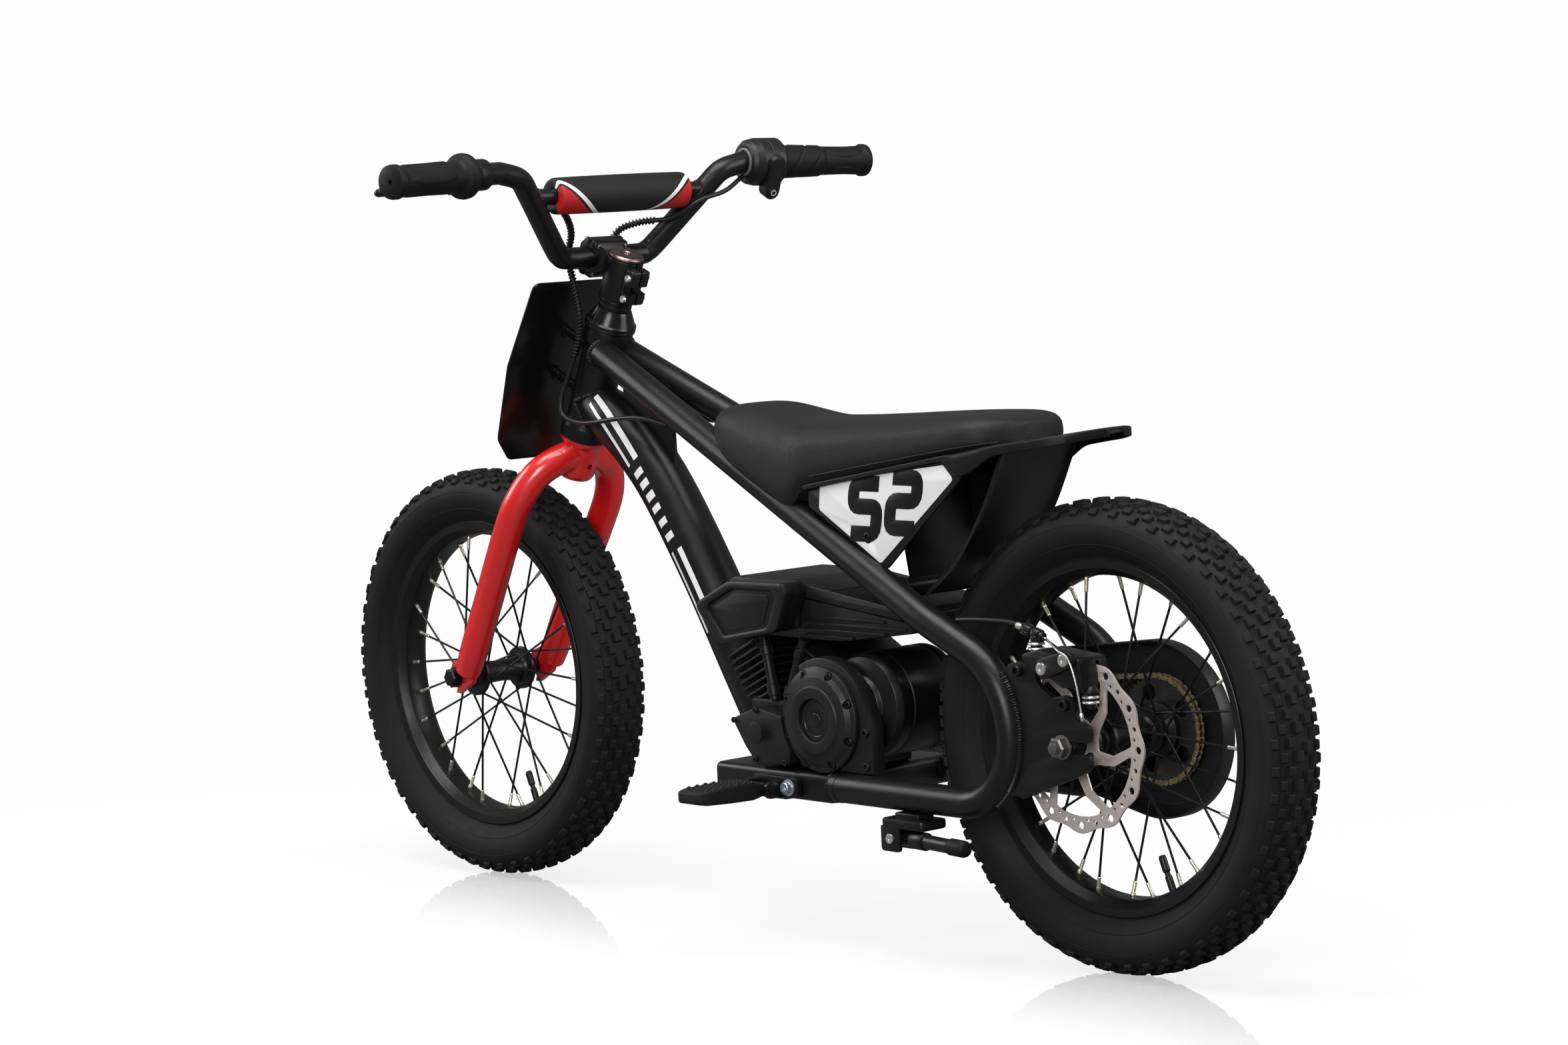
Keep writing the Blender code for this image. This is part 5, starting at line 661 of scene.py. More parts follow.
# Bottom box: a rectangular steel beam under the motor that the loops, down tube and peg brackets are welded to.
# Its long edges are rolled, and the flat underside is what the bike is lifted by.
def block(low, high, edge=0.001, segments=3, place=AHEAD):
    shape = bmesh.new()
    bmesh.ops.create_cube(shape, size=1)
    low, high = Vector(low), Vector(high)
    bmesh.ops.scale(shape, vec=high - low, verts=shape.verts)
    bmesh.ops.translate(shape, vec=(low + high) / 2, verts=shape.verts)
    bmesh.ops.bevel(shape, geom=shape.edges[:], offset=edge, segments=segments, affect="EDGES", profile=0.5)
    return mesh_of(shape, place)


beam = block((BOX_REAR_X, -0.080, 0.1370), (BOX_FRONT_X, 0.080, 0.1650), 0.006, 4)
piece("bottom_beam", beam, "frame", satin_black, ["bottom_box"], crease=50)


# Rear bridge: a cross tube between the loops with a bent strap up to the seat base, bolted from below.
BRIDGE_X = 0.222
SEAT_LINE_SLOPE, SEAT_LINE_X, SEAT_LINE_Z = 0.174, 0.336, 0.4354


def seat_line(x):
    """Height where the seat cover meets its base."""
    return SEAT_LINE_Z + SEAT_LINE_SLOPE * (SEAT_LINE_X - x)


def under_base(x):
    return seat_line(x) - 0.003


def onto(at, axis):
    """Place whose local Z points along an axis."""
    turn = Vector(axis).to_track_quat("Z", "Y").to_matrix().to_4x4()
    return Matrix.Translation(Vector(at)) @ turn


def cap_screw(at, axis, radius, height, place=AHEAD):
    """Socket-head screw: knurl-free head with a rounded rim and a hexagon socket."""
    head = lathe([(1e-7, 0.45 * height), (0.50 * radius, 0.45 * height), (0.55 * radius, height), (0.86 * radius, height),
                  (0.97 * radius, 0.90 * height), (radius, 0.78 * height), (radius, 0)], 24, place @ onto(at, axis))
    return head


def hexagon(at, axis, radius, height, place=AHEAD):
    """Hexagon nut or bolt head with chamfered corners."""
    body = lathe([(1e-7, height), (0.82 * radius, height), (radius, 0.82 * height), (radius, 0)], 6, place @ onto(at, axis))
    return body


def washer(at, axis, radius, height, place=AHEAD):
    return lathe(eased([(1e-7, height), (radius, height), (radius, 0)], 0.0003, 2, False), 28, place @ onto(at, axis))


def metal(name, colour, roughness, brush=0.0, metallic=1.0):
    """Bare or plated metal with fine scratches and cloudy plating."""
    material, shading = finish(name, colour, roughness, metallic)
    dull = tuple(0.80 * c for c in colour)
    shading.feed(shading.sockets["Base Color"], shading.mix(shading.noise(90, 3), (*dull, 1), (*colour, 1)))
    shading.feed(shading.sockets["Roughness"], shading.between(shading.noise(260, 4), roughness - 0.06, roughness + 0.12))
    raise_by(shading, shading.noise(700, 3), 0.00003, 0.3 + brush)
    return material


zinc = metal("zinc_plate", (0.62, 0.63, 0.65), 0.28, 0.0, 0.85)
bridge_z = loop_height(BRIDGE_X)
reach = loop_width(BRIDGE_X) - LOOP_RADIUS + 0.002
bar = pipe([(BRIDGE_X, -reach, bridge_z), (BRIDGE_X, reach, bridge_z)], 0.009, 28, place=AHEAD)
strap_line = [(BRIDGE_X - 0.002, bridge_z), (BRIDGE_X + 0.002, bridge_z),
              (BRIDGE_X + 0.002, under_base(BRIDGE_X - 0.010) - 0.0043),
              (BRIDGE_X + 0.022, under_base(BRIDGE_X + 0.022) - 0.0043),
              (BRIDGE_X + 0.022, under_base(BRIDGE_X + 0.022) - 0.0003),
              (BRIDGE_X - 0.002, under_base(BRIDGE_X - 0.010) - 0.0028)]
strap = side_slab(strap_line, 0.080, 0, 0.0005)
bridge_welds = [bead([(BRIDGE_X + 0.0092 * math.cos(t), s * (reach - 0.003), bridge_z + 0.0092 * math.sin(t))
                      for t in [2 * math.pi * k / 20 for k in range(20)]], 0.0018, True) for s in (1, -1)]
piece("rear_bridge_tube", joined(bar, strap, *bridge_welds), "frame", satin_black, ["rear_bridge"])
strap_screws = [hexagon((BRIDGE_X + 0.013, y, under_base(BRIDGE_X + 0.013) - 0.0045), (0, 0, -1), 0.0042, 0.003)
                for y in (-0.028, 0.028)]
piece("bridge_strap_screws", joined(*strap_screws), "frame", zinc)


# Motor: a sealed can lying across the frame behind the engine covers, bolted to a foot on the bottom box.
# Its left bell faces the covers and its shaft carries the small sprocket on the right.
MOTOR_X, MOTOR_Z, MOTOR_RADIUS = 0.284, 0.228, 0.050
MOTOR_LEFT, MOTOR_RIGHT = 0.058, -0.042
CHAIN_Y = -0.0490
AXLE_TURN = Matrix.Rotation(math.radians(-90), 4, "X")
MOTOR = Matrix.Translation((REAR_AXLE_X + MOTOR_X, 0, MOTOR_Z)) @ AXLE_TURN
can_profile = [(1e-7, MOTOR_LEFT), (0.0275, MOTOR_LEFT), (0.0300, MOTOR_LEFT - 0.004), (0.0460, MOTOR_LEFT - 0.007),
               (0.0500, MOTOR_LEFT - 0.013), (0.0500, 0.034), (0.0488, 0.033), (0.0488, 0.031), (0.0500, 0.030),
               (0.0500, -0.020), (0.0488, -0.021), (0.0488, -0.023), (0.0500, -0.024), (0.0500, MOTOR_RIGHT + 0.010),
               (0.0465, MOTOR_RIGHT + 0.005), (0.0170, MOTOR_RIGHT + 0.003), (0.0150, MOTOR_RIGHT), (0.0048, MOTOR_RIGHT),
               (0.0048, CHAIN_Y - 0.004), (1e-7, CHAIN_Y - 0.004)]
can = lathe(eased(can_profile, 0.0012, 2, False), 64, MOTOR)
foot = block((BOX_REAR_X + 0.004, -0.030, 0.1653), (MOTOR_X + 0.040, 0.044, MOTOR_Z - 0.010), 0.003)
bolts = [cap_screw((MOTOR_X + 0.040 * math.cos(t), MOTOR_RIGHT + 0.0052, MOTOR_Z + 0.040 * math.sin(t)), (0, -1, 0), 0.0035, 0.003)
         for t in [math.radians(45 + 90 * k) for k in range(4)]]
piece("motor_can", joined(can, foot, *bolts), "frame", satin_black, ["motor"])


# Chain drive: a fine-pitch gold chain from an eleven-tooth sprocket on the motor to forty-eight teeth on the wheel.
# The wheel's sprocket is an oiled steel disc held to the hub by silver socket screws.
PITCH = 0.00635
REAR_HUB = Matrix.Translation((REAR_AXLE_X, 0, AXLE_Z)) @ AXLE_TURN


def pitch_radius(teeth):
    return PITCH / (2 * math.sin(math.pi / teeth))


def circle(radius, steps, centre=(0, 0)):
    return arc(centre, radius, 0, 360 - 360 / steps, steps - 1)


def teeth_outline(teeth):
    """Pointed teeth with round seats between them."""
    middle = pitch_radius(teeth)
    outline = []
    for k in range(teeth):
        for share, rise in ((-0.08, 0.0007), (0.08, 0.0007), (0.27, -0.0010), (0.40, -0.0022), (0.60, -0.0022), (0.73, -0.0010)):
            angle = 2 * math.pi * (k + share) / teeth
            outline.append(((middle + rise) * math.cos(angle), (middle + rise) * math.sin(angle)))
    return outline


bright_steel = metal("machined_steel", (0.72, 0.70, 0.68), 0.24, 0.0, 0.85)
windows = [circle(0.0108, 32)]
for k in range(5):
    spoke_angle = 2 * math.pi * k / 5
    windows.append(circle(0.0075, 24, (0.0345 * math.cos(spoke_angle), 0.0345 * math.sin(spoke_angle))))
disc = slab(teeth_outline(48), 0.003, 0.0003, windows, REAR_HUB @ Matrix.Translation((0, 0, CHAIN_Y)))
dark_steel = metal("oiled_steel", (0.10, 0.098, 0.095), 0.34, 0.0, 0.85)
piece("wheel_sprocket_disc", disc, "rear_wheel", dark_steel, ["rear_sprocket"])
screw_ring = [2 * math.pi * (k + 0.5) / 5 for k in range(5)]
disc_screws = [cap_screw((0.0195 * math.cos(t), 0.0195 * math.sin(t), CHAIN_Y - 0.0015), (0, 0, -1), 0.0036, 0.0034, REAR_HUB)
               for t in screw_ring]
piece("sprocket_screws", joined(*disc_screws), "rear_wheel", zinc)
small = slab(teeth_outline(11), 0.003, 0.0003, [circle(0.0053, 24)], MOTOR @ Matrix.Translation((0, 0, CHAIN_Y)))
piece("motor_pinion", small, "motor_drive", bright_steel, ["motor_sprocket"])


def chain_line():
    """Centre line round both sprockets as (x, z), anticlockwise in the side view."""
    rear_r, front_r = pitch_radius(48), pitch_radius(11)
    span = Vector((MOTOR_X, MOTOR_Z - AXLE_Z))
    tilt = math.degrees(math.atan2(span.y, span.x))
    lean = math.degrees(math.asin((rear_r - front_r) / span.length))
    front = arc((MOTOR_X, MOTOR_Z), front_r, tilt - 90 + lean, tilt + 90 - lean, 60)
    rear = arc((0, AXLE_Z), rear_r, tilt + 90 - lean, tilt + 270 + lean, 200)
    return front + rear


def stations_on(line, count):
    """Evenly spaced points and directions on a closed line."""
    line = [Vector(p) for p in line]
    ends = line[1:] + line[:1]
    lengths = [(b - a).length for a, b in zip(line, ends)]
    total, step, result, walked, index = sum(lengths), sum(lengths) / count, [], 0.0, 0
    for k in range(count):
        while walked + lengths[index] < k * step and index < len(line) - 1:
            walked += lengths[index]
            index += 1
        share = (k * step - walked) / max(lengths[index], 1e-9)
        result.append((line[index].lerp(ends[index], share), (ends[index] - line[index]).normalized()))
    return result


def copies(mesh, places):
    """One mesh holding a copy of another at each place."""
    shape = bmesh.new()
    for place in places:
        start = len(shape.verts)
        shape.from_mesh(mesh)
        shape.verts.ensure_lookup_table()
        bmesh.ops.transform(shape, matrix=place, verts=shape.verts[start:])
    result = bpy.data.meshes.new("copies")
    shape.to_mesh(result)
    shape.free()
    return result


gold = metal("gold_plate", (0.46, 0.35, 0.20), 0.32, 0.0, 0.80)
line = chain_line()
run_length = sum((Vector(b) - Vector(a)).length for a, b in zip(line, line[1:] + line[:1]))
links = 2 * round(run_length / PITCH / 2)
pins = stations_on(line, links)
plate_line = arc((0, 0), 0.0027, 90, 270, 6) + [(PITCH / 2, -0.0019)] + arc((PITCH, 0), 0.0027, -90, 90, 6) + [(PITCH / 2, 0.0019)]
link_plate = slab(plate_line, 0.0008, 0.00015)
link_pin = lathe(eased([(1e-7, 0.0038), (0.0012, 0.0038), (0.0012, -0.0038), (1e-7, -0.0038)], 0.0003, 1, False), 10)
link_roller = lathe([(0.00165, 0.0016), (0.00165, -0.0016)], 12)
plates, pin_places = [], []
for k, (point, ahead) in enumerate(pins):
    follow = (pins[(k + 1) % links][0] - point).normalized()
    turn = Matrix(((follow.x, -follow.y, 0), (0, 0, -1), (follow.y, follow.x, 0))).to_4x4()
    at = AHEAD @ Matrix.Translation((point.x, CHAIN_Y, point.y)) @ turn
    for half in (1, -1):
        plates.append(at @ Matrix.Translation((0, 0, half * (0.0032 if k % 2 else 0.0023))))
    pin_places.append(at)
chain = joined(copies(link_plate, plates), copies(link_pin, pin_places), copies(link_roller, pin_places))
piece("chain_links", chain, "frame", gold, ["chain"])


# Chain guard: a thin moulded dish round the chain with a rounded end at the wheel, open towards the tyre.
# It is screwed to the right loop, and the axle passes through its hole.
GUARD_OUTER, GUARD_INNER = -0.0592, -0.0430


def guard_outline(inset):
    rear_r, front_r = 0.081 - inset, 0.034 - inset
    span = Vector((MOTOR_X, MOTOR_Z - AXLE_Z))
    tilt = math.degrees(math.atan2(span.y, span.x))
    lean = math.degrees(math.asin((rear_r - front_r) / span.length))
    front = arc((MOTOR_X, MOTOR_Z), front_r, tilt - 90 + lean, tilt + 90 - lean, 24)
    return front + arc((0, AXLE_Z), rear_r, tilt + 90 - lean, tilt + 270 + lean, 60)


def moulded(name, colour, roughness, grain=1100.0, specular=0.34):
    """Moulded plastic with a fine spark-eroded grain and a little wear in its gloss."""
    material, shading = finish(name, colour, roughness, 0.0, specular)
    dull = tuple(min(1.0, 1.45 * c) for c in colour)
    shading.feed(shading.sockets["Base Color"], shading.mix(shading.noise(22, 4), (*colour, 1), (*dull, 1)))
    shading.feed(shading.sockets["Roughness"], shading.between(shading.noise(80, 4), roughness - 0.08, roughness + 0.10))
    raise_by(shading, shading.noise(grain, 2), 0.00008, 0.55)
    return material


black_plastic = moulded("black_plastic", (0.0066, 0.0066, 0.0069), 0.40)
dish = side_slab(guard_outline(0), 0.0016, GUARD_OUTER + 0.0008, 0.0005, [circle(0.0125, 32, (0, AXLE_Z))])
wall = side_slab(guard_outline(0), GUARD_INNER - GUARD_OUTER - 0.0004, (GUARD_INNER + GUARD_OUTER) / 2, 0.0004,
                 [guard_outline(0.0016)])
rib = side_slab(guard_outline(0.010), 0.0022, GUARD_OUTER + 0.0010, 0.0003, [guard_outline(0.0125)])
piece("chain_guard_dish", joined(dish, wall, rib), "frame", black_plastic, ["chain_guard"])


# Battery case: a moulded box between the seat and the engine covers, closed by a lid with raised strap ribs.
# The rim of the lid overhangs the case, both slope down to the rear, and the walls are ribbed like cylinder fins.
CASE_REAR, CASE_FRONT, CASE_KINK = 0.205, 0.462, 0.360
CASE_FLOOR, LID_TOP = 0.2880, 0.3430
CASE_HALF = 0.058


def case_rim(x):
    return 0.3275 - 0.110 * max(0.0, CASE_KINK - x)


case_line = [(CASE_REAR, 0.3010), (CASE_REAR, case_rim(CASE_REAR)), (CASE_KINK, case_rim(CASE_KINK)),
             (CASE_FRONT, case_rim(CASE_FRONT)), (CASE_FRONT, CASE_FLOOR), (0.300, CASE_FLOOR)]
case_walls = side_slab(eased(case_line, [0.004, 0, 0, 0, 0.004, 0.010]), 2 * CASE_HALF, 0, 0.0025)
rib_reach = CASE_HALF + 0.0024
case_ribs = [block((start, -rib_reach, z - 0.0014), (0.352, rib_reach, z + 0.0014), 0.0008, 2)
             for start, z in ((0.284, 0.2920), (0.240, 0.2980), (0.2115, 0.3040), (0.2400, 0.3100))]
piece("battery_case", joined(case_walls, *case_ribs), "frame", black_plastic, ["battery_box", "battery_pack"])
lid_rear, lid_front = CASE_REAR - 0.001, CASE_FRONT + 0.001
lid_line = [(lid_rear, case_rim(lid_rear) + 0.0003), (CASE_KINK, case_rim(CASE_KINK) + 0.0003),
            (lid_front, case_rim(lid_front) + 0.0003), (lid_front, 0.3345), (lid_front - 0.012, LID_TOP),
            (CASE_KINK + 0.010, LID_TOP), (lid_rear + 0.010, 0.3225), (lid_rear, 0.3180)]
lid = side_slab(eased(lid_line, [0.001, 0, 0.001, 0.004, 0.006, 0.012, 0.004, 0.002]), 2 * CASE_HALF + 0.002, 0, 0.0022)
lid_parts = [lid]
for x in (0.262, 0.318, 0.398, 0.440):
    height = LID_TOP if x > 0.37 else 0.3225 + (LID_TOP - 0.3225) * (x - 0.214) / 0.156
    lid_parts.append(block((x - 0.006, -CASE_HALF - 0.0006, height - 0.006), (x + 0.006, CASE_HALF + 0.0006, height - 0.0002), 0.0008, 2))
piece("battery_case_lid", joined(*lid_parts), "frame", black_plastic, ["battery_lid"])


# Engine-look covers: hollow mouldings that dress the motor as a small V-twin, clipped and screwed to the frame.
# The crankcase and two finned barrels stand between the bottom box and the battery case.
CASE_SIDE = 0.056
BARREL_FOOT, BARREL_TOP = 0.2263, 0.2877


def cut(mesh, *cutters):
    """Mesh with other closed meshes taken away."""
    obj = bpy.data.objects.new("work", mesh)
    tools = []
    for cutter in cutters:
        tool = bpy.data.objects.new("tool", cutter)
        bpy.context.scene.collection.objects.link(tool)
        tools.append(tool)
        modifier = obj.modifiers.new("cut", "BOOLEAN")
        modifier.operation = "DIFFERENCE"
        modifier.solver = "EXACT"
        modifier.object = tool
    result = evaluated(obj)
    for tool in tools:
        bpy.data.objects.remove(tool)
    return result


def softened(mesh, width, segments=2, angle=32):
    """Mesh with its sharp edges rounded over."""
    obj = bpy.data.objects.new("work", mesh)
    bevel = obj.modifiers.new("ease", "BEVEL")
    bevel.width = width
    bevel.segments = segments
    bevel.limit_method = "ANGLE"
    bevel.angle_limit = math.radians(angle)
    bevel.use_clamp_overlap = True
    return evaluated(obj)


crank_line = eased([(0.346, 0.1653), (0.414, 0.1653), (0.438, 0.2260), (0.346, 0.2260)], 0.005)
crank_core = side_slab(crank_line, 2 * CASE_SIDE, 0, 0.0015)
right_line = eased([(0.352, 0.1720), (0.410, 0.1720), (0.428, 0.2200), (0.398, 0.2255), (0.352, 0.2255)], 0.006)
right_face = side_slab(right_line, 0.012, -CASE_SIDE - 0.005, 0.0020)
right_screws = [cap_screw((x, -CASE_SIDE - 0.011, z), (0, -1, 0), 0.0032, 0.0026)
                for x, z in ((0.358, 0.178), (0.406, 0.178), (0.420, 0.214), (0.358, 0.219))]
piece("crankcase_shell", joined(crank_core, right_face, *right_screws), "frame", black_plastic, ["crankcase"])


def barrel(foot, head, fins):
    """Thin rounded fins on a narrow core, with a faceted head block on top."""
    foot, head = Vector((foot[0], 0, foot[1])), Vector((head[0], 0, head[1]))
    up = (head - foot).normalized()
    length = (head - foot).length
    sideways = Vector((up.z, 0, -up.x))
    turn = Matrix((sideways, Vector((0, 1, 0)), up)).transposed().to_4x4()
    parts = []

    def ring(share, grow, thickness, edge):
        scale = 0.62 + 0.38 * share
        a, b = (0.0360 - grow) * scale, CASE_SIDE - grow
        outline = eased([(a, b), (-a, b), (-a, -b), (a, -b)], 0.30 * a, 4)
        return slab(outline, thickness, edge, place=AHEAD @ Matrix.Translation(foot + up * (length * share)) @ turn)

    for k in range(fins):
        parts.append(ring(0.05 + 0.74 * k / (fins - 1), 0.0, 0.0026, 0.0009))
    for k in range(6):
        parts.append(ring(0.06 + 0.15 * k, 0.0062, 0.014, 0.0005))
    parts.append(ring(0.90, 0.0008, 0.010, 0.0024))
    shell = joined(*parts)
    above = block((0.2, -0.1, BARREL_TOP), (0.6, 0.1, 0.40), 0.001, 1)
    below = block((0.2, -0.1, 0.10), (0.6, 0.1, BARREL_FOOT), 0.001, 1)
    around_motor = pipe([(MOTOR_X, -0.09, MOTOR_Z), (MOTOR_X, 0.09, MOTOR_Z)], MOTOR_RADIUS + 0.001, 40, place=AHEAD)
    tube_axis = [Vector((0.620, 0, 0.427)), Vector((0.446, 0, 0.158))]
    around_tube = pipe([tube_axis[0], tube_axis[1] * 1.05 - tube_axis[0] * 0.05], DOWN_RADIUS + 0.0015, 36, place=AHEAD)
    return cut(shell, above, below, around_motor, around_tube)


def push_tube(low, high):
    """Pushrod tube with a collar at each end, lying on the left side of its barrel."""
    start, end = Vector((low[0], 0.055, low[1])), Vector((high[0], 0.055, high[1]))
    tube = pipe([start, end], 0.0050, 20, place=AHEAD)
    low_collar = pipe([start.lerp(end, 0.06), start.lerp(end, 0.24)], 0.0065, 20, place=AHEAD)
    high_collar = pipe([start.lerp(end, 0.70), start.lerp(end, 0.86)], 0.0065, 20, place=AHEAD)
    return joined(tube, softened(low_collar, 0.0006, 1), softened(high_collar, 0.0006, 1))


front_barrel = joined(barrel((0.4200, 0.2240), (0.4540, 0.2960), 9), push_tube((0.4020, 0.2265), (0.4145, 0.2870)))
rear_barrel = joined(barrel((0.3640, 0.2240), (0.3240, 0.2960), 9), push_tube((0.3832, 0.2265), (0.3573, 0.2870)))
piece("front_barrel_fins", front_barrel, "frame", black_plastic, ["front_cylinder"], crease=30)
piece("rear_barrel_fins", rear_barrel, "frame", black_plastic, ["rear_cylinder"], crease=30)


# Air cleaner cover: a rounded wedge on the left with a raised lip round a sunk flat.
AIR_INNER, AIR_DEPTH = 0.0598, 0.0280
air_corners = [(0.479, 0.3180), (0.427, 0.3430), (0.350, 0.3440), (0.345, 0.3350), (0.361, 0.2970), (0.447, 0.2810)]
air_radii = [0.008, 0.030, 0.006, 0.006, 0.014, 0.012]
air_middle = Vector((0.412, 0.312))


def scaled(corners, middle, share):
    return [tuple(middle + (Vector(c) - middle) * share) for c in corners]


air_line = eased(air_corners, air_radii, 6)
air_sunk = eased(scaled(air_corners, air_middle, 0.74), [0.7 * r for r in air_radii], 6)
air_inset = eased(scaled(air_corners, air_middle, 0.985), air_radii, 6)
air_back = side_slab(air_inset, AIR_DEPTH - 0.0035, AIR_INNER + (AIR_DEPTH - 0.0035) / 2, 0.0008)
air_lip = side_slab(air_line, 0.0130, AIR_INNER + AIR_DEPTH - 0.0065, 0.0030, [air_sunk])
air_flat = side_slab(eased(scaled(air_corners, air_middle, 0.60), [0.5 * r for r in air_radii], 6), 0.0010,
                     AIR_INNER + AIR_DEPTH - 0.0032, 0.0004)
air_foot = block((0.3560, AIR_INNER - 0.0001, 0.3000), (0.4400, AIR_INNER + 0.004, 0.3200), 0.001, 2)
piece("air_cleaner_shell", joined(air_back, air_lip, air_flat, air_foot), "frame", black_plastic, ["air_cleaner_cover"])


# Primary, clutch and timing covers: stacked mouldings on the left, with a round clutch dome and small cover screws.
# The clutch dome carries a dark gloss disc sunk in its middle.
CLUTCH_X, CLUTCH_Z, CLUTCH_RADIUS = 0.3135, 0.2165, 0.0503
COVER_Y = 0.0750
crown = [p for p in arc((CLUTCH_X, CLUTCH_Z), CLUTCH_RADIUS + 0.0075, 150, 20, 40) if p[0] < 0.3455]
primary_foot = RAIL_Z + LOOP_RADIUS + 0.0006
primary_line = [(0.2480, primary_foot), (0.2480, 0.2150)] + crown + [(0.3455, crown[-1][1]), (0.3455, primary_foot)]
primary = side_slab(primary_line, COVER_Y - MOTOR_LEFT - 0.0003, (COVER_Y + MOTOR_LEFT + 0.0003) / 2, 0.0018)
primary_screws = [cap_screw((x, COVER_Y, z), (0, 1, 0), 0.0040, 0.0032) for x, z in ((0.2550, 0.1760), (0.2550, 0.2080), (0.3405, 0.1745))]
piece("primary_cover_shell", joined(primary, *primary_screws), "frame", black_plastic, ["primary_cover"])

gloss_black = moulded("gloss_black_plastic", (0.0044, 0.0044, 0.0047), 0.20, 1500.0, 0.40)
CLUTCH = AHEAD @ Matrix.Translation((CLUTCH_X, COVER_Y + 0.0003, CLUTCH_Z)) @ AXLE_TURN
dome_profile = [(0.400, 0.0085), (0.410, 0.0130), (0.620, 0.0130), (0.640, 0.0118), (0.820, 0.0104), (0.900, 0.0066), (1.0, 0.0050),
                (1.0, 0.0), (0.400, 0.0)]
dome = lathe(eased([(CLUTCH_RADIUS * r, z) for r, z in dome_profile], 0.0010), 96, CLUTCH, True)
rim_turns = [math.radians(22.5 + 45 * k) for k in range(8)]
notches = [pipe([CLUTCH @ Vector((0.905 * CLUTCH_RADIUS * math.cos(t), 0.905 * CLUTCH_RADIUS * math.sin(t), z)) for z in (0.0045, 0.020)],
                0.0042, 20) for t in rim_turns]
dome = cut(dome, *notches)
rim_screws = [cap_screw((0.905 * CLUTCH_RADIUS * math.cos(t), 0.905 * CLUTCH_RADIUS * math.sin(t), 0.0042), (0, 0, 1), 0.0032, 0.0030, CLUTCH)
              for t in rim_turns]
piece("clutch_dome", joined(dome, *rim_screws), "frame", black_plastic, ["clutch_cover"])
disc_profile = [(1e-7, 0.0100), (0.0060, 0.0100), (0.0064, 0.0094), (0.0150, 0.0094), (0.0156, 0.0100), (0.0200, 0.0100), (0.0200, 0.0)]
piece("clutch_centre_disc", lathe(eased(disc_profile, 0.0004, 2, False), 64, CLUTCH), "frame", gloss_black)

timing_corners = [(0.4355, 0.2095), (0.4000, 0.2225), (0.3620, 0.2160), (0.3520, 0.1950), (0.3560, 0.1690), (0.4035, 0.1690), (0.4172, 0.1835)]
timing_middle = Vector((0.393, 0.198))
timing_back = side_slab(eased(timing_corners, 0.006, 4), 0.0265, 0.0563 + 0.01325, 0.0020)
timing_face = side_slab(eased(scaled(timing_corners, timing_middle, 0.80), 0.005, 4), 0.0080, 0.0563 + 0.0280, 0.0022)
timing_boss = side_slab(circle(0.0105, 40, (0.3960, 0.1990)), 0.0014, 0.0563 + 0.0322, 0.0005)
clear_clutch = lathe([(1e-7, 0.1), (CLUTCH_RADIUS + 0.0004, 0.1), (CLUTCH_RADIUS + 0.0004, -0.1), (1e-7, -0.1)], 80, CLUTCH)
timing = cut(joined(timing_back, timing_face), clear_clutch)
timing_screws = [cap_screw((*scaled([c], timing_middle, 0.89)[0][:1], 0.0828, scaled([c], timing_middle, 0.89)[0][1]), (0, 1, 0), 0.0028, 0.0022)
                 for c in (timing_corners[0], timing_corners[1], timing_corners[4], timing_corners[5])]
piece("timing_cover_shell", joined(timing, timing_boss, *timing_screws), "frame", black_plastic, ["timing_cover"])


# Seat base and tail: one thin black moulding under the seat that runs out behind it as a short tail.
# Its walls hang over the side panels, and its upper edge is rolled to meet the seat cover.
BASE_FRONT, TAIL_END = 0.338, -0.0065
BASE_WALL, BASE_HALF = 0.003, 0.0665
TAIL_ROUND = 0.045


def base_half_width(x):
    if x > 0.13:
        return BASE_HALF
    waist = BASE_HALF - 0.0105 * (0.13 - x) / 0.09
    if x > TAIL_ROUND:
        return waist
    share = (TAIL_ROUND - x) / (TAIL_ROUND - TAIL_END)
    return max(0.012, waist * math.sqrt(max(0.0, 1 - share ** 1.7)))


def eased_step(value, low, high):
    t = min(1.0, max(0.0, (value - low) / (high - low)))
    return t * t * (3 - 2 * t)


def base_skirt(x):
    deep = 0.0050 + 0.0175 * eased_step(x, 0.152, 0.128)
    return deep - 0.0125 * eased_step(x, 0.128, 0.086)


def base_section(x):
    flat = min(1.0, max(0.0, (0.10 - x) / 0.06))
    lift = -0.0025 * flat * flat
    half, top = base_half_width(x), seat_line(x) + lift
    low = top - base_skirt(x) - lift * 0.5
    edge, t = min(0.006, 0.3 * (top - low)), BASE_WALL
    corner = [(half - edge + edge * math.sin(a), top - edge + edge * math.cos(a)) for a in [math.radians(15 * k) for k in range(7)]]
    under = max(edge - 0.55 * t, 0.0006)
    inside = [(half - t - under + under * math.sin(a), top - t - under + under * math.cos(a)) for a in [math.radians(15 * k) for k in range(7)]]
    right = corner + [(half, low + 0.0006), (half - 0.0006, low), (half - t + 0.0006, low), (half - t, low + 0.0006)] + list(reversed(inside))
    left = [(-y, z) for y, z in reversed(right)]
    return [(x, y, z) for y, z in right + left]


base_stations = [BASE_FRONT - (BASE_FRONT - 0.16) * k / 12 for k in range(12)] + [0.16 - 0.005 * k for k in range(23)]
base_stations += [0.0455 - 0.0035 * k for k in range(13)] + [-0.0015, -0.0035, -0.0052, TAIL_END]
base_stations = sorted(set(base_stations), reverse=True)
tail = softened(skin([base_section(x) for x in base_stations], AHEAD), 0.0008, 2, 60)
tail_plastic = moulded("tail_plastic", (0.0044, 0.0044, 0.0047), 0.42, 1500.0, 0.22)
piece("seat_base_tail", tail, "frame", tail_plastic, ["tail_fender"])


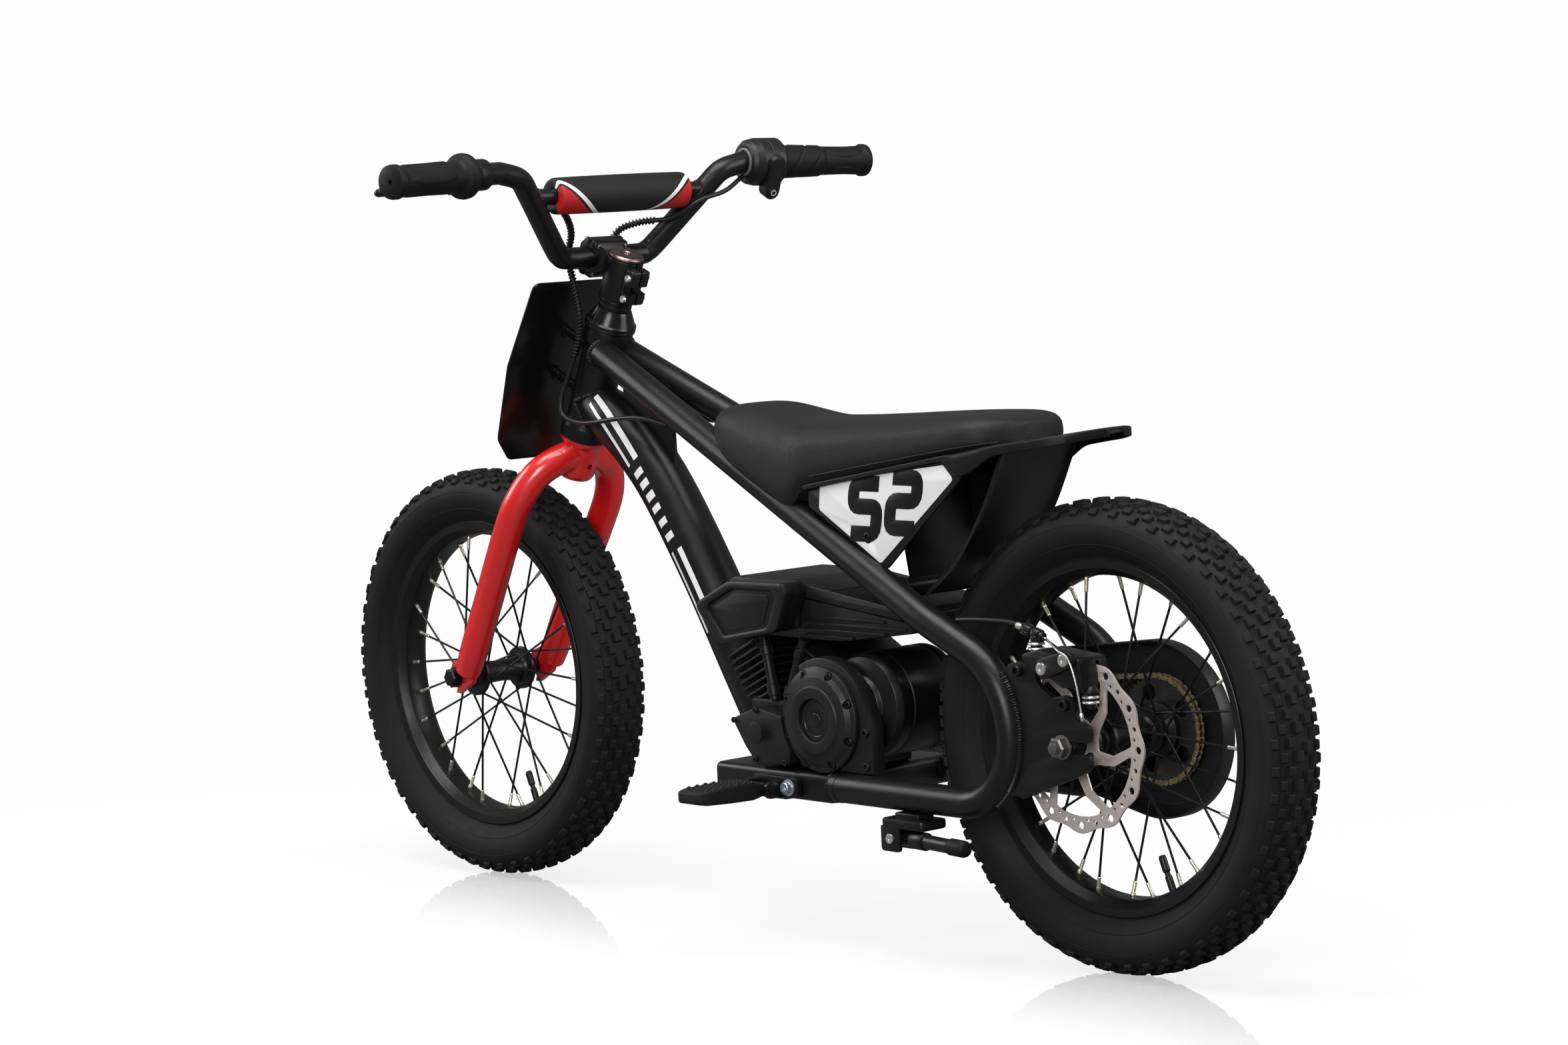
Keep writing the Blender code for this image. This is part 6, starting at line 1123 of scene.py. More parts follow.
# Mudguard: a splash sheet bent round the front of the rear tyre, screwed up under the tail and resting on the bridge.
guard_route = [(0.094, under_base(0.094) - 0.0003), (0.124, 0.417), (0.160, 0.370), (0.198, 0.3395)]
guard_path = curve_through([(x, 0, z) for x, z in guard_route], 10)
guard_rings = []
for i, point in enumerate(guard_path):
    ahead = guard_path[min(i + 1, len(guard_path) - 1)] - guard_path[max(i - 1, 0)]
    out = Vector((ahead.z, 0, -ahead.x)).normalized() * -0.0025
    if i == 0:
        out = Vector((0.0025, 0, -0.0025 * SEAT_LINE_SLOPE))
    half = []
    for y, back in ((0.0, 0.0), (0.020, 0.0), (0.036, 0.0002), (0.041, 0.0010), (0.0445, 0.0026), (0.0468, 0.0046), (0.0480, 0.0060)):
        half.append((y, Vector((-0.7, 0, -0.7)) * back))
    across = [(-y, shift) for y, shift in reversed(half[1:])] + half
    ring = [point + out + shift + Vector((0, y, 0)) for y, shift in across]
    ring += [point + shift + Vector((0, y, 0)) for y, shift in reversed(across)]
    guard_rings.append(ring)
piece("mudguard_sheet", skin(guard_rings, AHEAD), "frame", black_plastic, ["mudguard"])


# Side panels: black plastic plates between the seat base and the loops, each held by one screw.
# A white number field is printed on them, with plain bold digits.
PANEL_Y = 0.0614
panel_corners = [(0.334, seat_line(0.334) - 0.0036), (0.147, seat_line(0.147) - 0.0036), (0.1275, 0.4490), (0.2310, 0.3600),
                 (0.3340, loop_height(0.3340) + 0.0215)]
field_corners = [(0.3168, 0.4373), (0.1512, 0.4588), (0.1384, 0.4462), (0.2383, 0.3652), (0.3195, 0.4125)]
SCREW_X, SCREW_Z = 0.2545, 0.3893
FILM = 0.00025
FIVE = [(1, 1), (0, 1), (0, 0.54), (1, 0.54), (1, 0), (0, 0)]
TWO = [(0, 1), (1, 1), (1, 0.54), (0, 0.54), (0, 0), (1, 0)]
DIGIT_WIDE, DIGIT_TALL, DIGIT_STROKE, DIGIT_LEAN = 0.0330, 0.0470, 0.0150, 0.18
black_film = vinyl("black_film", (0.0060, 0.0060, 0.0060), 0.30)


def stroke(points, width):
    """Closed outline round a polyline of even width."""
    points = [Vector(p) for p in points]
    left, right = [], []
    for i, point in enumerate(points):
        before = (point - points[i - 1]).normalized() if i else (points[1] - point).normalized()
        after = (points[i + 1] - point).normalized() if i < len(points) - 1 else before
        across = Vector((-(before + after).y, (before + after).x)).normalized()
        reach = width / 2 / max(0.4, across.dot(Vector((-after.y, after.x))))
        left.append(tuple(point + across * reach))
        right.append(tuple(point - across * reach))
    return left + list(reversed(right))


def digit(shape, left, foot, reading):
    """Digit printed on a panel; reading is -1 where x runs right to left."""
    line = eased([(u * DIGIT_WIDE, v * DIGIT_TALL) for u, v in shape], 0.0085, 4, False)
    outline = stroke(line, DIGIT_STROKE)
    return [(left + reading * (u + DIGIT_LEAN * v), foot + v) for u, v in outline]


for side_name, side in (("left", 1), ("right", -1)):
    sheet = side_slab(eased(panel_corners, [0.004, 0.010, 0.005, 0.005, 0.004], 5), 0.003, side * PANEL_Y, 0.0007)
    boss = lathe(eased([(1e-7, 0.0), (0.0055, 0.0), (0.0055, -0.004), (1e-7, -0.004)], 0.0005, 2, False), 32,
                 AHEAD @ onto((SCREW_X, side * (PANEL_Y + 0.0018), SCREW_Z), (0, side, 0)))
    piece(side_name + "_panel_plate", joined(sheet, boss), "frame", black_plastic, [side_name + "_side_panel"])
    face = side * (PANEL_Y + 0.0015 + FILM / 2)
    field = side_slab(eased(field_corners, 0.004, 5), FILM, face, 0.00004, [circle(0.0062, 28, (SCREW_X, SCREW_Z))])
    piece(side_name + "_number_field", field, "frame", white_film)
    reading, first = (-1, 0.2775) if side > 0 else (1, 0.1900)
    lines = [digit(FIVE, first, 0.3920, reading), digit(TWO, first + reading * 0.0520, 0.3990, reading)]
    marks = [side_slab(line, FILM, side * (PANEL_Y + 0.0015 + 1.5 * FILM), 0.00004) for line in lines]
    piece(side_name + "_number", joined(*marks), "frame", black_film)
    screw = cap_screw((SCREW_X, side * (PANEL_Y + 0.0012), SCREW_Z), (0, side, 0), 0.0042, 0.0022)
    piece(side_name + "_panel_screw", screw, "frame", satin_black)


# Seat: moulded foam on the base under a stretched vinyl cover with a fine dotted grain and one low seam.
# Its nose rises over the top tubes and wraps down on to them.
SEAT_REAR, SEAT_NOSE = 0.0950, 0.4990


def seat_top(x):
    if x > 0.36:
        return 0.4950 + 0.0138 * math.sin(min(1.0, (x - 0.36) / 0.125) * math.pi / 2) ** 2
    return 0.4950 + 0.0085 * eased_step(x, 0.37, 0.13)


def seat_half_width(x):
    if x > 0.36:
        return 0.0670 - 0.018 * ((x - 0.36) / 0.142) ** 1.6
    return 0.0670 - 0.004 * max(0.0, (0.20 - x) / 0.09) ** 2


def seat_bottom(x):
    on_base = seat_line(x) + 0.0003
    return on_base + (loop_height(x) + 0.002 - on_base) * eased_step(x, 0.336, 0.372)


def seat_ring(x):
    rear = math.sqrt(max(0.0, 1 - (1 - min(1.0, (x - SEAT_REAR) / 0.040)) ** 2))
    nose = math.sqrt(max(0.0, 1 - (1 - min(1.0, (SEAT_NOSE - x) / 0.055)) ** 2))
    wide = min(0.20 + 0.80 * rear, 0.55 + 0.45 * nose)
    full = min(0.30 + 0.70 * rear, 0.45 + 0.55 * nose)
    low, half = seat_bottom(min(x, 0.480)), seat_half_width(x) * wide
    middle = low + 0.45 * (seat_top(x) - low)
    top = middle + (seat_top(x) - middle) * full
    low = middle - (middle - low) * min(1.0, 0.30 + full) if x > 0.48 else low
    outline = [(0.93, 0.0), (1.0, 0.16), (1.0, 0.45), (0.95, 0.70), (0.78, 0.90), (0.45, 0.985), (0.0, 1.0)]
    smooth = curve_through([(w, h, 0) for w, h in outline], 4)
    right = [(half * p.x, low + (top - low) * p.y) for p in smooth]
    left = [(-y, z) for y, z in reversed(right[:-1])]
    return [(x, y, z) for y, z in right + left]


def dotted_vinyl(name, colour):
    """Vinyl embossed with a fine grid of dots, with painted shade in the hollows and a painted highlight on the dot
    tops.
    """
    material, shading = finish(name, colour, 0.50, 0.0, 0.26)
    x, y, z = shading.split(shading.place())
    ahead, _, up = shading.split(shading.node("TexCoord", out="Normal"))
    on_top, at_end = abs(up) > 0.68, abs(ahead) > 0.70
    along, across = x + (y - x) * at_end, z + (y - z) * on_top
    pitch = 2 * math.pi / 0.0024
    dots = (along * pitch).sine() * (across * pitch).sine() * 0.5 + 0.5
    crease = shading.noise(35, 4)
    raise_by(shading, dots + crease * 0.6, 0.00022, 0.8)
    # Painted light: the base colour follows the dot relief, lighter on the raised dots and darker in the hollows
    # between them.
    painted_lit_dots = tuple(1.7 * c for c in colour)
    shading.feed(shading.sockets["Base Color"], shading.mix(dots, (*colour, 1), (*painted_lit_dots, 1)))
    shading.feed(shading.sockets["Roughness"], shading.between(shading.noise(50, 3), 0.44, 0.60))
    return material


seat_vinyl = dotted_vinyl("dotted_vinyl", (0.0072, 0.0072, 0.0075))
seat_stations = [SEAT_REAR + d for d in (0, 0.0008, 0.0022, 0.0042, 0.0070, 0.0105, 0.0150, 0.0205, 0.0270, 0.0340)]
seat_stations += [0.136 + 0.008 * k for k in range(25)] + [0.334 + 0.005 * k for k in range(23)]
seat_stations += [SEAT_NOSE - d for d in (0.0500, 0.0440, 0.0380, 0.0320, 0.0265, 0.0215, 0.0165, 0.0120, 0.0080, 0.0050, 0.0025, 0.0008, 0)]
seat_stations = sorted(set(round(x, 5) for x in seat_stations))
loop_cutters = [pipe(loop_path(side), LOOP_RADIUS + 0.0006, 32, place=AHEAD) for side in (1, -1)]
seat_cover = piece("seat_cover", cut(skin([seat_ring(x) for x in seat_stations], AHEAD), *loop_cutters), "frame", seat_vinyl,
                   ["seat"], crease=50)
seam_line = []
for side in (1, -1):
    run = [Vector(seat_ring(x)[3 if side > 0 else -4]) for x in seat_stations if SEAT_REAR + 0.006 < x < 0.334]
    seam_line += [p + Vector((0, side * 0.0001, 0)) for p in (run if side > 0 else reversed(run))]
piece("seat_seam", pipe(seam_line[:len(seam_line) // 2], 0.0009, 8, place=AHEAD), "frame", seat_vinyl)
piece("seat_seam_right", pipe(seam_line[len(seam_line) // 2:], 0.0009, 8, place=AHEAD), "frame", seat_vinyl)


# Wheels: sixteen-inch spoked wheels with wide knobby tyres, black rims and black spokes laced two-cross.
# Bright nickel nipples hold the spokes to the rim, and a capped valve stands inside it.
TYRE_RADIUS, TYRE_HALF, TREAD_BASE = 0.215, 0.0325, 0.2100
RIM_RADIUS, RIM_HALF, RIM_INNER = 0.1606, 0.0205, 0.1455
FLANGE_Y, FLANGE_RADIUS = 0.030, 0.0225
FRONT_HUB = Matrix.Translation((-REAR_AXLE_X, 0, AXLE_Z)) @ AXLE_TURN
carcass_half = [(0.1548, 0.0166), (0.1580, 0.0180), (0.1622, 0.0183), (0.1680, 0.0238), (0.1770, 0.0300), (0.1870, 0.0325),
                (0.1960, 0.0312), (0.2028, 0.0262), (0.2072, 0.0195), (0.2094, 0.0105), (TREAD_BASE, 0.0)]


def tread_point(lateral):
    """Point and outward normal of the carcass at a lateral distance on its crown."""
    crown = [(r, z) for r, z in carcass_half if r > 0.19]
    size = abs(lateral)
    for (r1, z1), (r2, z2) in zip(crown, crown[1:]):
        if z2 <= size <= z1:
            share = (z1 - size) / (z1 - z2)
            slope = Vector((r2 - r1, z2 - z1)).normalized()
            normal = Vector((-slope.y, slope.x))
            return r1 + (r2 - r1) * share, normal.x, math.copysign(normal.y, lateral)
    return crown[0][0], 0.6, math.copysign(0.8, lateral)


def knob(shape, angle, lateral, length, width, height):
    """Tapered square block with a chamfered top, standing on the carcass."""
    radius, out_r, out_z = tread_point(lateral)
    radial = Vector((math.cos(angle), math.sin(angle), 0))
    round_way = Vector((-math.sin(angle), math.cos(angle), 0))
    out = (radial * out_r + Vector((0, 0, out_z))).normalized()
    over = out.cross(round_way)
    base = radial * radius + Vector((0, 0, lateral))
    rings = []
    for rise, grow in ((-0.0020, 0.0008), (height - 0.0007, 0.0), (height, -0.0007)):
        corners = ((1, 1), (-1, 1), (-1, -1), (1, -1))
        rings.append([shape.verts.new(base + out * rise + round_way * (a * (length / 2 + grow)) + over * (b * (width / 2 + grow)))
                      for a, b in corners])
    for low, high in zip(rings, rings[1:]):
        for i in range(4):
            shape.faces.new((low[i], low[(i + 1) % 4], high[(i + 1) % 4], high[i]))
    shape.faces.new(rings[-1])


KNOB_STATIONS = 54
KNOB_ROWS = ((0.0, 0.0058, 0.0092, 0.0078, 0.0046), (0.5, 0.0138, 0.0080, 0.0068, 0.0042), (0.0, 0.0205, 0.0082, 0.0062, 0.0038),
             (0.5, 0.0262, 0.0084, 0.0062, 0.0034))


def tread(place):
    shape = bmesh.new()
    for k in range(KNOB_STATIONS):
        for shift, lateral, length, width, height in KNOB_ROWS:
            for side in (1, -1):
                stagger = 0.0 if side > 0 else 0.25
                knob(shape, 2 * math.pi * (k + shift + stagger) / KNOB_STATIONS, side * lateral, length, width, height)
    return mesh_of(shape, place)


def rubber(name, colour, roughness, grain):
    """Dull rubber with mould bloom and a fine grain."""
    material, shading = finish(name, colour, roughness, 0.0, 0.20)
    bloom = tuple(1.9 * c for c in colour)
    shading.feed(shading.sockets["Base Color"], shading.mix(shading.noise(30, 5), (*colour, 1), (*bloom, 1)))
    shading.feed(shading.sockets["Roughness"], shading.between(shading.noise(120, 4), roughness - 0.10, roughness + 0.10))
    raise_by(shading, shading.noise(grain, 3), 0.00012, 0.6)
    return material


tyre_rubber = rubber("tyre_rubber", (0.0062, 0.0062, 0.0064), 0.66, 900)
nickel = metal("nickel_plate", (0.74, 0.69, 0.58), 0.26, 0.0, 0.85)
rim_half = [(0.1540, 0.0185), (0.1598, 0.0185), (0.1606, 0.0190), (0.1606, 0.0200), (0.1600, 0.0205), (0.1528, 0.0196), (0.1518, 0.0180),
            (0.1466, 0.0125), (0.1455, 0.0100)]
rim_profile = rim_half + [(r, -z) for r, z in reversed(rim_half)]


def spoke_lines():
    """Root on the flange and tip at the rim of every spoke, two-cross, in the hub's measures."""
    step = 2 * math.pi / 14
    lines = []
    for side in (1, -1):
        for k in range(14):
            trailing = k % 2
            rim_angle = k * step + (0 if side > 0 else step / 2)
            hub_angle = rim_angle + (2 * step if trailing else -2 * step)
            stagger = 0.0016 if trailing else -0.0016
            root = Vector((math.cos(hub_angle) * 0.0195, math.sin(hub_angle) * 0.0195, side * (FLANGE_Y + stagger)))
            tip = Vector((math.cos(rim_angle) * 0.1452, math.sin(rim_angle) * 0.1452, side * (0.0037 + stagger)))
            lines.append((root, tip))
    return lines


def wheel(name, body, place):
    carcass = curve_through([(r, z, 0) for r, z in carcass_half], 3)
    half = [(p.x, p.y) for p in carcass]
    side_ribs = lathe(half + [(r, -z) for r, z in reversed(half[:-1])], 128, place, True)
    rings = [lathe(eased([(r - 0.0006, z), (r, z + 0.0007), (r + 0.0006, z)], 0.0003, 2, False), 128, place)
             for r, z in ((0.1745, 0.02855), (0.1745, -0.02855 - 0.0007), (0.1925, 0.0319), (0.1925, -0.0319 - 0.0007))]
    piece(name + "_tyre_carcass", joined(side_ribs, tread(place), *rings), body, tyre_rubber, [name + "_tyre"], crease=28)
    hoop = lathe(rim_profile, 128, place, True)
    angle = math.radians(112)
    out = Vector((math.cos(angle), math.sin(angle), 0))
    valve_at = onto(out * (RIM_INNER + 0.003), -out)
    stem = lathe(eased([(0.0034, 0), (0.0034, 0.017), (0.0026, 0.018), (0.0026, 0.021), (0.0033, 0.0215), (0.0036, 0.023), (0.0036, 0.034),
                        (0.0028, 0.0365), (1e-7, 0.0370)], 0.0004, 2, False), 20, place @ valve_at)
    piece(name + "_rim_hoop", joined(hoop, stem), body, satin_black, [name + "_rim"], crease=30)
    spokes, nipples = [], []
    for root, tip in spoke_lines():
        ahead = (tip - root).normalized()
        spokes.append(pipe([root, root + ahead * 0.002, tip - ahead * 0.008], 0.00115, 8, place=place))
        nipples.append(lathe(eased([(1e-7, 0.0140), (0.0012, 0.0140), (0.0018, 0.0130), (0.0018, 0.0035), (0.0022, 0.0028), (0.0022, 0.0)],
                                   0.0003, 1, False), 10, place @ onto(tip, -ahead)))
    piece(name + "_spoke_nipples", joined(*nipples), body, nickel)
    return spokes


def flange(end, end_radius):
    return [(end_radius, end), (0.0125, FLANGE_Y + 0.0055), (0.0150, FLANGE_Y + 0.0028), (FLANGE_RADIUS, FLANGE_Y + 0.0022),
            (FLANGE_RADIUS, FLANGE_Y - 0.0022), (0.0150, FLANGE_Y - 0.0028), (0.0125, FLANGE_Y - 0.0055), (0.0112, 0.004)]


def hub_shell(left, right, place):
    profile = left + [(r, -z) for r, z in reversed(right)]
    return lathe(eased(profile + [(0.0056, profile[-1][1]), (0.0056, profile[0][1])], 0.0008), 56, place, True)


front_spokes = wheel("front", "front_wheel", FRONT_HUB)
front_shell = hub_shell(flange(0.0470, 0.0095), flange(0.0470, 0.0095), FRONT_HUB)
piece("front_hub_shell", joined(front_shell, *front_spokes), "front_wheel", satin_black, ["front_hub"])
rear_spokes = wheel("rear", "rear_wheel", REAR_HUB)
rear_left = [(0.0095, 0.0681), (0.0100, 0.0557), (0.0240, 0.0557), (0.0240, 0.0507)] + flange(0, 0)[1:]
rear_right = [(0.0095, 0.0681), (0.0100, 0.0472), (0.0260, 0.0472), (0.0260, 0.0422)] + flange(0, 0)[1:]
rear_shell = hub_shell(rear_left, rear_right, REAR_HUB)
piece("rear_hub_shell", joined(rear_shell, *rear_spokes), "rear_wheel", satin_black, ["rear_hub"])


# Axles: plated steel with hexagon nuts and washers outside the dropouts and cone nuts inside them.
def axle(place, seat, thickness, end):
    parts = [lathe(eased([(1e-7, end), (0.0050, end), (0.0050, -end), (1e-7, -end)], 0.0008, 2, False), 28, place)]
    for side in (1, -1):
        face = side * (seat + thickness + 0.0003)
        parts.append(washer((0, 0, face), (0, 0, side), 0.0110, 0.0016, place))
        parts.append(hexagon((0, 0, face + side * 0.0016), (0, 0, side), 0.0098, 0.0084, place))
        parts.append(hexagon((0, 0, side * (seat - 0.0026)), (0, 0, side), 0.0085, 0.0023, place))
        for thread in range(3):
            parts.append(washer((0, 0, side * (end - 0.0012 - 0.0010 * thread)), (0, 0, side), 0.0052, 0.0005, place))
    return joined(*parts)


dull_zinc = metal("dull_zinc", (0.20, 0.19, 0.185), 0.36, 0.0, 0.85)
black_zinc = metal("black_zinc", (0.045, 0.045, 0.047), 0.34)
piece("front_axle_nuts", axle(FRONT_HUB, 0.050, 0.006, 0.0665), "steering", black_zinc, ["front_axle"])
piece("rear_axle_nuts", axle(REAR_HUB, 0.0711, 0.006, 0.0911), "frame", dull_zinc, ["rear_axle"])


# Brake disc: a wavy stainless ring with drilled holes on six swept arms, held to the hub by socket screws.
DISC_Y, DISC_RADIUS, DISC_BAND = 0.057, 0.078, 0.0135
disc_line = []
for i in range(192):
    angle = 2 * math.pi * i / 192
    radius = DISC_RADIUS + 0.0018 * math.cos(12 * angle)
    disc_line.append((radius * math.cos(angle), radius * math.sin(angle)))
disc_holes = [circle(0.0108, 40)]
band, core, gap = DISC_RADIUS - DISC_BAND, 0.0245, 2 * math.pi / 6
for k in range(6):
    window = [(share, band) for share in (0.04, 0.18, 0.33, 0.48, 0.63, 0.78, 0.92)]
    window += [(share - 0.10, r) for share, r in ((0.76, 0.72 * band), (0.57, 1.25 * core), (0.38, 1.02 * core), (0.24, core),
                                                  (0.09, core), (-0.06, core), (-0.06, 0.66 * band))]
    corners = [(r * math.cos((k + share) * gap), r * math.sin((k + share) * gap)) for share, r in window]
    disc_holes.append(eased(corners, 0.0030, 3))
for k in range(24):
    angle = 2 * math.pi * k / 24
    size, reach = (0.0034, DISC_RADIUS - 0.0055) if k % 2 == 0 else (0.0022, DISC_RADIUS - 0.0072)
    disc_holes.append(circle(size, 16, (reach * math.cos(angle), reach * math.sin(angle))))
    between_them, row = angle + math.pi / 24, DISC_RADIUS - 0.0098
    disc_holes.append(circle(0.0016, 12, (row * math.cos(between_them), row * math.sin(between_them))))
disc_steel = metal("disc_steel", (0.72, 0.635, 0.60), 0.30, 0.0, 0.55)
rotor = slab(disc_line, 0.002, 0.0003, disc_holes, REAR_HUB @ Matrix.Translation((0, 0, DISC_Y)))
piece("brake_disc", rotor, "rear_wheel", disc_steel, ["brake_rotor"])
rotor_screws = [cap_screw((0.0185 * math.cos(t), 0.0185 * math.sin(t), DISC_Y + 0.001), (0, 0, 1), 0.0034, 0.0030, REAR_HUB)
                for t in [math.radians(30 + 60 * k) for k in range(6)]]
piece("disc_screws", joined(*rotor_screws), "rear_wheel", satin_black)


# Headset and number board: a gloss conical race closes the head tube's top, turned with two fine steps.
# The plain plastic board stands in front of the head on two posts, each held by a washer and screw.
race_profile = [(0.0174, 0.4401), (0.0195, 0.4363), (0.0243, 0.4264), (0.0262, 0.4247), (0.0262, 0.4221),
                (0.0256, 0.4217), (0.0262, 0.4213), (0.0262, 0.4186), (0.0146, 0.4186), (0.0146, 0.4401)]
piece("headset_race", lathe(eased(race_profile, 0.0004), 72, STEER, True), "frame", gloss_black,
      ["upper_headset"])

BOARD_X, BOARD_SHEET = 0.0602, 0.003
board_corners = [(-0.040, 0.244), (0.040, 0.244), (0.060, 0.268), (0.0690, 0.352), (0.0590, 0.4430),
                 (-0.0590, 0.4430), (-0.0690, 0.352), (-0.060, 0.268)]
board_line = eased(board_corners, [0.010, 0.010, 0.016, 0.020, 0.010, 0.010, 0.020, 0.016], 6)
board_place = STEER @ Matrix(((0, 0, 1, BOARD_X), (1, 0, 0, 0), (0, 1, 0, 0), (0, 0, 0, 1)))
board = [slab(board_line, BOARD_SHEET, 0.0012, place=board_place)]
for height in (0.340, 0.388):
    board.append(pipe([(HEAD_RADIUS + 0.0005, 0, height), (BOARD_X, 0, height)], 0.006, 28, place=STEER))
    board.append(washer((HEAD_RADIUS + 0.0013, 0, height), (1, 0, 0), 0.0085, 0.0030, STEER))
    board.append(washer((BOARD_X - 0.0015, 0, height), (-1, 0, 0), 0.0090, 0.0016, STEER))
    board.append(cap_screw((BOARD_X + 0.0012, 0, height), (1, 0, 0), 0.0050, 0.0012, STEER))
piece("number_board", joined(*board), "frame", gloss_black, ["front_number_plate"])


# Fork: a crown under the head with two bent tubular legs running into it, sprayed gloss red.
# Flat dropouts are welded into the leg ends, and the steerer runs up through the head to the stem.
FORK_OFFSET, LEG_RADIUS, LEG_Y, LEG_BULGE = 0.045, 0.0152, 0.056, 0.0615
CROWN_TOP, STEERER_RADIUS, STEM_TOP = 0.296, 0.0143, 0.4944


def blended(mesh, grain, passes):
    """Overlapping solids run into one skin with soft fillets."""
    obj = bpy.data.objects.new("work", mesh)
    skinning = obj.modifiers.new("skin", "REMESH")
    skinning.mode = "VOXEL"
    skinning.voxel_size = grain
    easing = obj.modifiers.new("ease", "SMOOTH")
    easing.factor = 0.5
    easing.iterations = passes
    return evaluated(obj)


def rod(first, last, radius, sides=32, place=Matrix()):
    return pipe([Vector(first), Vector(last)], radius, sides, place=place)


def gloss_paint(name, colour):
    """Sprayed enamel under clear lacquer, with faint orange peel."""
    material, shading = finish(name, colour, 0.30, 0.0, 0.5, 0.7, 0.09)
    deep = tuple(0.86 * c for c in colour)
    shading.feed(shading.sockets["Base Color"], shading.mix(shading.noise(18, 3), (*deep, 1), (*colour, 1)))
    shading.feed(shading.sockets["Roughness"], shading.between(shading.noise(70, 3), 0.25, 0.37))
    raise_by(shading, shading.noise(420, 2), 0.00005, 0.4)
    return material


red_enamel = gloss_paint("red_enamel", (0.72, 0.010, 0.012))
crown = lathe([(1e-7, STEM_TOP - 0.002), (STEERER_RADIUS, STEM_TOP - 0.002), (STEERER_RADIUS, CROWN_TOP),
               (0.0240, CROWN_TOP), (0.0236, CROWN_TOP - 0.004), (0.0200, CROWN_TOP - 0.0085), (0.0195, 0.258),
               (0.0165, 0.252), (1e-7, 0.252)], 64, STEER)
crown_foot = lathe([(1e-7, 0.2935), (0.0195, 0.2935), (0.0195, 0.2565), (0.0165, 0.2520), (1e-7, 0.2520)], 64, STEER)
legs, dropouts = [], []
hub_room = lathe([(1e-7, -0.0497), (0.025, -0.0497), (0.025, 0.0497), (1e-7, 0.0497)], 64, FRONT_HUB)
nut_rooms = [lathe([(1e-7, side * 0.056), (0.0125, side * 0.056), (0.0125, side * 0.090), (1e-7, side * 0.090)],
                   48, FRONT_HUB) for side in (1, -1)]
for side in (1, -1):
    route = [(-0.002, 0.006, 0.2790), (0.000, 0.028, 0.2705), (0.004, 0.047, 0.2540), (0.0075, 0.97 * LEG_BULGE, 0.2240),
             (0.0120, LEG_BULGE, 0.1850), (0.0220, 0.0571, 0.0950), (0.0290, LEG_Y, 0.0130)]
    line = curve_through([(x, side * y, z) for x, y, z in route], 10)
    taper = [1.0 if i < len(line) - 6 else 1.0 - 0.15 * ((i - len(line) + 6) / 5) ** 2 for i in range(len(line))]
    legs.append(pipe(line, LEG_RADIUS, 40, taper, STEER))
    outline = [(0.0180, 0.030), (0.0420, 0.026), (0.0560, 0.012), (0.0580, -0.004), (0.0540, -0.014), (0.0503, -0.016)]
    outline += arc((FORK_OFFSET, 0), 0.0053, 0, 180, 12) + [(0.0397, -0.016), (0.0340, -0.014), (0.0190, 0.006)]
    dropouts.append(side_slab(outline, 0.006, side * 0.053, 0.0006, place=STEER))
screw_hole = rod((-0.040, 0, 0.2700), (-0.0150, 0, 0.2700), 0.0030, 24, STEER)
fork_skin = cut(blended(joined(crown_foot, *legs), 0.0013, 8), hub_room, *nut_rooms, screw_hole)
piece("fork_legs", joined(cut(crown, screw_hole), fork_skin, *dropouts), "steering", red_enamel, ["fork"])


# Stem: a forged clamp on the steerer over a turned spacer, split behind and drawn up by two zinc screws.
# Four screws draw its face plate on to the bar, and an anodised cap closes the top.
STEM_REACH, BAR_Z, BAR_RADIUS = 0.0334, 0.4814, 0.0111
STEM_RADIUS, STEM_LOW, SPACER_TOP = 0.0185, 0.4404, 0.4504
CLAMP_HALF_WIDTH, CLAMP_HALF_HEIGHT = 0.0215, 0.0195
bar_room = rod((STEM_REACH, -0.1, BAR_Z), (STEM_REACH, 0.1, BAR_Z), BAR_RADIUS + 0.0003, 48, STEER)
collar_profile = [(STEM_RADIUS, STEM_TOP), (STEM_RADIUS, SPACER_TOP), (0.0166, SPACER_TOP - 0.0002),
                  (0.0170, SPACER_TOP - 0.0010), (0.0170, STEM_LOW + 0.0054), (0.0165, STEM_LOW + 0.0050),
                  (0.0170, STEM_LOW + 0.0046), (0.0170, STEM_LOW), (0.0146, STEM_LOW), (0.0146, STEM_TOP)]
collar = lathe(eased(collar_profile, 0.0007), 64, STEER, True)


def clamp_section(x, half_width, half_height):
    corners = [(-half_width, -half_height), (half_width, -half_height), (half_width, half_height), (-half_width, half_height)]
    return [(x, y, BAR_Z + z) for y, z in eased(corners, 0.0045, 4)]


neck_rings = [clamp_section(x, w, h) for x, w, h in ((0.0155, 0.0110, 0.0110), (0.0185, 0.0112, 0.0116),
                                                     (0.0215, 0.0140, 0.0142), (0.0245, 0.0205, 0.0186),
                                                     (0.0262, 0.0215, 0.0195), (0.0329, 0.0215, 0.0195))]
lug_block = block((-0.0285, -0.012, SPACER_TOP + 0.003), (-0.0158, 0.012, STEM_TOP - 0.004), 0.003, 4, STEER)
split = block((-0.040, -0.0012, SPACER_TOP - 0.002), (-0.0149, 0.0012, STEM_TOP + 0.002), 0.0002, 1, STEER)
notch = block((-0.040, -0.030, SPACER_TOP + 0.0155), (-0.0190, 0.030, SPACER_TOP + 0.0235), 0.0010, 2, STEER)
stem_parts = [cut(collar, split), cut(skin(neck_rings, STEER), bar_room), cut(lug_block, split, notch)]
piece("stem_clamp", joined(*stem_parts), "steering", satin_black, ["stem"])
pinch_screws = [cap_screw((-0.0235, 0.0116, z), (0, 1, 0), 0.0036, 0.0030, STEER)
                for z in (SPACER_TOP + 0.0093, SPACER_TOP + 0.0318)]
pinch_screws += [washer((-0.0235, -0.0116, z), (0, -1, 0), 0.0026, 0.0020, STEER)
                 for z in (SPACER_TOP + 0.0093, SPACER_TOP + 0.0318)]
plate_back = STEM_REACH + 0.0005
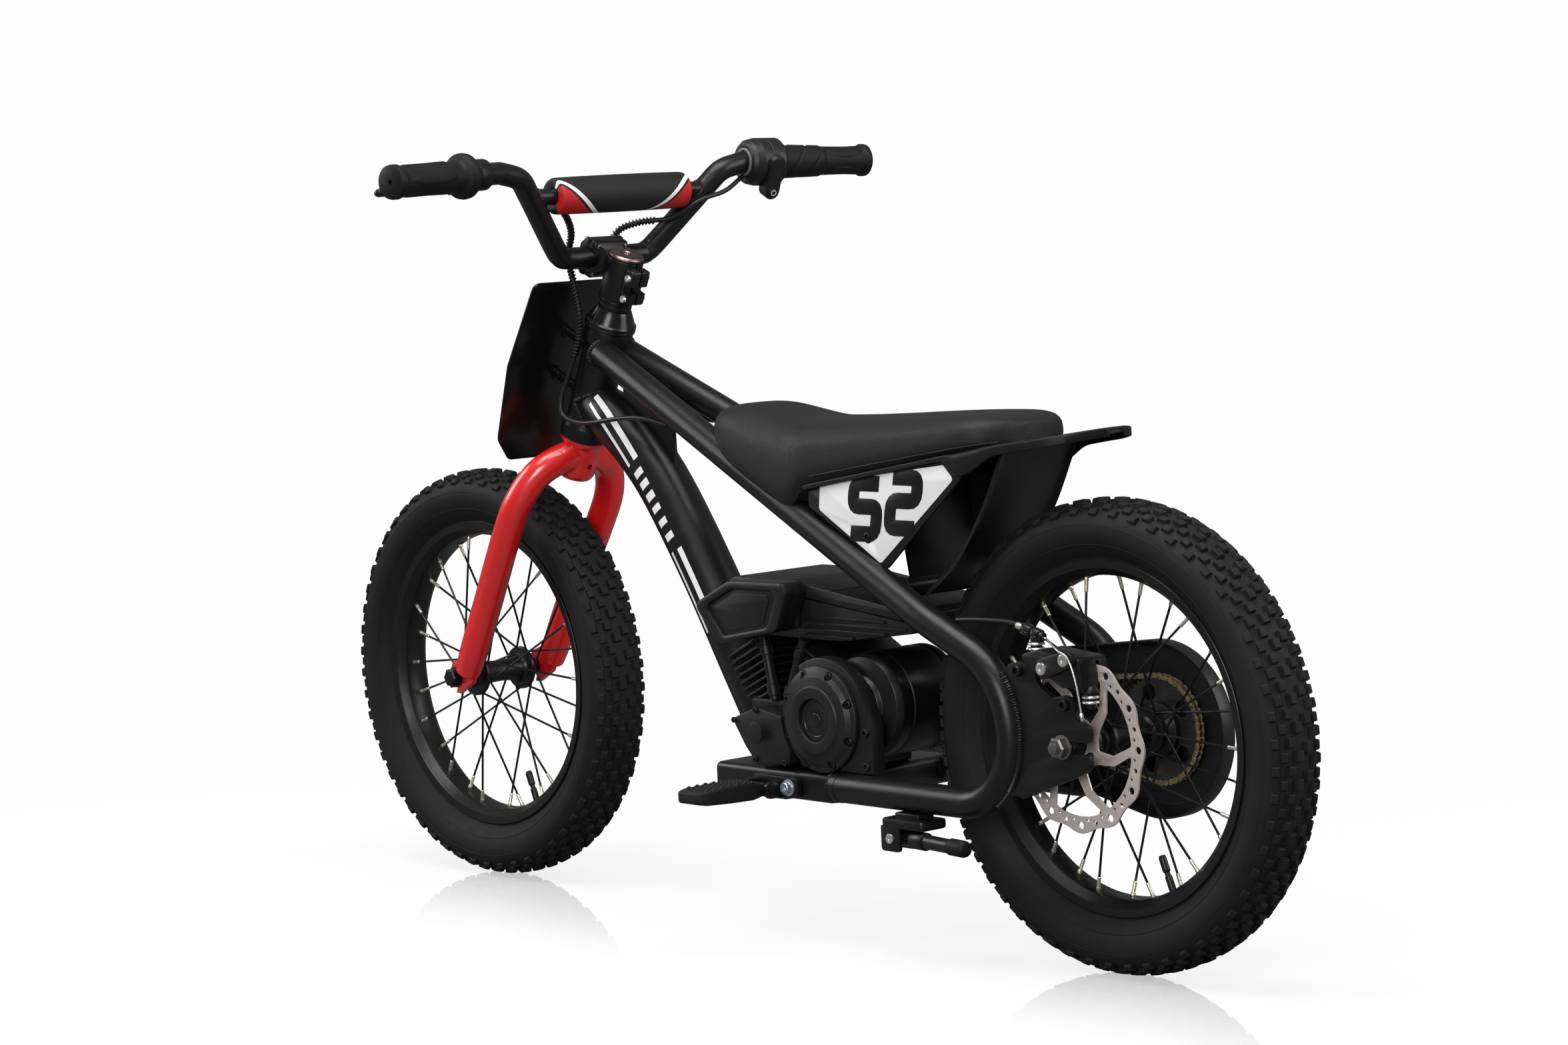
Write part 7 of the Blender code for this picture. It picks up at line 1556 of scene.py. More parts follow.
plate_line = [(plate_back, -0.0195), (plate_back + 0.006, -0.0195), (plate_back + 0.0135, -0.0107),
              (plate_back + 0.0135, 0.0107), (plate_back + 0.006, 0.0195), (plate_back, 0.0195)]
plate_line = eased(plate_line, [0.0010, 0.0030, 0.0040, 0.0040, 0.0030, 0.0010], 4)
face = side_slab([(x, BAR_Z + z) for x, z in plate_line], 2 * CLAMP_HALF_WIDTH, 0, 0.0008, place=STEER)
window = block((plate_back - 0.01, -0.0085, BAR_Z - 0.1), (plate_back + 0.05, 0.0085, BAR_Z - 0.0145), 0.001, 2, STEER)
piece("stem_face_plate", cut(face, bar_room, window), "steering", satin_black, ["stem_faceplate"])
for y in (-0.0165, 0.0165):
    for z in (-0.0150, 0.0150):
        pinch_screws.append(cap_screw((plate_back + 0.0085, y, BAR_Z + z), (1, 0, 0), 0.0032, 0.0030, STEER))
        pinch_screws.append(washer((0.0262, y, BAR_Z + z), (-1, 0, 0), 0.0024, 0.0030, STEER))
piece("stem_screws", joined(*pinch_screws), "steering", bright_steel)
anodised = metal("bronze_anodised", (0.30, 0.205, 0.20), 0.30)
cap_low = STEM_TOP + 0.0003
cap_profile = [(1e-7, cap_low + 0.0022), (0.0026, cap_low + 0.0022), (0.0030, cap_low + 0.0034), (0.0052, cap_low + 0.0034),
               (0.0064, cap_low + 0.0045), (0.0158, cap_low + 0.0045), (0.0178, cap_low + 0.0026), (0.0178, cap_low + 0.0008),
               (0.0170, cap_low), (1e-7, cap_low)]
piece("stem_cap_disc", lathe(eased(cap_profile, 0.0004, 2, False), 64, STEER), "steering", anodised, ["stem_cap"])


# Handlebar: one bent steel tube with a welded crossbar, powder coated satin black like the frame.
# Its grips sweep back and up from the outer bends.
BAR_FLAT, BAR_BEND_OUT, BAR_RISE, CROSSBAR_Z = 0.046, 0.132, 0.0985, 0.5504
GRIP_START = Vector((STEM_REACH, 0.158, 0.5779))
BAR_END = Vector((0.0110, 0.304, 0.5839))
GRIP_AXIS = (BAR_END - GRIP_START).normalized()
BAR_RUN = (BAR_END - GRIP_START).length


def mirrored(vector, side):
    return Vector((vector[0], side * vector[1], vector[2]))


def grip_place(side, distance):
    """Place on the bar in row measures: local Z runs outwards along the grip, local X backwards and level."""
    axis = mirrored(GRIP_AXIS, side)
    across = Vector((-1, 0, 0))
    across = (across - axis * across.dot(axis)).normalized()
    place = Matrix((across, axis.cross(across), axis)).transposed().to_4x4()
    place.translation = mirrored(GRIP_START, side) + axis * distance
    return STEER @ place


def bar_half(side):
    foot = Vector((STEM_REACH, BAR_FLAT + 0.020, BAR_Z + 0.012))
    head = Vector((STEM_REACH, BAR_BEND_OUT - 0.016, BAR_Z + BAR_RISE - 0.026))
    points = [(STEM_REACH, 0, BAR_Z), (STEM_REACH, BAR_FLAT, BAR_Z), (STEM_REACH, BAR_FLAT + 0.011, BAR_Z + 0.0035), foot,
              foot.lerp(head, 0.5), head, (STEM_REACH, BAR_BEND_OUT, BAR_Z + BAR_RISE - 0.0095), GRIP_START]
    return [mirrored(p, side) for p in curve_through(points, 10)] + [mirrored(BAR_END, side)]


bar_tube = pipe(list(reversed(bar_half(-1)))[:-1] + bar_half(1), BAR_RADIUS, 36, place=STEER)
crossbar = rod((STEM_REACH, -0.112, CROSSBAR_Z), (STEM_REACH, 0.112, CROSSBAR_Z), 0.008, 32, STEER)
bar_welds = []
for side in (1, -1):
    ring = []
    for k in range(28):
        t = 2 * math.pi * k / 28
        sunk = BAR_RADIUS - math.sqrt(BAR_RADIUS ** 2 - (0.0082 * math.cos(t)) ** 2)
        y = 0.0988 + 1.3 * sunk + 0.0082 * 0.83 * math.sin(t)
        ring.append((STEM_REACH + 0.0082 * math.cos(t), side * y, CROSSBAR_Z + 0.0082 * math.sin(t)))
    bar_welds.append(bead(ring, 0.0016, True, STEER))
piece("bar_tube", joined(bar_tube, crossbar, *bar_welds), "steering", satin_black, ["handlebar"])


# Bar pad: a foam roll round the crossbar in a stitched nylon cover that closes with a flap below.
# Slanted red and white bars are printed round both its ends.
PAD_RADIUS, PAD_HALF = 0.0185, 0.084
pad_middle = STEER @ Vector((STEM_REACH, 0, CROSSBAR_Z))
pad_place = STEER @ Matrix.Translation((STEM_REACH, 0, CROSSBAR_Z)) @ AXLE_TURN


def pad_cover(name, cloth, red, white):
    """Woven nylon with printed bars that slant round the roll, mirrored at its two ends."""
    material, shading = finish(name, cloth, 0.55, 0.0, 0.28)
    x, y, z = shading.split(shading.place())
    height = z - pad_middle.z
    turn = height.math("ARCTAN2", height, pad_middle.x - x)
    run = abs(y) - turn * 0.022
    weave = (y * 3400).sine() * (turn * 160).sine() * 0.5 + 0.5
    red_bar = (run > 0.0695) * (run < 0.1100)
    white_bar = (run > 0.0590) * (run < 0.0655)
    # Painted light: under the printed bars the base colour follows the weave relief, lighter on the raised threads and
    # darker between them.
    shade = shading.mix(weave, (*cloth, 1), (*(1.6 * c for c in cloth), 1))
    shade = shading.mix(red_bar, shade, (*red, 1))
    shading.feed(shading.sockets["Base Color"], shading.mix(white_bar, shade, (*white, 1)))
    shading.feed(shading.sockets["Roughness"], shading.between(shading.noise(60, 3), 0.42, 0.58))
    raise_by(shading, weave + shading.noise(45, 3) * 2.0, 0.00018, 0.6)
    return material


nylon = pad_cover("printed_nylon", (0.0070, 0.0070, 0.0073), (0.42, 0.010, 0.012), (0.78, 0.78, 0.77))
pad_half_line = [(0.0086, PAD_HALF), (0.0150, PAD_HALF), (0.0170, PAD_HALF - 0.0005), (0.0180, PAD_HALF - 0.0022),
                 (0.0183, PAD_HALF - 0.0044), (0.01795, PAD_HALF - 0.0052), (0.0184, PAD_HALF - 0.0060),
                 (0.0187, 0.050), (0.01885, 0.025)]
pad_line = pad_half_line + [(0.0189, 0.0)] + [(r, -z) for r, z in reversed(pad_half_line)]
pad_roll = lathe(eased(pad_line, 0.0006, 2), 64, pad_place, True)
bar_pad = piece("pad_roll", pad_roll, "steering", nylon, ["bar_pad"], crease=60)


# Left grip and brake lever: a rubber grip with a thick guard ring, and a two-finger lever ahead of and under it.
# The perch clamps the bar inboard of the grip, and its threaded adjuster takes the rear brake cable.
GRIP_END = BAR_RUN + 0.004
GRIP_INNER = GRIP_END - 0.112
GRIP_RADIUS, GRIP_BORE, GRIP_PITCH = 0.0150, 0.0118, 0.0010


def shaped_grip(profile, bore, relief, place, steps=72):
    """Rubber sleeve from its closed end inwards, its outside raised or sunk by relief(angle, height)."""
    outside = []
    for (r, z), (next_r, next_z) in zip(profile, profile[1:]):
        count = max(1, round(abs(next_z - z) / GRIP_PITCH))
        outside += [(r + (next_r - r) * k / count, z + (next_z - z) * k / count) for k in range(count)]
    outside.append(profile[-1])
    turns = [2 * math.pi * k / steps for k in range(steps)]
    rings = []
    for r, z in outside:
        around = [(r + (relief(t, z) if r > 0.010 else 0), t) for t in turns]
        rings.append([(max(q, 1e-7) * math.cos(t), max(q, 1e-7) * math.sin(t), z) for q, t in around])
    start = profile[-1][1]
    for r, z in ((bore, start), (bore, BAR_RUN + 0.0004), (1e-7, BAR_RUN + 0.0004)):
        rings.append([(r * math.cos(t), r * math.sin(t), z) for t in turns])
    return skin(rings, place, caps=False)


def finger_pads(angle, height, low, high):
    """Four long oval pads round the grip between two heights."""
    across = math.sin(2 * angle + 0.6) ** 2
    along = (height - (low + high) / 2) / ((high - low) / 2)
    inside = 1 - along * along - (1 - across) * 1.7
    return 0.0007 * eased_step(inside, 0.0, 0.22)


grip_rubber = rubber("grip_rubber", (0.0042, 0.0042, 0.0044), 0.56, 1300)
end, start = GRIP_END, GRIP_INNER
left_line = [(1e-7, end - 0.0040), (0.0022, end - 0.0040), (0.0024, end), (0.0150, end), (0.0164, end - 0.0010),
             (0.0168, end - 0.0030), (0.0168, end - 0.0075), (0.0160, end - 0.0090), (0.0151, end - 0.0120),
             (0.0150, start + 0.062), (0.0154, start + 0.040), (0.0151, start + 0.0245), (0.0165, start + 0.0215),
             (0.0200, start + 0.0190), (0.0220, start + 0.0160), (0.0225, start + 0.0125), (0.0220, start + 0.0090),
             (0.0200, start + 0.0055), (0.0175, start + 0.0030), (0.0165, start + 0.0012), (0.0160, start)]
left_sleeve = shaped_grip(left_line, GRIP_BORE, lambda t, z: finger_pads(t, z, start + 0.034, end - 0.016),
                          grip_place(1, 0))
piece("left_grip_sleeve", left_sleeve, "steering", grip_rubber, ["left_grip"], crease=40)

PERCH_AT, PERCH_WIDTH, PERCH_RADIUS = GRIP_INNER - 0.0163, 0.016, 0.0155
LEVER_REACH, LEVER_LENGTH, LEVER_THICK = 0.052, 0.098, 0.0085


def lever_frame():
    """Place of the lever's pin: X points from the lever to the grip, Y outwards along the grip, Z is the pin."""
    down = STEER_TURN.inverted() @ Vector((0.970, 0, -0.243))
    away = (down - GRIP_AXIS * down.dot(GRIP_AXIS)).normalized()
    origin = GRIP_START + GRIP_AXIS * (PERCH_AT + PERCH_WIDTH / 2 - 0.004) + away * (LEVER_REACH - 0.013)
    place = Matrix((-away, GRIP_AXIS, (-away).cross(GRIP_AXIS))).transposed().to_4x4()
    place.translation = origin
    return STEER @ place


LEVER = lever_frame()
perch_profile = [(PERCH_RADIUS, PERCH_AT + PERCH_WIDTH), (PERCH_RADIUS, PERCH_AT), (GRIP_BORE, PERCH_AT),
                 (GRIP_BORE, PERCH_AT + PERCH_WIDTH)]
perch = [lathe(eased(perch_profile, 0.0010), 48, grip_place(1, 0), True)]
arm_reach = LEVER_REACH - 0.013 - PERCH_RADIUS + 0.002
arm_line = eased([(-0.0060, -0.0070), (-0.0060, 0.0060), (arm_reach * 0.6, 0.0060), (arm_reach, 0.0075), (arm_reach, -0.0070)],
                 [0.0050, 0.0050, 0.0040, 0.0010, 0.0010], 5)
for end_side in (1, -1):
    cheek = Matrix.Translation((0, 0, end_side * (LEVER_THICK / 2 + 0.0018)))
    perch.append(slab(arm_line, 0.003, 0.0006, place=LEVER @ cheek))
perch.append(block((0.0075, -0.0070, -LEVER_THICK / 2 - 0.001), (arm_reach, -0.0030, LEVER_THICK / 2 + 0.001), 0.0008, 2, LEVER))
barrel_profile = [(1e-7, 0), (0.0032, 0), (0.0032, 0.0040)]
for k in range(5):
    barrel_profile += [(0.0045, 0.0044 + 0.0029 * k), (0.0045, 0.0064 + 0.0029 * k), (0.0040, 0.0068 + 0.0029 * k)]
barrel_profile += [(0.0038, 0.0188), (1e-7, 0.0190)]
perch.append(lathe(barrel_profile, 28, LEVER @ onto((0.0120, -0.0050, 0), (0, -1, 0))))
perch.append(cap_screw((arm_reach * 0.62, 0.0010, LEVER_THICK / 2 + 0.0030), (0, 0, 1), 0.0030, 0.0012, LEVER))
piece("brake_perch", joined(*perch), "steering", satin_black, ["lever_perch"])
pin_heads = [cap_screw((0, 0, s * (LEVER_THICK / 2 + 0.0031)), (0, 0, s), 0.0034, 0.0014, LEVER) for s in (1, -1)]
piece("lever_pin", joined(*pin_heads), "steering", zinc)
inner_edge = [(0.0050, 0.006), (0.0010, 0.030), (-0.0020, 0.060), (0.0005, 0.085), (0.0030, LEVER_LENGTH - 0.002)]
outer_edge = [(-0.0065, LEVER_LENGTH - 0.002), (-0.0085, 0.085), (-0.0110, 0.060), (-0.0095, 0.030), (-0.0060, 0.004)]
blade_line = [(x, y) for x, y, _ in curve_through([(x, y, 0) for x, y in inner_edge], 6)]
blade_line += [(x, y) for x, y, _ in curve_through([(x, y, 0) for x, y in outer_edge], 6)]
eye = lathe(eased([(0.0070, 0.00425), (0.0070, -0.00425), (0.0029, -0.00425), (0.0029, 0.00425)], 0.0008), 36, LEVER, True)
ball = lathe([(1e-7, 0.0062)] + [(0.0062 * math.sin(a), 0.0062 * math.cos(a)) for a in
                                 [math.pi * k / 14 for k in range(1, 14)]] + [(1e-7, -0.0062)], 32)
ball.transform(LEVER @ Matrix.Translation((-0.0020, LEVER_LENGTH, 0)) @ Matrix.Diagonal((1, 1, 0.68, 1)))
blade = slab(blade_line, LEVER_THICK - 0.001, 0.0022, place=LEVER)
piece("brake_lever_blade", joined(eye, blade, ball), "brake_lever", satin_black, ["brake_lever"])


# Twist throttle: a two-part plastic drum clamped to the bar, with a switch pod behind it and the turning grip outboard.
# The pod's round button switches the bike on, and the drum's pale liner shows where the bar enters.
DRUM_START, DRUM_END, DRUM_RADIUS = GRIP_INNER - 0.038, GRIP_INNER + 0.002, 0.0245
POD_X, POD_HALF, POD_BUTTON, POD_THICK = 0.0200, 0.0085, 0.0225, 0.016
RIGHT_BAR = grip_place(-1, 0)
POD = grip_place(-1, (DRUM_START + DRUM_END) / 2 + 0.004)
drum_profile = [(0.0221, DRUM_END), (DRUM_RADIUS, DRUM_END - 0.003), (DRUM_RADIUS, DRUM_START + 0.0232),
                (DRUM_RADIUS - 0.0004, DRUM_START + 0.0228), (DRUM_RADIUS, DRUM_START + 0.0224), (DRUM_RADIUS, DRUM_START + 0.012),
                (0.0228, DRUM_START + 0.004), (0.0196, DRUM_START), (0.0150, DRUM_START), (0.0150, DRUM_START + 0.003),
                (GRIP_BORE, DRUM_START + 0.003), (GRIP_BORE, DRUM_END)]
drum = lathe(eased(drum_profile, 0.0012), 64, RIGHT_BAR, True)
pod_line = arc((0, POD_BUTTON), POD_HALF, 0, 180, 18) + arc((0, -0.008), POD_HALF, 180, 360, 18)
pod_turn = POD @ Matrix(((0, 0, 1, POD_X), (0, 1, 0, 0), (-1, 0, 0, 0), (0, 0, 0, 1)))
pod_block = slab(pod_line, POD_THICK, 0.0022, place=pod_turn)
bar_hole = rod(RIGHT_BAR @ Vector((0, 0, -0.05)), RIGHT_BAR @ Vector((0, 0, 0.2)), GRIP_BORE, 40)
well = rod(POD @ Vector((POD_X + 0.0030, POD_BUTTON, 0)), POD @ Vector((POD_X + 0.03, POD_BUTTON, 0)), 0.0053, 40)
pod_body = cut(pod_block, bar_hole, well)
pod_lip = lathe(eased([(0.0066, 0.0004), (0.0066, -0.001), (0.0056, -0.001), (0.0056, 0.0004)], 0.0002), 40,
                POD @ onto((POD_X + 0.0080, POD_BUTTON, 0), (1, 0, 0)), True)
drum_screws = [cap_screw((DRUM_RADIUS * 0.80 * math.cos(t), DRUM_RADIUS * 0.80 * math.sin(t), DRUM_START + 0.0022), (0, 0, -1),
                         0.0026, 0.0014, RIGHT_BAR) for t in (2.2, 4.2)]
piece("throttle_drum", joined(drum, pod_body, pod_lip, *drum_screws), "steering", black_plastic, ["throttle_housing"])
pale_liner = moulded("pale_liner", (0.10, 0.10, 0.10), 0.45)
liner = lathe(eased([(0.0147, DRUM_START + 0.0028), (0.0147, DRUM_START - 0.0012), (GRIP_BORE, DRUM_START - 0.0012),
                     (GRIP_BORE, DRUM_START + 0.0028)], 0.0004), 48, RIGHT_BAR, True)
piece("throttle_liner", liner, "steering", pale_liner)

twist_start = DRUM_END + 0.0003
twist_line = [(1e-7, end), (0.0152, end), (0.0164, end - 0.0010), (0.0168, end - 0.0030), (0.0168, end - 0.0065),
              (0.0158, end - 0.0082), (0.0150, end - 0.0105), (0.0144, end - 0.0280), (0.0149, twist_start + 0.0525),
              (0.0162, twist_start + 0.0490), (0.0165, twist_start + 0.0400), (0.0168, twist_start + 0.0260),
              (0.0174, twist_start + 0.0100), (0.0174, twist_start)]


def twist_relief(angle, height):
    """Slanted grooves on the ribbed inner part and oval pads on the outer part."""
    past = height - twist_start
    if past < 0.049:
        phase = (3 * angle / (2 * math.pi) + past / 0.024) % 1.0
        groove = max(0.0, 1 - abs(phase - 0.5) / 0.10)
        return -0.0011 * groove * eased_step(past, 0.003, 0.006) * (1 - eased_step(past, 0.043, 0.048))
    return finger_pads(angle, height, twist_start + 0.056, end - 0.012)


twist = shaped_grip(twist_line, BAR_RADIUS + 0.0006, twist_relief, RIGHT_BAR, 108)
piece("twist_grip", twist, "throttle", grip_rubber, ["throttle_grip"], crease=40)
button_profile = [(1e-7, 0.0044), (0.0034, 0.0045), (0.0044, 0.0044), (0.0050, 0.0037), (0.0050, 0.0), (1e-7, 0.0)]
button = lathe(eased(button_profile, 0.0003, 2, False), 40, POD @ onto((POD_X + 0.0051, POD_BUTTON, 0), (1, 0, 0)))
piece("start_button", button, "power_button", black_plastic, ["power_button"])
button_ring = lathe(eased([(0.0030, 0.0002), (0.0030, -0.0002), (0.0024, -0.0002), (0.0024, 0.0002)], 0.0001, 1), 36,
                    POD @ onto((POD_X + 0.0051 + 0.00455, POD_BUTTON, 0), (1, 0, 0)), True)
piece("start_button_ring", button_ring, "power_button", white_film)


# Brake caliper: a cast body astride the disc on the dropout's two lugs, worked by a short arm on its outer face.
# A fluted adjuster ends the cable's housing, and conical washers on the fixing bolts let the body line itself up.
PIVOT_X, PIVOT_Z = 0.0136, 0.2846
CALIPER_INNER, CALIPER_OUTER = 0.044, 0.080
ADJUSTER_NOSE, ADJUSTER_TAIL = Vector((0.0500, 0.0700, 0.3170)), Vector((0.0250, 0.0706, 0.3100))
ADJUSTER_LINE = (ADJUSTER_NOSE - ADJUSTER_TAIL).normalized()
caliper_line = eased([(-0.030, 0.2640), (-0.026, 0.2950), (0.026, 0.3000), (0.050, 0.2940), (0.030, 0.2800)], 0.006, 5)
caliper_core = side_slab(caliper_line, CALIPER_OUTER - CALIPER_INNER, (CALIPER_OUTER + CALIPER_INNER) / 2, 0.0018)
disc_room = lathe([(1e-7, 0.055), (0.081, 0.055), (0.081, 0.059), (1e-7, 0.059)], 96, REAR_HUB)
lug_rooms = [side_slab([(x, z + rise) for x, z in dropout_outline(LEFT_TOP)], STEEL_PLATE + 0.0008, LOOP_REAR_Y, 0.00001)
             for rise in (0.0, 0.0006)]
hoop_room = pipe(loop_path(1), LOOP_RADIUS + 0.0004, 36, place=AHEAD)
caliper_parts = [cut(caliper_core, disc_room, *lug_rooms, hoop_room)]
face_line = eased([(-0.022, 0.2700), (-0.019, 0.2900), (0.004, 0.2920), (0.006, 0.2740), (-0.006, 0.2680)], 0.004, 4)
caliper_parts.append(side_slab(face_line, 0.0012, CALIPER_OUTER + 0.0002, 0.0005))
caliper_parts.append(rod((0.0345, 0.0700, 0.2940), (0.0345, 0.0700, 0.3110), 0.0052, 32, AHEAD))
caliper_parts.append(rod((-0.0262, 0.0665, 0.2500), (-0.0262, 0.0665, 0.2680), 0.0042, 32, AHEAD))
caliper_parts.append(lathe(eased([(1e-7, 0.0060), (0.0050, 0.0060), (0.0078, 0.0020), (0.0078, 0.0)], 0.0010, 3, False), 36,
                           AHEAD @ onto((-0.0262, 0.0665, 0.2640), (0, 0, 1))))
flutes = []
for k in range(96):
    turn = 2 * math.pi * k / 96
    flutes.append(((0.0060 - 0.0006 * (k % 8 < 3)) * math.cos(turn), (0.0060 - 0.0006 * (k % 8 < 3)) * math.sin(turn)))
barrel_length = (ADJUSTER_NOSE - ADJUSTER_TAIL).length
for share, length in ((0.30, 0.0080), (0.76, 0.0110)):
    middle = ADJUSTER_TAIL.lerp(ADJUSTER_NOSE, share)
    caliper_parts.append(slab(flutes, length, 0.0006, place=AHEAD @ onto(middle, ADJUSTER_LINE)))
barrel_core = [(0.0012, 0), (0.0044, 0), (0.0046, barrel_length), (0.0012, barrel_length)]
caliper_parts.append(lathe(eased(barrel_core, 0.0005), 32, AHEAD @ onto(ADJUSTER_TAIL, ADJUSTER_LINE), True))
for x, z in ((0.0500, 0.2800), (-0.0062, 0.2530)):
    caliper_parts.append(cap_screw((x, LOOP_REAR_Y + STEEL_PLATE / 2 - 0.0001, z), (0, 1, 0), 0.0052, 0.0060))
piece("caliper_body", joined(*caliper_parts), "frame", satin_black, ["brake_caliper"])
cone_washers = []
for x, y, low in ((0.0345, 0.0700, 0.2985), (-0.0262, 0.0665, 0.2545)):
    for step in (0, 1):
        cone_washers.append(lathe(eased([(0.0040, 0.0), (0.0076, 0.0), (0.0080, 0.0010), (0.0070, 0.0024), (0.0040, 0.0024)], 0.0004),
                                  40, AHEAD @ Matrix.Translation((x, y, low + 0.0046 * step)), True))
piece("caliper_washers", joined(*cone_washers), "frame", bright_steel)

ARM_LENGTH, ARM_THICK = 0.0305, 0.0055
ARM_MIDDLE = CALIPER_OUTER + 0.0003 + ARM_THICK / 2
arm_turn = math.atan2(0.2941 - PIVOT_Z, -0.0154 - PIVOT_X)
tip_x, tip_z = PIVOT_X + ARM_LENGTH * math.cos(arm_turn), PIVOT_Z + ARM_LENGTH * math.sin(arm_turn)
degrees = math.degrees(arm_turn)
arm_line = arc((PIVOT_X, PIVOT_Z), 0.0090, degrees + 90, degrees + 270, 20)
arm_line += arc((tip_x, tip_z), 0.0080, degrees - 90, degrees + 90, 20)
arm_bar = side_slab(arm_line, ARM_THICK, ARM_MIDDLE, 0.0012, [circle(0.0038, 24, (PIVOT_X, PIVOT_Z))])
arm_clamp = rod((tip_x, ARM_MIDDLE, tip_z), (tip_x, ARM_MIDDLE + 0.0046, tip_z), 0.0055, 32, AHEAD)
piece("brake_arm", joined(arm_bar, arm_clamp), "caliper_arm", black_plastic, ["caliper_arm"])
arm_screws = [cap_screw((x, ARM_MIDDLE + rise, z), (0, 1, 0), 0.0056, 0.0028)
              for x, z, rise in ((PIVOT_X, PIVOT_Z, 0.0022), (tip_x, tip_z, 0.0042))]
piece("brake_arm_screws", joined(*arm_screws), "caliper_arm", bright_steel)


# Control cables: black housings from the lever and the throttle down past the head to stops under the top tubes.
# A spiral wrap gathers each of them round the stem.
HOUSING_RADIUS, WIRE_RADIUS, WRAP_RADIUS, WRAP_WIRE, WRAP_PITCH = 0.0024, 0.0009, 0.0031, 0.0009, 0.0036


def housing_coat(name, colour):
    """Extruded jacket, smooth with a waxy sheen."""
    material, shading = finish(name, colour, 0.36, 0.0, 0.34)
    shading.feed(shading.sockets["Roughness"], shading.between(shading.noise(90, 3), 0.28, 0.46))
    wax = tuple(1.5 * c for c in colour)
    shading.feed(shading.sockets["Base Color"], shading.mix(shading.noise(60, 2), (*colour, 1), (*wax, 1)))
    raise_by(shading, shading.noise(500, 2), 0.00004, 0.4)
    return material


jacket = housing_coat("cable_jacket", (0.0060, 0.0060, 0.0063))


def spiral(path, radius, pitch):
    """Points wound round a path."""
    travelled, wound = 0.0, []
    stations = frames(path)
    for (point, side, other), (after, _, _) in zip(stations, stations[1:] + stations[-1:]):
        turn = 2 * math.pi * travelled / pitch
        wound.append(point + (side * math.cos(turn) + other * math.sin(turn)) * radius)
        travelled += (after - point).length
    return wound


def evenly(path, step):
    """The same path with points a set distance apart."""
    fine, left = [path[0]], step
    for first, second in zip(path, path[1:]):
        length = (second - first).length
        while left <= length:
            fine.append(first.lerp(second, left / length))
            left += step
        left -= length
    return fine


def flexible(name, mesh, coat, nodes=()):
    """Named piece on no body, with its place baked into its mesh."""
    obj = bpy.data.objects.new(name, mesh)
    bpy.context.scene.collection.objects.link(obj)
    mesh.materials.clear()
    mesh.materials.append(coat)
    mesh.shade_smooth()
    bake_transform(obj)
    if nodes:
        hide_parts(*nodes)
    return obj


def path_length(path):
    return sum((b - a).length for a, b in zip(path, path[1:]))


def control_cable(name, node, route, wrap_from, wrap_to):
    line = [STEER @ p for p in curve_through(route, 10)]
    tube = flexible(name, pipe(line, HOUSING_RADIUS, 14), jacket, [node])
    wrapped = evenly(line[round(10 * wrap_from):round(10 * wrap_to)], 0.0003)
    coils = pipe(spiral(wrapped, WRAP_RADIUS, WRAP_PITCH), WRAP_WIRE, 6)
    wrap = flexible(name + "_wrap", coils, jacket)
    path_length(line)


HEAD_RUN = [(0.0090, 0.0290, 0.4040), (0.0092, 0.0310, 0.3650), (0.0074, 0.0350, 0.3370), (-0.0040, 0.0370, 0.3240),
            (-0.0366, 0.0370, 0.3310), (-0.0823, 0.0350, 0.3572), (-0.1130, 0.0330, 0.3713), (-0.1459, 0.0300, 0.3792)]
into_steer = STEER.inverted()
left_run = [into_steer @ LEVER @ Vector((0.0120, -0.0246, 0)), into_steer @ LEVER @ Vector((0.0120, -0.0330, 0)),
            (0.0490, 0.1400, BAR_Z + 0.0800), (0.0560, 0.1050, BAR_Z + 0.0690), (0.0600, 0.0700, BAR_Z + 0.0570),
            (0.0585, 0.0440, BAR_Z + 0.0400), (0.0565, 0.0290, BAR_Z + 0.0180), (0.0550, 0.0270, BAR_Z - 0.0080),
            (0.0340, 0.0290, BAR_Z - 0.0300), (0.0160, 0.0310, 0.4300)]
control_cable("brake_housing", "brake_cable", left_run + HEAD_RUN, 4.5, 10.6)
right_run = [into_steer @ RIGHT_BAR @ Vector((0.0060, 0.0130, DRUM_START - 0.0018)), (0.0190, -0.1300, BAR_Z + 0.0720),
             (0.0180, -0.1000, BAR_Z + 0.0640), (0.0240, -0.0700, BAR_Z + 0.0430), (0.0430, -0.0470, BAR_Z + 0.0310),
             (0.0560, -0.0320, BAR_Z + 0.0160), (0.0550, -0.0270, BAR_Z - 0.0080), (0.0340, -0.0290, BAR_Z - 0.0300),
             (0.0160, -0.0310, 0.4300)]
control_cable("throttle_housing_cable", "throttle_cable", right_run + [mirrored(p, -1) for p in HEAD_RUN], 3.5, 9.6)
housing_end = ADJUSTER_NOSE + ADJUSTER_LINE * 0.0011
rear_line = [AHEAD @ p for p in curve_through([(0.1335, 0.0700, 0.3194), (0.1150, 0.0702, 0.3208), (0.0900, 0.0702, 0.3216),
                                               (0.0660, 0.0701, 0.3210), housing_end], 8)]
rear_housing = piece("rear_brake_housing", pipe(rear_line, HOUSING_RADIUS, 16), "frame", jacket, ["rear_brake_cable"])
ferrule = lathe(eased([(0.0030, 0.0), (0.0033, 0.0010), (0.0033, 0.0070), (0.0024, 0.0076), (0.0012, 0.0076), (0.0012, 0.0)], 0.0003),
                28, AHEAD @ onto(ADJUSTER_NOSE + ADJUSTER_LINE * 0.0004, ADJUSTER_LINE), True)
piece("housing_ferrule", ferrule, "frame", nickel)
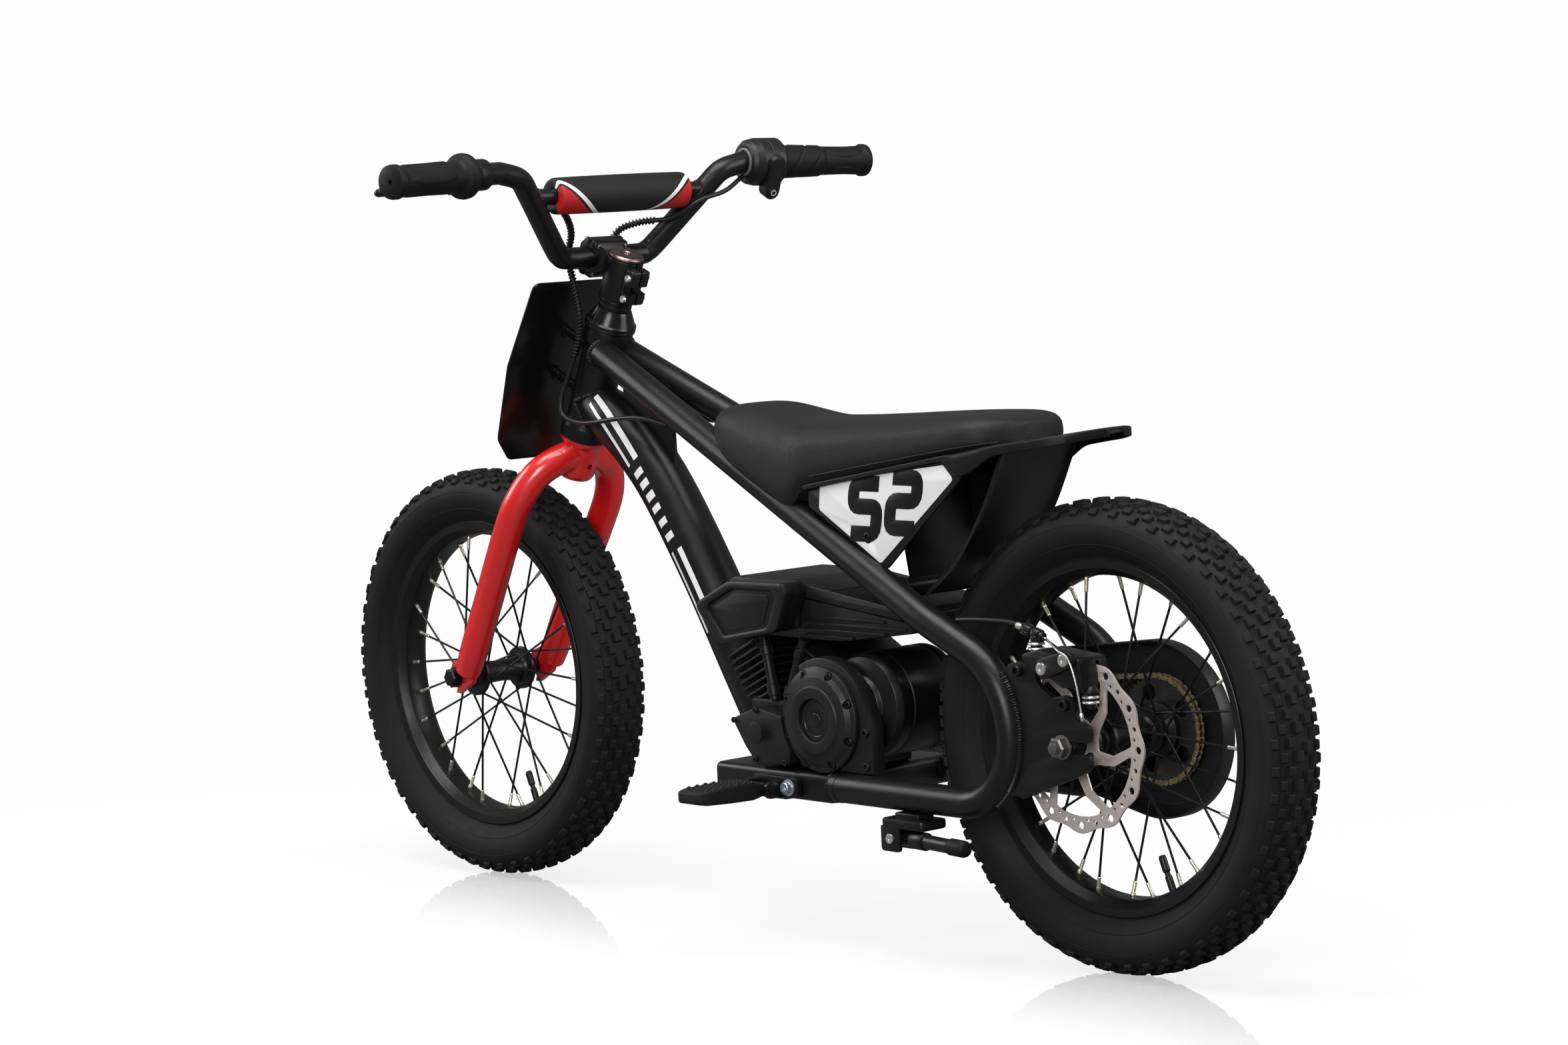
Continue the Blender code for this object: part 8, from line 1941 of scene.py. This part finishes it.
wire_route = [ADJUSTER_NOSE - ADJUSTER_LINE * 0.002, ADJUSTER_TAIL, ADJUSTER_TAIL - ADJUSTER_LINE * 0.004, (0.0080, 0.0795, 0.3070),
              (-0.0090, 0.0880, 0.3022), (-0.0215, 0.0890, 0.2960), (-0.0300, 0.0888, 0.2760), (-0.0360, 0.0880, 0.2420)]
wire_line = [AHEAD @ p for p in curve_through(wire_route, 10)]
tail = (wire_line[-1] - wire_line[-3]).normalized()
crimp = pipe([wire_line[-1] - tail * 0.0070, wire_line[-1]], 0.0016, 20)
wire = flexible("brake_wire", joined(pipe(wire_line, WIRE_RADIUS, 12), crimp), bright_steel)
path_length(rear_line)


# Foot pegs: tapered rubber-topped treads that fold up on steel pins between the ears of bolted brackets.
# Each bracket is held to the bottom box by one blue-passivated socket screw.
PEG_X, PEG_Y, PEG_Z, PEG_LENGTH, PEG_EARS = 0.380, 0.1000, 0.1480, 0.090, 0.0135
BOX_SIDE = 0.080
blue_zinc = metal("blue_zinc", (0.52, 0.58, 0.66), 0.26, 0.0, 0.85)
peg_rubber = rubber("peg_rubber", (0.0075, 0.0075, 0.0078), 0.60, 800)
tread_sections = ((0.02, 0.0105, -0.0055, 0.0055), (0.20, 0.0140, -0.0075, 0.0100), (0.55, 0.0170, -0.0060, 0.0110),
                  (0.88, 0.0185, -0.0040, 0.0100), (0.97, 0.0160, -0.0025, 0.0090), (1.0, 0.0100, -0.0005, 0.0075))


def tread_height(share):
    """Half width and height of the tread's top at a share of its length."""
    for first, second in zip(tread_sections, tread_sections[1:]):
        if first[0] <= share <= second[0]:
            t = (share - first[0]) / (second[0] - first[0])
            return first[1] + (second[1] - first[1]) * t, first[3] + (second[3] - first[3]) * t
    return tread_sections[-1][1], tread_sections[-1][3]


for peg_name, side in (("left", 1), ("right", -1)):
    base_line = eased([(0.340, 0.1410), (0.340, 0.1600), (0.402, 0.1600), (0.402, 0.1380), (0.358, 0.1380)], 0.005, 5)
    bracket = [side_slab(base_line, 0.0077, side * (BOX_SIDE + 0.00415), 0.0014)]
    ear_line = eased([(BOX_SIDE + 0.006, 0.1400), (PEG_Y + 0.007, 0.1400), (PEG_Y + 0.007, 0.1560), (BOX_SIDE + 0.006, 0.1560)],
                     [0, 0.0070, 0.0070, 0], 6)
    for end_side in (1, -1):
        ear_turn = Matrix(((0, 0, 1, PEG_X + end_side * (PEG_EARS + 0.0025)), (side, 0, 0, 0), (0, 1, 0, 0), (0, 0, 0, 1)))
        bracket.append(slab(ear_line, 0.005, 0.0008, place=AHEAD @ ear_turn))
    piece(peg_name + "_peg_mount", joined(*bracket), "frame", satin_black, [peg_name + "_peg_bracket"])
    pin = [rod((PEG_X - PEG_EARS - 0.0055, side * PEG_Y, PEG_Z), (PEG_X + PEG_EARS + 0.0055, side * PEG_Y, PEG_Z), 0.0040, 24, AHEAD)]
    piece(peg_name + "_peg_pin", joined(*pin), "frame", satin_black)
    bolt_face = side * (BOX_SIDE + 0.008)
    bolts = [washer((0.3515, bolt_face - side * 0.0003, 0.1500), (0, side, 0), 0.0080, 0.0016),
             cap_screw((0.3515, bolt_face + side * 0.0012, 0.1500), (0, side, 0), 0.0058, 0.0056)]
    piece(peg_name + "_peg_bolt", joined(*bolts), "frame", blue_zinc)
    peg_place = AHEAD @ Matrix.Translation((PEG_X, side * PEG_Y, PEG_Z))
    rings = []
    for share, half, low, high in tread_sections:
        corners = [(half, low), (-half, low), (-half, high), (half, high)]
        rings.append([(x, side * PEG_LENGTH * share, z) for x, z in eased(corners, 0.0032, 4)])
    tread_body = softened(skin(rings, peg_place), 0.0008, 2, 20)
    knuckle = pipe([(0.0043 - PEG_EARS, 0, 0), (PEG_EARS - 0.0043, 0, 0)], 0.0065, 28, place=peg_place)
    bumps = []
    for k in range(13):
        share = 0.22 + 0.055 * k
        half, top = tread_height(share)
        for lane in (-0.72, -0.36, 0.0, 0.36, 0.72):
            across = lane * half + (0.0018 if k % 2 else -0.0018)
            bumps.append(lathe([(1e-7, 0.0013), (0.0012, 0.0012), (0.0018, 0.0005), (0.0020, -0.0004)], 12,
                               peg_place @ Matrix.Translation((across, side * PEG_LENGTH * share, top))))
    piece(peg_name + "_peg_tread", joined(tread_body, knuckle, *bumps), peg_name + "_peg", peg_rubber, [peg_name + "_footpeg"],
          crease=40)


# Kickstand: a folding leg on a pin between two ears, under a clamp that bolts round the left lower rail.
# A sleeve joins the slim leg to its knuckle, and a rounded rubber foot closes the end.
STAND_X, STAND_Y, STAND_Z, STAND_SLOT = 0.2100, 0.0800, 0.1155, 0.0085
clamp_top = RAIL_Z - LOOP_RADIUS - 0.0003
clamp_middle = Matrix.Translation((0, 0, clamp_top - 0.0095))
clamp_line = eased([(0.168, LOOP_REAR_Y - 0.016), (0.2235, LOOP_REAR_Y - 0.016), (0.2235, LOOP_REAR_Y + 0.018),
                    (0.168, LOOP_REAR_Y + 0.018)], 0.007, 6)
mount = [slab(clamp_line, 0.009, 0.0018, place=AHEAD @ clamp_middle),
         block((0.180, LOOP_REAR_Y - 0.010, clamp_top - 0.006), (0.212, LOOP_REAR_Y + 0.010, clamp_top), 0.0015, 3)]
ear_line = eased([(STAND_X - 0.012, STAND_Z - 0.012), (STAND_X + 0.0125, STAND_Z - 0.012), (STAND_X + 0.0125, clamp_top - 0.012),
                  (STAND_X - 0.012, clamp_top - 0.012)], [0.004, 0.004, 0, 0], 5)
mount += [side_slab(ear_line, 0.004, STAND_Y + s * (STAND_SLOT + 0.002), 0.0007) for s in (1, -1)]
piece("stand_mount", joined(*mount), "frame", satin_black, ["kickstand_bracket"])
stand_pin = [rod((STAND_X, STAND_Y - STAND_SLOT - 0.005, STAND_Z), (STAND_X, STAND_Y + STAND_SLOT + 0.004, STAND_Z), 0.0039, 24, AHEAD),
             cap_screw((STAND_X, STAND_Y + STAND_SLOT + 0.0038, STAND_Z), (0, 1, 0), 0.0046, 0.0022)]
piece("stand_pin", joined(*stand_pin), "frame", bright_steel)
stand_place = AHEAD @ Matrix.Translation((STAND_X, STAND_Y, STAND_Z))
out = Vector((-math.cos(math.radians(8)), math.sin(math.radians(8)), 0))
stations = [(Vector((-0.002, 0, 0)), 1.05), (Vector((-0.0185, 0, 0)), 1.05), (out * 0.0222, 1.05), (out * 0.0228, 1.16), (out * 0.0236, 1.2),
            (out * 0.0412, 1.2), (out * 0.0420, 1.15), (out * 0.0424, 0.96), (out * 0.0790, 0.95)]
foot = [(out * 0.0782, 0.95), (out * 0.0790, 1.08), (out * 0.0800, 1.12), (out * 0.0985, 1.12), (out * 0.1008, 1.02), (out * 0.1022, 0.86),
        (out * 0.1030, 0.55)]
leg_tube = pipe([p for p, _ in stations], 0.0070, 32, [s for _, s in stations], stand_place)
knuckle = lathe(eased([(0.0090, 0.0081), (0.0090, -0.0081), (0.0043, -0.0081), (0.0043, 0.0081)], 0.0008), 40, stand_place @ AXLE_TURN, True)
piece("stand_leg", joined(leg_tube, knuckle), "kickstand", satin_black, ["kickstand"])
piece("stand_foot", pipe([p for p, _ in foot], 0.0070, 32, [s for _, s in foot], stand_place), "kickstand", grip_rubber)
